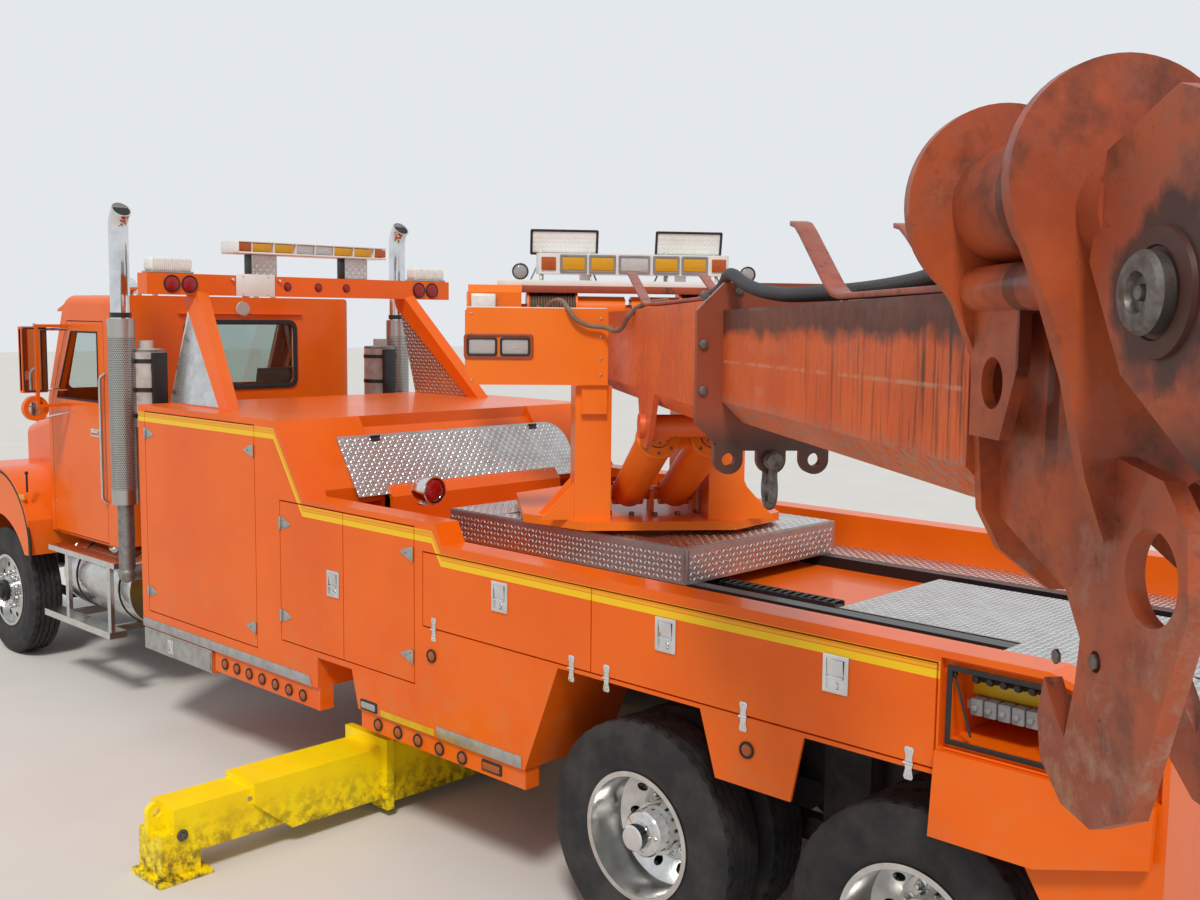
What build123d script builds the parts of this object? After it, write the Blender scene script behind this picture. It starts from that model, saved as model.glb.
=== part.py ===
# Heavy rotator tow truck: conventional day cab, tandem rear axles, steel tool bodies and a turret crane
# on a sliding carriage, shown with the turret turned to the left rear and both outriggers set down.
# Millimetres. +X forward, +Y to the truck's left, +Z up. Origin on the ground, on the centre line,
# below the first rear axle.
from build123d import *
from math import atan2, cos, degrees, hypot, radians, sin
import os

os.makedirs("parts", exist_ok=True)

LEFT, RIGHT = 1, -1
SIDES = (("left", LEFT), ("right", RIGHT))

# Running gear
FRONT_AXLE_X = 7080
REAR_AXLES = (("first_drive", 0), ("second_drive", -1370))
TYRE_R = 525
TYRE_W = 270
RIM_R = 286
RIM_FLANGE_R = 298
RIM_W = 240
FRONT_TRACK_Y = 1035
DUAL_MID_Y = 920
DUAL_PITCH = 330
KINGPIN_Y = 860
KINGPIN_R = 24
SPINDLE_R = 45
REAR_SPINDLE_R = 60
FIT = 0.05
SEAT = 0.3
MOVING_GAP = 6

# Chassis rails
RAIL_Y = 435
RAIL_FLANGE = 90
RAIL_T = 12
RAIL_BOTTOM = 700
RAIL_H = 270
RAIL_FRONT_X = 7980
RAIL_REAR_X = -2300
RAIL_TOP = RAIL_BOTTOM + RAIL_H

# Cab and hood
CAB_REAR_X = 5280
CAB_HALF_W = 1020
CAB_FLOOR_Z = 1100
CAB_ROOF_Z = 2960
CAB_WALL = 50
COWL_X = 6480
COWL_Z = 2140
SCREEN_RAKE = 310
VISOR_X = COWL_X - SCREEN_RAKE
VISOR_Z = CAB_ROOF_Z - 100
DOOR_REAR_X = CAB_REAR_X + 220
DOOR_FRONT_X = COWL_X - 70
DOOR_BOTTOM_Z = CAB_FLOOR_Z + 12
DOOR_TOP_Z = VISOR_Z - 100
HOOD_FRONT_X = 7930
HOOD_GAP = 12
HOOD_PIVOT_Z = 1000
FENDER_R = 640
ARCH_R = 600
FENDER_HALF_W = 1215
BUMPER_T = 60

# Tool bodies: one steel side body each side, stepping down towards the rear
BODY_HALF_W = 1285
BODY_DEPTH = 585
BODY_FRONT_X = 4450
BODY_REAR_X = -2320
TALL_TOP_Z = 2225
MID_TOP_Z = 1800
LOW_TOP_Z = 1695
TALL_REAR_X = 2770
MID_FRONT_X = 2490
MID_REAR_X = 1320
LOW_FRONT_X = 1260
BODY_BOTTOM_Z = 720
NOTCH_X = (2040, 2370)
NOTCH_TOP_Z = 900
ARCH_BOTTOM_Z = 1235
SKIRT_END_X = (640, 420)
DOOR_T = 30
SEAM = 8
DECK_Z = 1500
DECK_T = 30
BULWARK_T = 155
BULWARK_SKIN = 20

# Turret
CARRIAGE_X = (200, 1970)
CARRIAGE_HALF_W = 640
CARRIAGE_TOP_Z = 1738
TRACK_H = 62
TURRET_X = 1060
REST_HEADING = 140
TURRET_PLATE_T = 45
COLUMN_X = (360, 630)
COLUMN_Y = (255, 440)
COLUMN_TOP_Z = 2500
CHEEK_Y = (262, 302)
PIVOT_X = -450
PIVOT_Z = 2700
PIVOT_R = 55
REST_PITCH = 0.83

# Boom, along its own axis from the pivot
BASE_END = 3400
BASE_HALF_W = 215
BASE_H = 430
BOOM_WALL = 20
INNER_HALF_W = 170
INNER_H = 367
INNER_START = 2025
BOOM_BOTTOM = -266

# Outriggers
OUTRIGGER_X = 2200
STAGE_1 = (290, 300)
STAGE_2 = (236, 246)
BEAM_BOTTOM_Z = 100


def save(part, name):
    part.label = name
    export_step(part, f"parts/{name}.step")


def side_plane(y):
    """Plane of a fore-and-aft outline: sketch x is +X, sketch y is +Z, extruded towards -Y."""
    return Plane(origin=(0, y, 0), x_dir=(1, 0, 0), z_dir=(0, -1, 0))


def outline(points, mode=Mode.ADD):
    """Closed straight outline, placed by its own coordinates on the current sketch."""
    Polygon(*points, align=None, mode=mode)


# Wheels: profiles are (radius, offset along the axle), revolved about the axle
TYRE_PROFILE = (
    (RIM_R + SEAT, -TYRE_W * 0.40),
    (RIM_FLANGE_R + SEAT, -TYRE_W * 0.40),
    (335, -TYRE_W * 0.47),
    (410, -TYRE_W * 0.50),
    (485, -TYRE_W * 0.47),
    (TYRE_R, -TYRE_W * 0.37),
    (TYRE_R, TYRE_W * 0.37),
    (485, TYRE_W * 0.47),
    (410, TYRE_W * 0.50),
    (335, TYRE_W * 0.47),
    (RIM_FLANGE_R + SEAT, TYRE_W * 0.40),
    (RIM_R + SEAT, TYRE_W * 0.40),
)
RIM_BEAD = TYRE_W * 0.40 + SEAT
BARREL_T = 12
DISH_R = 180


def add_tyre(y):
    with BuildSketch(Plane.XY) as profile:
        outline([(r, y + w) for r, w in TYRE_PROFILE])
    revolve(profile.sketch, axis=Axis.Y)


def add_rim(y, disc_y, rim_y, disc_t, bore_r, hub_r, hub_y):
    """Barrel with two bead flanges, a disc dished from disc_y out to rim_y, and a hub drum over hub_y."""
    half = RIM_W / 2
    with BuildSketch(Plane.XY) as profile:
        outline(
            [
                (RIM_R - BARREL_T, y - half),
                (RIM_FLANGE_R, y - half),
                (RIM_FLANGE_R, y - RIM_BEAD),
                (RIM_R, y - RIM_BEAD),
                (RIM_R, y + RIM_BEAD),
                (RIM_FLANGE_R, y + RIM_BEAD),
                (RIM_FLANGE_R, y + half),
                (RIM_R - BARREL_T, y + half),
            ]
        )
        outline(
            [
                (bore_r, disc_y - disc_t / 2),
                (DISH_R, disc_y - disc_t / 2),
                (RIM_R - BARREL_T, rim_y - disc_t / 2),
                (RIM_R - BARREL_T, rim_y + disc_t / 2),
                (DISH_R, disc_y + disc_t / 2),
                (bore_r, disc_y + disc_t / 2),
            ]
        )
        outline([(bore_r, hub_y[0]), (hub_r, hub_y[0]), (hub_r, hub_y[1]), (bore_r, hub_y[1])])
    revolve(profile.sketch, axis=Axis.Y)


HAND_HOLES = 10
HAND_HOLE_R = 22
HAND_HOLE_CIRCLE = 212


def cut_hand_holes(y, depth):
    with BuildSketch(side_plane(y)) as holes:
        with PolarLocations(HAND_HOLE_CIRCLE, HAND_HOLES):
            Circle(HAND_HOLE_R)
    extrude(holes.sketch, amount=depth, both=True, mode=Mode.SUBTRACT)


FRONT_DISC_Y = FRONT_TRACK_Y + 70
for side, s in SIDES:
    wheel_at = Location((FRONT_AXLE_X, 0, TYRE_R))
    with BuildPart() as front_tyre:
        add_tyre(s * FRONT_TRACK_Y)
    save(front_tyre.part.moved(wheel_at), f"front_tyre_{side}")
    with BuildPart() as front_rim:
        hub_y = sorted((s * (FRONT_TRACK_Y - 95), s * (FRONT_DISC_Y + 40)))
        add_rim(s * FRONT_TRACK_Y, s * FRONT_DISC_Y, s * (FRONT_DISC_Y - 10), 22, SPINDLE_R + FIT, 110, hub_y)
        cut_hand_holes(s * FRONT_DISC_Y, 20)
        with Locations((0, s * (FRONT_DISC_Y + 55), 0)):
            Cylinder(85, 30, rotation=(90, 0, 0))
    save(front_rim.part.moved(wheel_at), f"front_rim_{side}")

REAR_DISC_T = 22
OUTER_TYRE_Y = DUAL_MID_Y + DUAL_PITCH / 2
INNER_TYRE_Y = DUAL_MID_Y - DUAL_PITCH / 2
REAR_HUB_END = DUAL_MID_Y + 150
for side, s in SIDES:
    for axle, axle_x in REAR_AXLES:
        wheel_at = Location((axle_x, 0, TYRE_R))
        with BuildPart() as dual_tyres:
            for y in (OUTER_TYRE_Y, INNER_TYRE_Y):
                add_tyre(s * y)
        save(dual_tyres.part.moved(wheel_at), f"{axle}_tyres_{side}")
        with BuildPart() as dual_rims:
            for y, step in ((OUTER_TYRE_Y, 1), (INNER_TYRE_Y, -1)):
                disc_y = DUAL_MID_Y + step * REAR_DISC_T / 2
                hub_y = sorted((s * (DUAL_MID_Y - 100), s * REAR_HUB_END))
                rim_y = y - step * (RIM_W / 2 - 25)
                add_rim(s * y, s * disc_y, s * rim_y, REAR_DISC_T, REAR_SPINDLE_R + FIT, 120, hub_y)
            cut_hand_holes(s * DUAL_MID_Y, 70)
            with Locations((0, s * (REAR_HUB_END + 12), 0)):
                Cylinder(105, 24, rotation=(90, 0, 0))
        save(dual_rims.part.moved(wheel_at), f"{axle}_rims_{side}")

# Front axle: a dropped I-beam on two leaf packs, with a steered knuckle at each end
BOSS_R = 48
BOSS_H = 110
AXLE_BEAM_Z = 430
SPRING_Y = 390
with BuildPart() as front_axle:
    with Locations((FRONT_AXLE_X, 0, AXLE_BEAM_Z)):
        Box(95, 2 * 640, 90)
        Box(110, 2 * 640, 60, mode=Mode.SUBTRACT)
        Box(30, 2 * 640, 90)
    for side, s in SIDES:
        with BuildSketch(Plane.YZ.offset(FRONT_AXLE_X - 47)):
            outline(
                [
                    (s * 640, AXLE_BEAM_Z - 45),
                    (s * (KINGPIN_Y - 80), TYRE_R - BOSS_H / 2),
                    (s * KINGPIN_Y, TYRE_R - BOSS_H / 2),
                    (s * KINGPIN_Y, TYRE_R + BOSS_H / 2),
                    (s * 640, AXLE_BEAM_Z + 45),
                ]
            )
        extrude(amount=94)
        with Locations((FRONT_AXLE_X, s * KINGPIN_Y, TYRE_R)):
            Cylinder(BOSS_R, BOSS_H)
            Cylinder(KINGPIN_R + FIT, BOSS_H + 200, mode=Mode.SUBTRACT)
        with Locations((FRONT_AXLE_X, s * SPRING_Y, AXLE_BEAM_Z + 45 + 32)):
            Box(700, 80, 64)
        with Locations((FRONT_AXLE_X, s * SPRING_Y, AXLE_BEAM_Z + 45 + 76)):
            Box(1500, 80, 24)
        for end in (-1, 1):
            hanger_z = AXLE_BEAM_Z + 45 + 64
            with Locations((FRONT_AXLE_X + end * 730, s * SPRING_Y, (hanger_z + RAIL_BOTTOM) / 2)):
                Box(60, 80, RAIL_BOTTOM - hanger_z)
save(front_axle.part, "front_axle")

YOKE_T = 28
for side, s in SIDES:
    with BuildPart() as knuckle:
        for end in (-1, 1):
            yoke_z = TYRE_R + end * (BOSS_H / 2 + MOVING_GAP + YOKE_T / 2)
            with Locations((FRONT_AXLE_X, s * KINGPIN_Y, yoke_z)):
                Cylinder(BOSS_R, YOKE_T)
            with Locations((FRONT_AXLE_X, s * (KINGPIN_Y + 35), yoke_z)):
                Box(2 * BOSS_R, 70, YOKE_T)
        with Locations((FRONT_AXLE_X, s * (KINGPIN_Y + 62), TYRE_R)):
            Box(2 * BOSS_R, 16, BOSS_H + 2 * MOVING_GAP + 2 * YOKE_T)
        with Locations((FRONT_AXLE_X, s * KINGPIN_Y, TYRE_R)):
            Cylinder(KINGPIN_R, BOSS_H + 2 * MOVING_GAP + 2 * YOKE_T)
        spindle_end = FRONT_DISC_Y + 30
        with Locations((FRONT_AXLE_X, s * (KINGPIN_Y + 70 + spindle_end) / 2, TYRE_R)):
            Cylinder(SPINDLE_R, spindle_end - KINGPIN_Y - 70, rotation=(90, 0, 0))
        with Locations((FRONT_AXLE_X - 110, s * (KINGPIN_Y + 30), TYRE_R - BOSS_H / 2 - 20)):
            Box(160, 34, YOKE_T)
    save(knuckle.part, f"knuckle_{side}")

# Rear axles: banjo housings on two walking beams
HOUSING_R = 78
BANJO_R = 215
BEAM_Y = 520
with BuildPart() as rear_axles:
    for axle, axle_x in REAR_AXLES:
        with Locations((axle_x, 0, TYRE_R)):
            Cylinder(HOUSING_R, 2 * 640, rotation=(90, 0, 0))
            Cylinder(REAR_SPINDLE_R, 2 * (REAR_HUB_END - 5), rotation=(90, 0, 0))
            Sphere(BANJO_R)
        with Locations((axle_x + 190, 0, TYRE_R + 30)):
            Cylinder(80, 240, rotation=(0, 90, 0))
    tandem_x = (REAR_AXLES[0][1] + REAR_AXLES[1][1]) / 2
    tandem_l = REAR_AXLES[0][1] - REAR_AXLES[1][1]
    for side, s in SIDES:
        with Locations((tandem_x, s * BEAM_Y, TYRE_R)):
            Box(tandem_l, 80, 110)
            Cylinder(110, 90, rotation=(90, 0, 0))
        with Locations((tandem_x, s * BEAM_Y, (TYRE_R + RAIL_TOP) / 2)):
            Box(240, 60, RAIL_TOP - TYRE_R)
        with Locations((tandem_x, s * (RAIL_Y + BEAM_Y) / 2, RAIL_BOTTOM + RAIL_H / 2)):
            Box(240, BEAM_Y - RAIL_Y - 2 * SEAT, 200)
save(rear_axles.part, "rear_axles")

# Chassis rails with cross-members, cab mounts, a stub for the outrigger guides, and a mud flap
# on a tube behind the rear wheels
CROSS_XS = (-2240, -685, 1500, 3100, 4700, 7700)
GUIDE_X = 120
FLAP_X = -2270
FLAP_TUBE_R = 25
FLAP_TUBE_END = 1230
FLAP_W, FLAP_H, FLAP_T = 560, 480, 10
with BuildPart() as chassis_frame:
    for side, s in SIDES:
        with BuildSketch(Plane.YZ.offset(RAIL_REAR_X)):
            with Locations((s * (RAIL_Y - RAIL_FLANGE / 2), RAIL_BOTTOM + RAIL_H / 2)):
                Rectangle(RAIL_FLANGE, RAIL_H)
            with Locations((s * (RAIL_Y - RAIL_T - RAIL_FLANGE / 2), RAIL_BOTTOM + RAIL_H / 2)):
                Rectangle(RAIL_FLANGE, RAIL_H - 2 * RAIL_T, mode=Mode.SUBTRACT)
        extrude(amount=RAIL_FRONT_X - RAIL_REAR_X)
    for x in CROSS_XS:
        with Locations((x, 0, RAIL_BOTTOM + RAIL_H - 60)):
            Box(100, 2 * (RAIL_Y - RAIL_T), 96)
    for x in (CAB_REAR_X + 120, COWL_X - 120):
        for side, s in SIDES:
            with Locations((x, s * (RAIL_Y - RAIL_FLANGE / 2), (RAIL_TOP + CAB_FLOOR_Z) / 2)):
                Box(120, RAIL_FLANGE, CAB_FLOOR_Z - RAIL_TOP)
    for side, s in SIDES:
        for end in (-1, 1):
            with Locations((OUTRIGGER_X + end * GUIDE_X, s * (RAIL_Y + 25), RAIL_BOTTOM + RAIL_H / 2)):
                Box(30, 50, RAIL_H)
        ear_x = HOOD_FRONT_X + SEAT + 12
        with Locations((ear_x, s * (RAIL_Y - RAIL_FLANGE / 2), (RAIL_TOP + HOOD_PIVOT_Z - 2) / 2)):
            Box(24, RAIL_FLANGE, HOOD_PIVOT_Z - 2 - RAIL_TOP)
        flap_z = RAIL_BOTTOM + RAIL_H / 2 - 15
        with Locations((FLAP_X, s * (RAIL_Y + FLAP_TUBE_END - 5) / 2, flap_z)):
            Cylinder(FLAP_TUBE_R, FLAP_TUBE_END - RAIL_Y + 5, rotation=(90, 0, 0))
        with Locations((FLAP_X, s * DUAL_MID_Y, flap_z - FLAP_H / 2)):
            Box(FLAP_T, FLAP_W, FLAP_H)
save(chassis_frame.part, "chassis_frame")

# Engine, gearbox and propeller shaft as one plain driveline
SHAFT_Z = 770
SHAFT_R = 50
with BuildPart() as driveline:
    with Locations((7050, 0, 1110)):
        Box(1060, 640, 900)
    for x in (6700, 7400):
        with Locations((x, 0, RAIL_TOP - 50)):
            Box(120, 2 * (RAIL_Y - RAIL_FLANGE - SEAT), 70)
    with Locations((6010, 0, 860)):
        Box(1020, 460, 380)
    with Locations(((5500 + 1900) / 2, 0, SHAFT_Z)):
        Cylinder(SHAFT_R, 5500 - 1900, rotation=(0, 90, 0))
    pinion = (310 + SEAT + SHAFT_R + 12, TYRE_R + 30)
    shaft_run = Edge.make_line((1900, 0, SHAFT_Z), (pinion[0], 0, pinion[1]))
    with BuildSketch(Plane(origin=shaft_run @ 0, z_dir=shaft_run % 0)):
        Circle(SHAFT_R)
    extrude(amount=shaft_run.length)
    with Locations((1900, 0, SHAFT_Z), (pinion[0], 0, pinion[1])):
        Sphere(SHAFT_R + 12)
    between = (REAR_AXLES[1][1] + 310 + SEAT, REAR_AXLES[0][1] - BANJO_R - SEAT)
    with Locations(((between[0] + between[1]) / 2, 0, pinion[1])):
        Cylinder(SHAFT_R, between[1] - between[0], rotation=(0, 90, 0))
save(driveline.part, "engine_and_driveline")

# Front bumper
with BuildPart() as front_bumper:
    with BuildSketch(Plane.XY.offset(470)):
        with BuildLine():
            Polyline(
                (RAIL_FRONT_X - 190, 1225),
                (RAIL_FRONT_X, 980),
                (RAIL_FRONT_X, -980),
                (RAIL_FRONT_X - 190, -1225),
                (RAIL_FRONT_X - 150, -1250),
                (RAIL_FRONT_X + BUMPER_T, -1000),
                (RAIL_FRONT_X + BUMPER_T, 1000),
                (RAIL_FRONT_X - 150, 1250),
                close=True,
            )
        make_face()
    extrude(amount=340)
save(front_bumper.part, "front_bumper")

# Fuel tanks with straps, steps and a bracket each side
TANK_R = 280
TANK_Y = 790
TANK_Z = 800
TANK_X = (5080, 6180)
with BuildPart() as fuel_tanks:
    for side, s in SIDES:
        with Locations(((TANK_X[0] + TANK_X[1]) / 2, s * TANK_Y, TANK_Z)):
            Cylinder(TANK_R, TANK_X[1] - TANK_X[0], rotation=(0, 90, 0))
        for x in (TANK_X[0] + 200, TANK_X[1] - 200):
            with Locations((x, s * TANK_Y, TANK_Z)):
                Cylinder(TANK_R + 8, 60, rotation=(0, 90, 0))
            with Locations((x, s * (RAIL_Y + 80), TANK_Z)):
                Box(60, 160 - 2 * SEAT, 220)
            with Locations((x, s * (TANK_Y + 190), TANK_Z - 290)):
                Box(50, 300, 50)
            with Locations((x, s * (TANK_Y + 330), TANK_Z - 50)):
                Box(50, 30, 530)
        with Locations(((TANK_X[0] + TANK_X[1]) / 2, s * (TANK_Y + 375), TANK_Z - 290)):
            Box(TANK_X[1] - TANK_X[0], 130, 50)
        with Locations(((TANK_X[0] + TANK_X[1]) / 2, s * (TANK_Y + 330), TANK_Z + 215)):
            Box(TANK_X[1] - TANK_X[0], 130, 40)
save(fuel_tanks.part, "fuel_tanks")

# Cab shell: hollow, windows and door openings cut through walls of one thickness
ROOF_BACK = 90
cab_outline = [
    (CAB_REAR_X, CAB_FLOOR_Z),
    (COWL_X, CAB_FLOOR_Z),
    (COWL_X, COWL_Z),
    (VISOR_X, VISOR_Z),
    (VISOR_X - ROOF_BACK, CAB_ROOF_Z),
    (CAB_REAR_X, CAB_ROOF_Z),
]
cab_inside = [
    (CAB_REAR_X + CAB_WALL, CAB_FLOOR_Z + CAB_WALL),
    (COWL_X - CAB_WALL, CAB_FLOOR_Z + CAB_WALL),
    (COWL_X - CAB_WALL, COWL_Z - 12),
    (VISOR_X - CAB_WALL, VISOR_Z - 30),
    (VISOR_X - ROOF_BACK - 20, CAB_ROOF_Z - CAB_WALL),
    (CAB_REAR_X + CAB_WALL, CAB_ROOF_Z - CAB_WALL),
]
door_outline = [
    (DOOR_REAR_X, DOOR_BOTTOM_Z),
    (DOOR_FRONT_X, DOOR_BOTTOM_Z),
    (DOOR_FRONT_X, COWL_Z - 20),
    (VISOR_X - 70, DOOR_TOP_Z),
    (DOOR_REAR_X, DOOR_TOP_Z),
]
window_outline = [
    (DOOR_REAR_X + 90, COWL_Z + 20),
    (DOOR_FRONT_X - 90, COWL_Z + 20),
    (DOOR_FRONT_X - 110, COWL_Z + 60),
    (VISOR_X - 130, DOOR_TOP_Z - 70),
    (DOOR_REAR_X + 90, DOOR_TOP_Z - 70),
]
REAR_WINDOW = (470, 2270, 2760)
SCREEN = (60, 900, 2230, 2790)
JAMB_T = 18
with BuildPart() as cab_shell:
    with BuildSketch(side_plane(CAB_HALF_W)):
        outline(cab_outline)
    extrude(amount=2 * CAB_HALF_W)
    roof_edges = cab_shell.edges().filter_by(Axis.X).filter_by_position(Axis.Z, CAB_ROOF_Z - 1, CAB_ROOF_Z + 1)
    rear_edges = cab_shell.edges().filter_by(Axis.Z).filter_by_position(Axis.X, CAB_REAR_X - 1, CAB_REAR_X + 1)
    fillet(roof_edges + rear_edges, 70)
    with BuildSketch(side_plane(CAB_HALF_W - CAB_WALL)):
        outline(cab_inside)
    extrude(amount=2 * (CAB_HALF_W - CAB_WALL), mode=Mode.SUBTRACT)
    with BuildSketch(side_plane(CAB_HALF_W + 10)):
        outline(door_outline)
        offset(amount=SEAM)
    extrude(amount=2 * (CAB_HALF_W + 10), mode=Mode.SUBTRACT)
    for side, s in SIDES:
        for jamb_lip, depth in ((-15, JAMB_T - SEAT), (SEAM, JAMB_T + 5)):
            base_y = CAB_HALF_W - CAB_WALL - JAMB_T
            with BuildSketch(side_plane(base_y + depth if s == LEFT else -base_y)):
                outline(door_outline)
                offset(amount=40)
                offset_outline = Polygon(*door_outline, align=None, mode=Mode.PRIVATE)
                add(offset(offset_outline, jamb_lip, mode=Mode.PRIVATE), mode=Mode.SUBTRACT)
            extrude(amount=depth)
    half, z0, z1 = REAR_WINDOW
    with BuildSketch(Plane.YZ.offset(CAB_REAR_X - 10)):
        with Locations((0, (z0 + z1) / 2)):
            RectangleRounded(2 * half, z1 - z0, 60)
    extrude(amount=CAB_WALL + 20, mode=Mode.SUBTRACT)
    y0, y1, z0, z1 = SCREEN
    with BuildSketch(Plane.YZ.offset(VISOR_X - 120)):
        for side, s in SIDES:
            with Locations((s * (y0 + y1) / 2, (z0 + z1) / 2)):
                RectangleRounded(y1 - y0, z1 - z0, 50)
    extrude(amount=600, mode=Mode.SUBTRACT)
    with BuildSketch(side_plane(CAB_HALF_W - 60)):
        outline(
            [
                (VISOR_X - 60, VISOR_Z + 40),
                (VISOR_X + 230, VISOR_Z - 25),
                (VISOR_X + 230, VISOR_Z - 10),
                (VISOR_X - 90, VISOR_Z + 98),
            ]
        )
    extrude(amount=2 * (CAB_HALF_W - 60))
save(cab_shell.part, "cab_shell")

GLASS_T = 8
with BuildPart() as cab_glass:
    half, z0, z1 = REAR_WINDOW
    with BuildSketch(Plane.YZ.offset(CAB_REAR_X + 20)):
        with Locations((0, (z0 + z1) / 2)):
            RectangleRounded(2 * half - 2 * SEAT, z1 - z0 - 2 * SEAT, 60 - SEAT)
    extrude(amount=GLASS_T)
save_glass = cab_glass.part
y0, y1, z0, z1 = SCREEN
with BuildPart() as screen_glass:
    with BuildSketch(side_plane(CAB_HALF_W)):
        outline(
            [
                (COWL_X - 30, COWL_Z),
                (COWL_X - 30 - GLASS_T, COWL_Z),
                (VISOR_X - 30 - GLASS_T, VISOR_Z),
                (VISOR_X - 30, VISOR_Z),
            ]
        )
    extrude(amount=2 * CAB_HALF_W)
    with BuildSketch(Plane.YZ.offset(VISOR_X - 120)):
        for side, s in SIDES:
            with Locations((s * (y0 + y1) / 2, (z0 + z1) / 2)):
                RectangleRounded(y1 - y0 - 2 * SEAT, z1 - z0 - 2 * SEAT, 50 - SEAT)
    extrude(amount=600, mode=Mode.INTERSECT)
save(save_glass + screen_glass.part, "cab_glass")

# Cab inside: two seats, dashboard and steering wheel on one column
with BuildPart() as cab_interior:
    floor_z = CAB_FLOOR_Z + CAB_WALL
    for side, s in SIDES:
        with Locations((5700, s * 480, floor_z + 210)):
            Box(420, 440, 420)
        with Locations((5700, s * 480, floor_z + 470)):
            Box(500, 500, 120)
        with Locations(Location((5480, s * 480, floor_z + 860), (0, -12, 0))):
            Box(130, 480, 760)
    with Locations((6330, 0, floor_z + 700)):
        Box(200 - 2 * SEAT, 2 * (CAB_HALF_W - CAB_WALL - 40), 420)
    with Locations((6330, 0, floor_z + 245)):
        Box(120, 300, 490)
    with Locations(Location((6150, 480, floor_z + 870), (0, 30, 0))):
        Cylinder(22, 260, rotation=(0, -60, 0))
        Torus(215, 16)
        Box(410, 40, 20)
save(cab_interior.part, "cab_interior")

# Cab doors with a window opening, each with its chrome mirrors on two arms
MIRROR_POST = (VISOR_X - 83, 1265)
MIRROR_Z = (2220, 2720)
ARM_Z = (2120, 2725)
ARM = 24
CONVEX_R = 95
for side, s in SIDES:
    with BuildPart() as cab_door:
        face_y = CAB_HALF_W if s == LEFT else -CAB_HALF_W + CAB_WALL
        with BuildSketch(side_plane(face_y)):
            outline(door_outline)
        extrude(amount=CAB_WALL)
        with BuildSketch(side_plane(face_y)):
            outline(window_outline)
        extrude(amount=CAB_WALL, mode=Mode.SUBTRACT)
        post_x, post_y = MIRROR_POST
        for arm_z in ARM_Z:
            with Locations((post_x, s * (CAB_HALF_W - 10 + post_y) / 2, arm_z)):
                Box(ARM, post_y - CAB_HALF_W + 10 + ARM, ARM)
        with Locations((post_x, s * post_y, sum(ARM_Z) / 2)):
            Box(ARM, ARM, ARM_Z[1] - ARM_Z[0])
        with Locations((post_x + 40, s * (post_y + 10), sum(MIRROR_Z) / 2)):
            Box(60, 190, MIRROR_Z[1] - MIRROR_Z[0])
        with Locations((post_x + 35, s * (post_y + 10), ARM_Z[0] - 20)):
            Cylinder(CONVEX_R, 50, rotation=(0, 90, 0))
    save(cab_door.part, f"cab_door_{side}")

# Hood: tapered nose and two front fenders as one shell, open below and over the wheels
HOOD_BASE_Z = 900
HOOD_REAR = (760, 2120)
HOOD_NOSE = (600, 1830)
HOOD_T = 30
FENDER_Z = TYRE_R + 400
NOSE_TOP_Z = 1510
GRILLE = (420, 1080, 1700)
LAMP = (1000, 150, 1180, 1350)


def fender_outline(inset):
    """Side view of a fender, inset by its wall."""
    rear_x = COWL_X + HOOD_GAP + inset
    with Locations((FRONT_AXLE_X, FENDER_Z)):
        Circle(FENDER_R - inset)
    with Locations(((FRONT_AXLE_X + HOOD_FRONT_X - inset) / 2, (HOOD_BASE_Z + NOSE_TOP_Z - inset) / 2)):
        Rectangle(HOOD_FRONT_X - inset - FRONT_AXLE_X, NOSE_TOP_Z - inset - HOOD_BASE_Z)
    with Locations((FRONT_AXLE_X, HOOD_BASE_Z - 500)):
        Rectangle(3000, 1000, mode=Mode.SUBTRACT)
    with Locations((rear_x - 500, 1500)):
        Rectangle(1000, 1500, mode=Mode.SUBTRACT)


with BuildPart() as hood:
    hood_rear_x = COWL_X + HOOD_GAP
    for plane_x, (half, top) in ((hood_rear_x, HOOD_REAR), (HOOD_FRONT_X, HOOD_NOSE)):
        with BuildSketch(Plane.YZ.offset(plane_x)):
            with Locations((0, (HOOD_BASE_Z + top) / 2)):
                RectangleRounded(2 * half, top - HOOD_BASE_Z, 90)
    loft()
    with BuildSketch(side_plane(FENDER_HALF_W)):
        fender_outline(0)
    extrude(amount=2 * FENDER_HALF_W)
    with BuildSketch(side_plane(FENDER_HALF_W - HOOD_T)):
        fender_outline(HOOD_T)
    extrude(amount=2 * (FENDER_HALF_W - HOOD_T), mode=Mode.SUBTRACT)
    for plane_x, (half, top) in ((hood_rear_x - 1, HOOD_REAR), (HOOD_FRONT_X - HOOD_T, HOOD_NOSE)):
        with BuildSketch(Plane.YZ.offset(plane_x)):
            with Locations((0, (HOOD_BASE_Z + top) / 2 - HOOD_T)):
                RectangleRounded(2 * (half - HOOD_T), top - HOOD_BASE_Z, 70)
    loft(mode=Mode.SUBTRACT)
    with Locations((FRONT_AXLE_X, 0, TYRE_R + 60)):
        Cylinder(ARCH_R, 2 * FENDER_HALF_W + 100, rotation=(90, 0, 0), mode=Mode.SUBTRACT)
    half, z0, z1 = GRILLE
    with Locations((HOOD_FRONT_X - HOOD_T / 2, 0, (z0 + z1) / 2)):
        Box(HOOD_T + 40, 2 * half, z1 - z0, mode=Mode.SUBTRACT)
    with Locations((HOOD_FRONT_X - HOOD_T / 2, 0, HOOD_BASE_Z + 40)):
        Box(HOOD_T + 40, 2 * RAIL_Y + 60, 2 * 40, mode=Mode.SUBTRACT)
save(hood.part, "hood")

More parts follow.
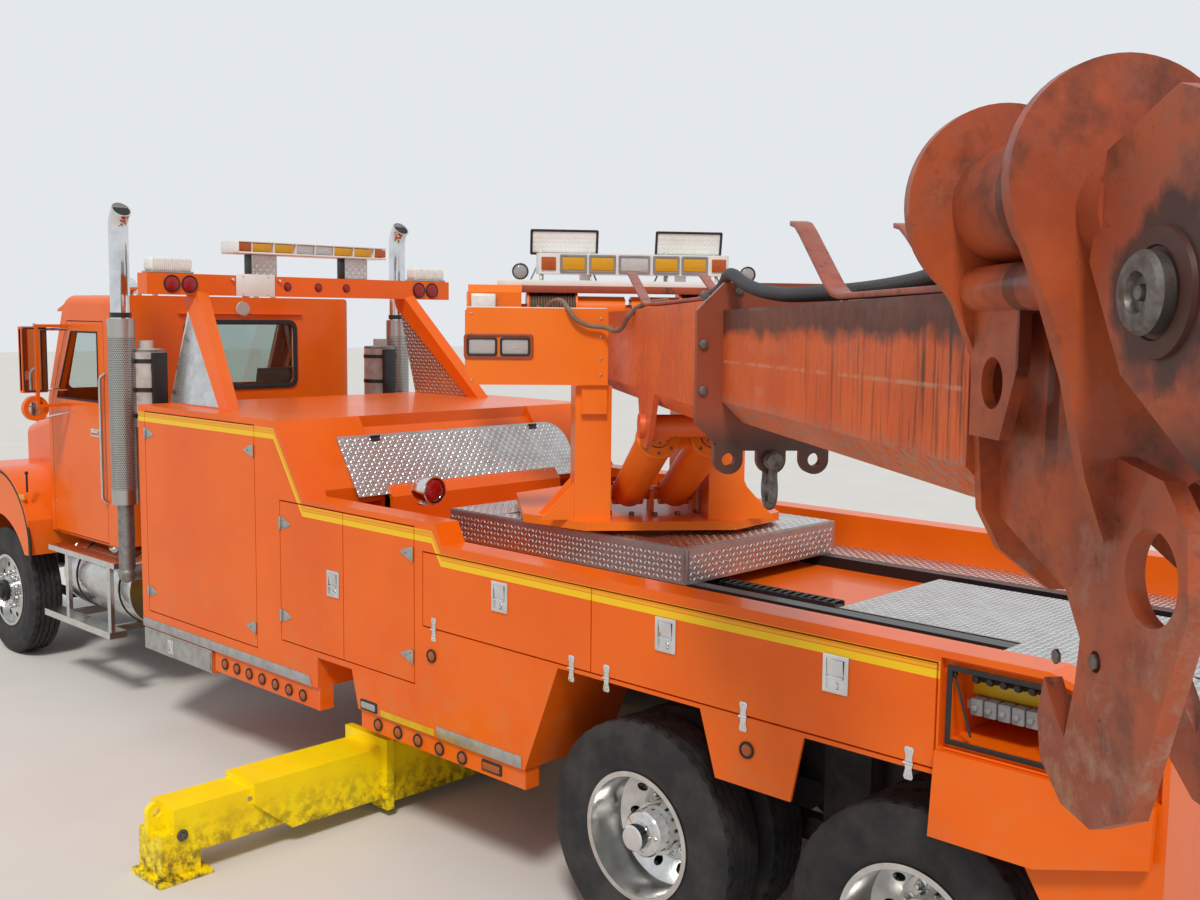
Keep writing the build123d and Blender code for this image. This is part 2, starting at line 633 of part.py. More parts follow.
# Grille: a frame of upright bars, with a rectangular headlamp in front of each fender
GRILLE_BARS = 13
with BuildPart() as grille:
    half, z0, z1 = GRILLE
    with Locations((HOOD_FRONT_X + SEAT + 15, 0, (z0 + z1) / 2)):
        Box(30, 2 * half + 80, z1 - z0 + 80)
        pitch_y = 2 * (half - 20) / GRILLE_BARS
        with GridLocations(0, pitch_y, 1, GRILLE_BARS):
            Box(40, pitch_y - 16, z1 - z0 - 40, mode=Mode.SUBTRACT)
    y0, half_y, z0, z1 = LAMP
    for side, s in SIDES:
        with Locations((HOOD_FRONT_X + SEAT + 20, s * y0, (z0 + z1) / 2)):
            Box(40, 2 * half_y, z1 - z0)
save(grille.part, "grille_and_headlamps")

# Side bodies: an outline extruded inwards, hollowed behind each door, over a stepped bulwark
CONTROL_DOOR = (-2290, -1525)
CONTROL_DOOR_PIVOT = (BODY_HALF_W + 5, 1344)
HINGE_R = 5
# The body and its control door slope down towards the rear end
REAR_SLOPE = (375, 110)
body_outline = [
    (BODY_FRONT_X, BODY_BOTTOM_Z),
    (BODY_FRONT_X, TALL_TOP_Z),
    (TALL_REAR_X, TALL_TOP_Z),
    (MID_FRONT_X, MID_TOP_Z),
    (MID_REAR_X, MID_TOP_Z),
    (LOW_FRONT_X, LOW_TOP_Z),
    (CONTROL_DOOR[0] + REAR_SLOPE[0], LOW_TOP_Z),
    (BODY_REAR_X, LOW_TOP_Z - REAR_SLOPE[1]),
    (BODY_REAR_X, 850),
    (-1950, 850),
    (-1800, 1100),
    (-1720, ARCH_BOTTOM_Z),
    (SKIRT_END_X[1], ARCH_BOTTOM_Z),
    (SKIRT_END_X[0], BODY_BOTTOM_Z - 30),
    (NOTCH_X[0] - 60, BODY_BOTTOM_Z - 30),
    (NOTCH_X[0], NOTCH_TOP_Z),
    (NOTCH_X[1], NOTCH_TOP_Z),
    (NOTCH_X[1], BODY_BOTTOM_Z),
]
# Tool doors: name, rear x, front x, bottom z, top z, hinge edge
TOOL_DOORS = (
    ("tall_door", 3010, 4355, 840, 2180, "front"),
    ("mid_door_front", 2116, 2735, 940, 1760, "front"),
    ("mid_door_rear", 1488, 2108, 940, 1760, "rear"),
    ("low_door_front", 214, 1410, 1260, 1640, "bottom"),
    ("low_door_rear", -1500, 206, 1260, 1640, "bottom"),
    ("control_door", *CONTROL_DOOR, 1350, 1660, "bottom"),
)
JAMB = 25


def tool_door_outline(name, x0, x1, z0, z1, grow=0):
    """Outline of a tool door or, grown by a seam, of its opening."""
    x0, x1, z0, z1 = x0 - grow, x1 + grow, z0 - grow, z1 + grow
    rear_top = [(x0, z1)]
    if name == "control_door":
        rear_top = [(x0 + REAR_SLOPE[0], z1), (x0, z1 - REAR_SLOPE[1])]
    outline([(x0, z0), (x1, z0), (x1, z1)] + rear_top)


for side, s in SIDES:
    with BuildPart() as body:
        outer_y = BODY_HALF_W if s == LEFT else -BODY_HALF_W + BODY_DEPTH
        with BuildSketch(side_plane(outer_y)):
            outline(body_outline)
        extrude(amount=BODY_DEPTH)
        low_inner = BODY_HALF_W - BULWARK_T
        inner_half = (BODY_DEPTH - BULWARK_T) / 2
        inner_y = s * (low_inner - inner_half)
        deck_cut = MID_FRONT_X - BODY_REAR_X + 40
        with Locations(((MID_FRONT_X + BODY_REAR_X) / 2, inner_y, DECK_Z + 400)):
            Box(deck_cut, 2 * inner_half, 800, mode=Mode.SUBTRACT)
        for name, x0, x1, z0, z1, edge in TOOL_DOORS:
            opening_face = BODY_HALF_W + SEAT if s == LEFT else -BODY_HALF_W + DOOR_T + SEAT
            with BuildSketch(side_plane(opening_face)):
                tool_door_outline(name, x0, x1, z0, z1, SEAM)
            extrude(amount=DOOR_T + 2 * SEAT, mode=Mode.SUBTRACT)
            top = min(z1 - JAMB, DECK_Z - JAMB) if x0 < MID_FRONT_X - 400 else z1 - JAMB
            room = BODY_DEPTH - DOOR_T - JAMB
            pocket_y = s * (BODY_HALF_W - DOOR_T - room / 2)
            with Locations(((x0 + x1) / 2, pocket_y, (z0 + JAMB + top) / 2)):
                Box(x1 - x0 - 2 * JAMB, room, top - z0 - JAMB, mode=Mode.SUBTRACT)
        # The control box is open up to its top in front of the bulwark's inner skin
        box_x = (CONTROL_DOOR[0] + REAR_SLOPE[0], CONTROL_DOOR[1] - JAMB)
        box_y = (BODY_HALF_W - BULWARK_T + BULWARK_SKIN, BODY_HALF_W - DOOR_T)
        box_z = (DECK_Z - 2 * JAMB, TOOL_DOORS[-1][4] - JAMB)
        with Locations((sum(box_x) / 2, s * sum(box_y) / 2, sum(box_z) / 2)):
            Box(box_x[1] - box_x[0], box_y[1] - box_y[0], box_z[1] - box_z[0], mode=Mode.SUBTRACT)
        pivot_y, pivot_z = CONTROL_DOOR_PIVOT
        hinge_x = (CONTROL_DOOR[0] + CONTROL_DOOR[1]) / 2
        hinge_l = CONTROL_DOOR[1] - CONTROL_DOOR[0] - 40
        with Locations((hinge_x, s * pivot_y, pivot_z)):
            Cylinder(HINGE_R, hinge_l, rotation=(0, 90, 0))
        with Locations((hinge_x, s * (pivot_y - 5), pivot_z - 7)):
            Box(hinge_l, 4, 10)
        # Lamp rails, drawer box and the plate between the rear wheels
        for x0, x1 in ((NOTCH_X[1], 3530), (650, NOTCH_X[0] - 70)):
            top = BODY_BOTTOM_Z if x0 == NOTCH_X[1] else BODY_BOTTOM_Z - 30
            with Locations(((x0 + x1) / 2, s * (BODY_HALF_W - 60), (top + 585) / 2)):
                Box(x1 - x0, 90, top - 585)
        with Locations((4000, s * (BODY_HALF_W - 200), (BODY_BOTTOM_Z + 560) / 2)):
            Box(890, 380, BODY_BOTTOM_Z - 560)
        with Locations((1080, s * (BODY_HALF_W - 40 - BODY_DEPTH / 2), 970)):
            Box(760, BODY_DEPTH, 480, mode=Mode.SUBTRACT)
        plate_y = BODY_HALF_W if s == LEFT else -BODY_HALF_W + 12
        with BuildSketch(side_plane(plate_y)):
            outline([(-425, ARCH_BOTTOM_Z), (-945, ARCH_BOTTOM_Z), (-889, 960), (-513, 960)])
        extrude(amount=12)
    save(body.part, f"body_{side}")

# Tool doors flush with the body side, the left control door folded down as parked
CONTROL_DOOR_OPEN = 175
for side, s in SIDES:
    for name, x0, x1, z0, z1, edge in TOOL_DOORS:
        with BuildPart() as tool_door:
            with BuildSketch(side_plane(BODY_HALF_W if s == LEFT else -BODY_HALF_W + DOOR_T)):
                tool_door_outline(name, x0, x1, z0, z1)
            extrude(amount=DOOR_T)
            if name == "control_door":
                pivot_y, pivot_z = CONTROL_DOOR_PIVOT
                leaf_z = pivot_z + HINGE_R + SEAT
                with Locations(((x0 + x1) / 2, s * (pivot_y - 2), leaf_z + 15)):
                    Box(x1 - x0 - 40, 8, 30)
        door = tool_door.part
        if name == "control_door" and s == LEFT:
            pivot_y, pivot_z = CONTROL_DOOR_PIVOT
            door = door.rotate(Axis((0, pivot_y, pivot_z), (1, 0, 0)), -CONTROL_DOOR_OPEN)
        save(door, f"{name}_{side}")

# Decks: front deck box with the slanted tool panel, rear deck with carriage tracks, on sub-beams
INNER_BODY_Y = BODY_HALF_W - BODY_DEPTH
TRACK_Y = 560
with BuildPart() as deck:
    with BuildSketch(side_plane(INNER_BODY_Y - SEAT)):
        outline(
            [
                (BODY_FRONT_X, DECK_Z - DECK_T),
                (BODY_FRONT_X, TALL_TOP_Z),
                (TALL_REAR_X, TALL_TOP_Z),
                (TALL_REAR_X, TALL_TOP_Z - 70),
                (MID_FRONT_X - 60, 1760),
                (MID_FRONT_X - 60, DECK_Z),
                (BODY_REAR_X, DECK_Z),
                (BODY_REAR_X, DECK_Z - DECK_T),
            ]
        )
        outline(
            [
                (BODY_FRONT_X - DECK_T, DECK_Z),
                (BODY_FRONT_X - DECK_T, TALL_TOP_Z - DECK_T),
                (TALL_REAR_X + DECK_T, TALL_TOP_Z - DECK_T),
                (TALL_REAR_X + DECK_T, TALL_TOP_Z - 85),
                (MID_FRONT_X - 60 + DECK_T, 1748),
                (MID_FRONT_X - 60 + DECK_T, DECK_Z),
            ],
            Mode.SUBTRACT,
        )
    extrude(amount=2 * (INNER_BODY_Y - SEAT))
    for side, s in SIDES:
        with Locations(((BODY_REAR_X + 2080) / 2, s * TRACK_Y, DECK_Z + TRACK_H / 2)):
            Box(2080 - BODY_REAR_X, 80, TRACK_H)
        with Locations(((BODY_FRONT_X + BODY_REAR_X) / 2, s * (RAIL_Y - RAIL_FLANGE / 2), (RAIL_TOP + DECK_Z) / 2)):
            Box(BODY_FRONT_X - BODY_REAR_X, RAIL_FLANGE, DECK_Z - RAIL_TOP)
save(deck.part, "deck")

# Exhaust stacks behind the cab: elbow, silencer, perforated shield and curved tip
STACK = (4860, 1190)
STACK_TOP_Z = 3420
SHIELD_Z = (1500, 2790)
PIPE_R = 56
TIP_BEND = 50
MUFFLER_Y = 1010
with BuildPart() as exhaust_stacks:
    for side, s in SIDES:
        x, y = STACK[0], s * STACK[1]
        with Locations((x, y, sum(SHIELD_Z) / 2)):
            Cylinder(88, SHIELD_Z[1] - SHIELD_Z[0])
        with Locations((x, y, (SHIELD_Z[1] + STACK_TOP_Z) / 2)):
            Cylinder(64, STACK_TOP_Z - SHIELD_Z[1])
        with BuildSketch(Plane.XY.offset(STACK_TOP_Z)):
            with Locations((x, y)):
                Circle(64)
        revolve(axis=Axis((x - 150, y, STACK_TOP_Z), (0, -1, 0)), revolution_arc=TIP_BEND)
        with Locations((x, y, (SHIELD_Z[0] + 1000) / 2)):
            Cylinder(PIPE_R, SHIELD_Z[0] - 1000)
        with Locations((x, y, 1000)):
            Sphere(PIPE_R + 8)
        with Locations((x, s * (STACK[1] + RAIL_Y) / 2, 1000)):
            Cylinder(PIPE_R, STACK[1] - RAIL_Y - 2 * SEAT, rotation=(90, 0, 0))
        with Locations((x, s * MUFFLER_Y, 2300)):
            Cylinder(125, 560)
        with Locations((x, s * MUFFLER_Y, 1530)):
            Box(90, 90, 1100)
save(exhaust_stacks.part, "exhaust_stacks")

# Light pylon: a box beam on two sloped side legs standing on the front deck
PYLON_X = (4300, 4430)
PYLON_Z = (2960, 3100)
PYLON_HALF_W = 1275
LEG_TOP_Y = 880
LEG_FOOT = (3600, 1050)
with BuildPart() as light_pylon:
    with Locations((sum(PYLON_X) / 2, 0, sum(PYLON_Z) / 2)):
        Box(PYLON_X[1] - PYLON_X[0], 2 * PYLON_HALF_W, PYLON_Z[1] - PYLON_Z[0])
    for side, s in SIDES:
        lean = degrees(atan2(LEG_FOOT[1] - LEG_TOP_Y, PYLON_Z[0] - TALL_TOP_Z))
        drop = hypot(LEG_FOOT[1] - LEG_TOP_Y, PYLON_Z[0] - TALL_TOP_Z)
        leg_up = (0, -s * sin(radians(lean)), cos(radians(lean)))
        foot = (0, s * LEG_FOOT[1], TALL_TOP_Z)
        leg_plane = Plane(origin=foot, x_dir=(1, 0, 0), z_dir=Vector(1, 0, 0).cross(Vector(*leg_up)))
        with BuildSketch(leg_plane):
            outline(
                [
                    (LEG_FOOT[0], -30),
                    (LEG_FOOT[0] + 110, -30),
                    (PYLON_X[1], drop - 60),
                    (PYLON_X[1], drop + 20),
                    (PYLON_X[0], drop + 20),
                ]
            )
        extrude(amount=45, both=True)
        with BuildSketch(leg_plane):
            outline([(LEG_FOOT[0] + 60, -30), (PYLON_X[1], -30), (PYLON_X[1], drop), (PYLON_X[0], drop)])
        extrude(amount=12, both=True)
    with Locations((4000, 0, TALL_TOP_Z + SEAT - 100)):
        Box(1200, 2 * BODY_HALF_W, 200, mode=Mode.SUBTRACT)
save(light_pylon.part, "light_pylon")

# Beacons: a light bar on two mounts and a strobe at each end of the pylon
with BuildPart() as beacons:
    top = PYLON_Z[1]
    x = sum(PYLON_X) / 2
    for y in (-620, 160):
        with Locations((x, y + 230, top + 75)):
            Box(110, 200, 150)
    with Locations((x, 0, top + 195)):
        Box(240, 1250, 90)
    for side, s in SIDES:
        with BuildSketch(Plane.XY.offset(top)):
            with Locations((x, s * 1090)):
                Rectangle(120, 320)
        extrude(amount=110, taper=8)
        for y in (1090, 1190):
            with Locations((PYLON_X[0] - 10, s * y, sum(PYLON_Z) / 2)):
                Cylinder(46, 20 - 2 * SEAT, rotation=(0, 90, 0))
save(beacons.part, "beacons")

# Carriage: tread-plate clad box on the deck tracks, with the slewing ring on top
CARRIAGE_BOTTOM_Z = DECK_Z + TRACK_H + SEAT
with BuildPart() as carriage:
    with Locations((sum(CARRIAGE_X) / 2, 0, (CARRIAGE_BOTTOM_Z + CARRIAGE_TOP_Z) / 2)):
        Box(CARRIAGE_X[1] - CARRIAGE_X[0], 2 * CARRIAGE_HALF_W, CARRIAGE_TOP_Z - CARRIAGE_BOTTOM_Z)
    for side, s in SIDES:
        with Locations((sum(CARRIAGE_X) / 2, s * (TRACK_Y - 62), DECK_Z + 38)):
            Box(1500, 30, 64)
save(carriage.part, "carriage")

# Turret pieces are modelled with the boom pointing along +X, then turned to their place
turret_at = Location((TURRET_X, 0, 0), (0, 0, REST_HEADING))
boom_at = turret_at * Location((PIVOT_X, 0, PIVOT_Z), (0, -REST_PITCH, 0))
RING_H = 30
RING_R = 520
PLATE_Z = CARRIAGE_TOP_Z + RING_H
PLATE_TOP = PLATE_Z + TURRET_PLATE_T
PLATE_HALF = 690
PLATE_CORNER = 300
LIFT_Y = 125
LIFT_BASE = (300, PLATE_TOP + 95)
LIFT_EYE = (1500, 2375)
LIFT_PIN_R = 35
with BuildPart() as turret:
    with BuildSketch(Plane.XY.offset(PLATE_Z)) as plate:
        Rectangle(2 * PLATE_HALF, 2 * PLATE_HALF)
        chamfer(plate.vertices(), PLATE_CORNER)
    extrude(amount=TURRET_PLATE_T)
    with Locations((0, 0, CARRIAGE_TOP_Z + (RING_H + SEAT) / 2)):
        Cylinder(RING_R, RING_H - SEAT)
    for side, s in SIDES:
        with Locations((sum(COLUMN_X) / 2, s * sum(COLUMN_Y) / 2, (PLATE_TOP + COLUMN_TOP_Z) / 2)):
            Box(COLUMN_X[1] - COLUMN_X[0], COLUMN_Y[1] - COLUMN_Y[0], COLUMN_TOP_Z - PLATE_TOP)
        cheek_face = CHEEK_Y[1] if s == LEFT else -CHEEK_Y[0]
        with BuildSketch(side_plane(cheek_face)):
            outline(
                [
                    (-660, PLATE_TOP),
                    (COLUMN_X[0] + 20, PLATE_TOP),
                    (COLUMN_X[0] + 20, 2250),
                    (PIVOT_X + 160, PIVOT_Z + 150),
                    (PIVOT_X - 230, PIVOT_Z + 150),
                ]
            )
        extrude(amount=CHEEK_Y[1] - CHEEK_Y[0])
        for gusset_x in (COLUMN_X[0] + 20, COLUMN_X[1] - 32):
            with BuildSketch(Plane.YZ.offset(gusset_x)):
                outline(
                    [
                        (s * COLUMN_Y[1], PLATE_TOP),
                        (s * (COLUMN_Y[1] + 170), PLATE_TOP),
                        (s * COLUMN_Y[1], PLATE_TOP + 190),
                    ]
                )
            extrude(amount=12)
    with Locations((PIVOT_X, 0, PIVOT_Z)):
        Cylinder(PIVOT_R, 2 * CHEEK_Y[1] + 60, rotation=(90, 0, 0))
    for y in (-LIFT_Y - 105, 0, LIFT_Y + 105):
        with Locations((LIFT_BASE[0], y, (PLATE_TOP + LIFT_BASE[1]) / 2 + 15)):
            Box(110, 24, LIFT_BASE[1] - PLATE_TOP + 30)
    with Locations((LIFT_BASE[0], 0, LIFT_BASE[1])):
        Cylinder(LIFT_PIN_R, 2 * (LIFT_Y + 110), rotation=(90, 0, 0))
save(turret_at * turret.part, "turret")

# Light panels: folded boxes with chamfered outer corners across the front of the turret
PANEL_Z = (2507, 2888)
PANEL_X = (600, 680)
PANEL_Y = (283, 997)
with BuildPart() as light_panels:
    for side, s in SIDES:
        with BuildSketch(Plane.YZ.offset(PANEL_X[0])):
            outline(
                [
                    (s * PANEL_Y[0], PANEL_Z[0]),
                    (s * (PANEL_Y[1] - 40), PANEL_Z[0]),
                    (s * PANEL_Y[1], PANEL_Z[0] + 70),
                    (s * PANEL_Y[1], PANEL_Z[1] - 15),
                    (s * (PANEL_Y[1] - 20), PANEL_Z[1]),
                    (s * PANEL_Y[0], PANEL_Z[1]),
                ]
            )
        extrude(amount=PANEL_X[1] - PANEL_X[0])
        with Locations((COLUMN_X[1] + SEAT + 15, s * sum(COLUMN_Y) / 2, 2440)):
            Box(30, 130, 160)
save(turret_at * light_panels.part, "light_panels")

# Winches: two rope drums behind the pivot on one shaft, each between a motor housing on its inner
# side and a closed gear box on a shelf outboard of the cheek
DRUM_X = -780
DRUM_Z = 2885
DRUM_R = 100
DRUM_FLANGE_R = 120
DRUM_Y = (318, 612)
MOTOR_R = 85
MOTOR_INNER_Y = 20
SHAFT_R = 35
SHELF_L = 330
SHELF_Y = (CHEEK_Y[1] + SEAT, 970)
SHELF_Z = (2715, 2735)
GEAR_BOX_Y = (655, SHELF_Y[1])
GEAR_BOX_X = (DRUM_X - 120, DRUM_X + 160)
GEAR_BOX_TOP = 3030
GEAR_BOX_BEVEL = 45
with BuildPart() as winches:
    with Locations((DRUM_X, 0, DRUM_Z)):
        Cylinder(SHAFT_R, 2 * GEAR_BOX_Y[0] + 20, rotation=(90, 0, 0))
    for side, s in SIDES:
        with Locations((DRUM_X, s * sum(DRUM_Y) / 2, DRUM_Z)):
            Cylinder(DRUM_R, DRUM_Y[1] - DRUM_Y[0], rotation=(90, 0, 0))
        for y in DRUM_Y:
            with Locations((DRUM_X, s * y, DRUM_Z)):
                Cylinder(DRUM_FLANGE_R, 14, rotation=(90, 0, 0))
        with Locations((DRUM_X, s * (MOTOR_INNER_Y + DRUM_Y[0]) / 2, DRUM_Z)):
            Cylinder(MOTOR_R, DRUM_Y[0] - MOTOR_INNER_Y, rotation=(90, 0, 0))
        with Locations((DRUM_X, s * sum(SHELF_Y) / 2, sum(SHELF_Z) / 2)):
            Box(SHELF_L, SHELF_Y[1] - SHELF_Y[0], SHELF_Z[1] - SHELF_Z[0])
        with Locations((DRUM_X + SHELF_L / 2 - 30, s * (SHELF_Y[0] + 14), SHELF_Z[0] - 60)):
            Box(60, 28, 120)
        box_face = GEAR_BOX_Y[1] if s == LEFT else -GEAR_BOX_Y[0]
        with BuildSketch(side_plane(box_face)):
            outline(
                [
                    (GEAR_BOX_X[0], SHELF_Z[1]),
                    (GEAR_BOX_X[1], SHELF_Z[1]),
                    (GEAR_BOX_X[1], GEAR_BOX_TOP - GEAR_BOX_BEVEL),
                    (GEAR_BOX_X[1] - GEAR_BOX_BEVEL, GEAR_BOX_TOP),
                    (GEAR_BOX_X[0], GEAR_BOX_TOP),
                ]
            )
        extrude(amount=GEAR_BOX_Y[1] - GEAR_BOX_Y[0])
save(turret_at * winches.part, "winches")

# Top rack: a shelf on the two gear boxes with a beam below its front edge, a light bar on two
# blocks and a tilted mirror on two posts at each side
RACK_L, RACK_HALF_W = 200, 790
RACK_Z = (GEAR_BOX_TOP + SEAT, GEAR_BOX_TOP + 30)
RACK_BEAM = 40
BAR_X, BAR_Y = DRUM_X + 20, 30
BAR_L, BAR_W = 1180, 150
BAR_Z = (3100, 3225)
MIRROR_Y, MIRROR_L, MIRROR_H = 385, 410, 150
MIRROR_Z = 3300
MIRROR_TILT = 15
with BuildPart() as top_rack:
    with Locations((DRUM_X, 0, sum(RACK_Z) / 2)):
        Box(RACK_L, 2 * RACK_HALF_W, RACK_Z[1] - RACK_Z[0])
    with Locations((DRUM_X + (RACK_L - RACK_BEAM) / 2, 0, RACK_Z[0] - RACK_BEAM / 2)):
        Box(RACK_BEAM, 2 * (GEAR_BOX_Y[0] - SEAT), RACK_BEAM)
    with BuildSketch(Plane.XY.offset(BAR_Z[0])):
        with Locations((BAR_X, BAR_Y)):
            RectangleRounded(BAR_W, BAR_L, BAR_W / 3)
    extrude(amount=BAR_Z[1] - BAR_Z[0])
    for side, s in SIDES:
        with Locations((BAR_X, BAR_Y + s * BAR_L / 4, (RACK_Z[1] + BAR_Z[0]) / 2)):
            Box(60, 60, BAR_Z[0] - RACK_Z[1])
        post_x = BAR_X - BAR_W / 2 - 15
        for y in (-MIRROR_L / 3, MIRROR_L / 3):
            with Locations((post_x, s * MIRROR_Y + y, (RACK_Z[1] + MIRROR_Z) / 2)):
                Box(20, 24, MIRROR_Z - RACK_Z[1])
        with Locations(Location((post_x + 12, s * MIRROR_Y, MIRROR_Z), (0, MIRROR_TILT, 0))):
            Box(24, MIRROR_L, MIRROR_H)
save(turret_at * top_rack.part, "top_rack")

# Lift cylinders: two barrels side by side on one pin, rods joined by a cross eye
lift_angle = degrees(atan2(LIFT_EYE[1] - LIFT_BASE[1], LIFT_EYE[0] - LIFT_BASE[0]))
lift_length = hypot(LIFT_EYE[1] - LIFT_BASE[1], LIFT_EYE[0] - LIFT_BASE[0])
lift_at = turret_at * Location((LIFT_BASE[0], 0, LIFT_BASE[1]), (0, -lift_angle, 0))
BARREL_R = 88
BARREL_END = 1105
BARREL_BORE_START = 95
ROD_R = 52
ROD_START = 140
ROD_EYE_R = 50
BRACKET_Y = (191, 215)
with BuildPart() as lift_barrels:
    for side, s in SIDES:
        with Locations(((BARREL_END + 50) / 2, s * LIFT_Y, 0)):
            Cylinder(BARREL_R, BARREL_END - 50, rotation=(0, 90, 0))
        with Locations((0, s * LIFT_Y, 0)):
            Cylinder(62, 160, rotation=(90, 0, 0))
            Cylinder(LIFT_PIN_R + FIT, 300, rotation=(90, 0, 0), mode=Mode.SUBTRACT)
        with Locations(((BARREL_BORE_START + BARREL_END) / 2, s * LIFT_Y, 0)):
            Cylinder(ROD_R + FIT, BARREL_END - BARREL_BORE_START, rotation=(0, 90, 0), mode=Mode.SUBTRACT)
    with Locations((BARREL_END - 60, 0, 0)):
        Box(60, 2 * LIFT_Y - 2 * BARREL_R + 20, 60)
save(lift_at * lift_barrels.part, "lift_barrels")

with BuildPart() as lift_rods:
    for side, s in SIDES:
        with Locations(((ROD_START + lift_length) / 2, s * LIFT_Y, 0)):
            Cylinder(ROD_R, lift_length - ROD_START, rotation=(0, 90, 0))
    with Locations((lift_length, 0, 0)):
        Cylinder(ROD_EYE_R, 2 * (BRACKET_Y[0] - MOVING_GAP), rotation=(90, 0, 0))
save(lift_at * lift_rods.part, "lift_rods")

# Boom base section: a hollow box with a bevelled belly, an end collar with its lugs, and the lift bracket
BELLY = 70
COLLAR_T = 40
COLLAR_HALF_W = 256
COLLAR_Z = (-329, 221)
LUG_HOLE_R = 22
LUG_R = 48
LUG_DROP = 30
PAD = 10


def boom_section(half_w, bottom, top):
    """Box section with a narrower belly, as an outline across the boom."""
    outline(
        [
            (-half_w, bottom + BELLY),
            (-half_w, top),
            (half_w, top),
            (half_w, bottom + BELLY),
            (half_w - BELLY, bottom),
            (-half_w + BELLY, bottom),
        ]
    )


BASE_TOP = BOOM_BOTTOM + BASE_H
INNER_BOTTOM = BOOM_BOTTOM + BOOM_WALL + PAD
INNER_TOP = INNER_BOTTOM + INNER_H
# Where the lift eye stands in the boom's own frame
eye_reach = LIFT_EYE[0] - PIVOT_X
eye_drop = LIFT_EYE[1] - PIVOT_Z
pitch = radians(REST_PITCH)
EYE_X = eye_reach * cos(pitch) + eye_drop * sin(pitch)
EYE_Z = -eye_reach * sin(pitch) + eye_drop * cos(pitch)
with BuildPart() as boom_base:
    with BuildSketch(Plane.YZ.offset(-PIVOT_R - 60)):
        boom_section(BASE_HALF_W, BOOM_BOTTOM, BASE_TOP)
    extrude(amount=BASE_END + PIVOT_R + 60)
    with BuildSketch(Plane.YZ.offset(BASE_END - COLLAR_T)) as collar:
        with Locations((0, sum(COLLAR_Z) / 2)):
            Rectangle(2 * COLLAR_HALF_W, COLLAR_Z[1] - COLLAR_Z[0])
        chamfer(collar.vertices(), 90)
    extrude(amount=COLLAR_T)
    with BuildSketch(Plane.YZ.offset(BASE_END)):
        boom_section(INNER_HALF_W + SEAT, INNER_BOTTOM - SEAT, INNER_TOP + SEAT)
    extrude(amount=-(BASE_END - PIVOT_R - 60), mode=Mode.SUBTRACT)
    with BuildSketch(Plane.YZ.offset(BASE_END - 80)):
        boom_section(INNER_HALF_W + PAD, INNER_BOTTOM - PAD, INNER_TOP + PAD)
    extrude(amount=-(BASE_END - 80 - PIVOT_R - 60), mode=Mode.SUBTRACT)
    Cylinder(PIVOT_R + FIT, 2 * BASE_HALF_W + 20, rotation=(90, 0, 0), mode=Mode.SUBTRACT)
    for y in (-145, 0, 145):
        lug_z = COLLAR_Z[0] - LUG_DROP
        with BuildSketch(Plane.YZ.offset(BASE_END - COLLAR_T)):
            with Locations((y, lug_z + LUG_DROP / 2 + 10)):
                Rectangle(2 * LUG_R, LUG_DROP + 20)
            with Locations((y, lug_z)):
                Circle(LUG_R)
                Circle(LUG_HOLE_R, mode=Mode.SUBTRACT)
        extrude(amount=COLLAR_T)
    for side, s in SIDES:
        cheek_face = BRACKET_Y[1] if s == LEFT else -BRACKET_Y[0]
        with BuildSketch(side_plane(cheek_face)):
            outline(
                [
                    (EYE_X - 250, BOOM_BOTTOM + BELLY + 60),
                    (EYE_X + 330, BOOM_BOTTOM + BELLY + 60),
                    (EYE_X + 110, EYE_Z - 60),
                    (EYE_X + 60, EYE_Z - 95),
                    (EYE_X - 60, EYE_Z - 95),
                    (EYE_X - 120, EYE_Z - 40),
                ]
            )
        extrude(amount=BRACKET_Y[1] - BRACKET_Y[0])
        with Locations((EYE_X, s * (BRACKET_Y[1] + 12), EYE_Z)):
            Cylinder(55, 24, rotation=(90, 0, 0))
save(boom_at * boom_base.part, "boom_base")

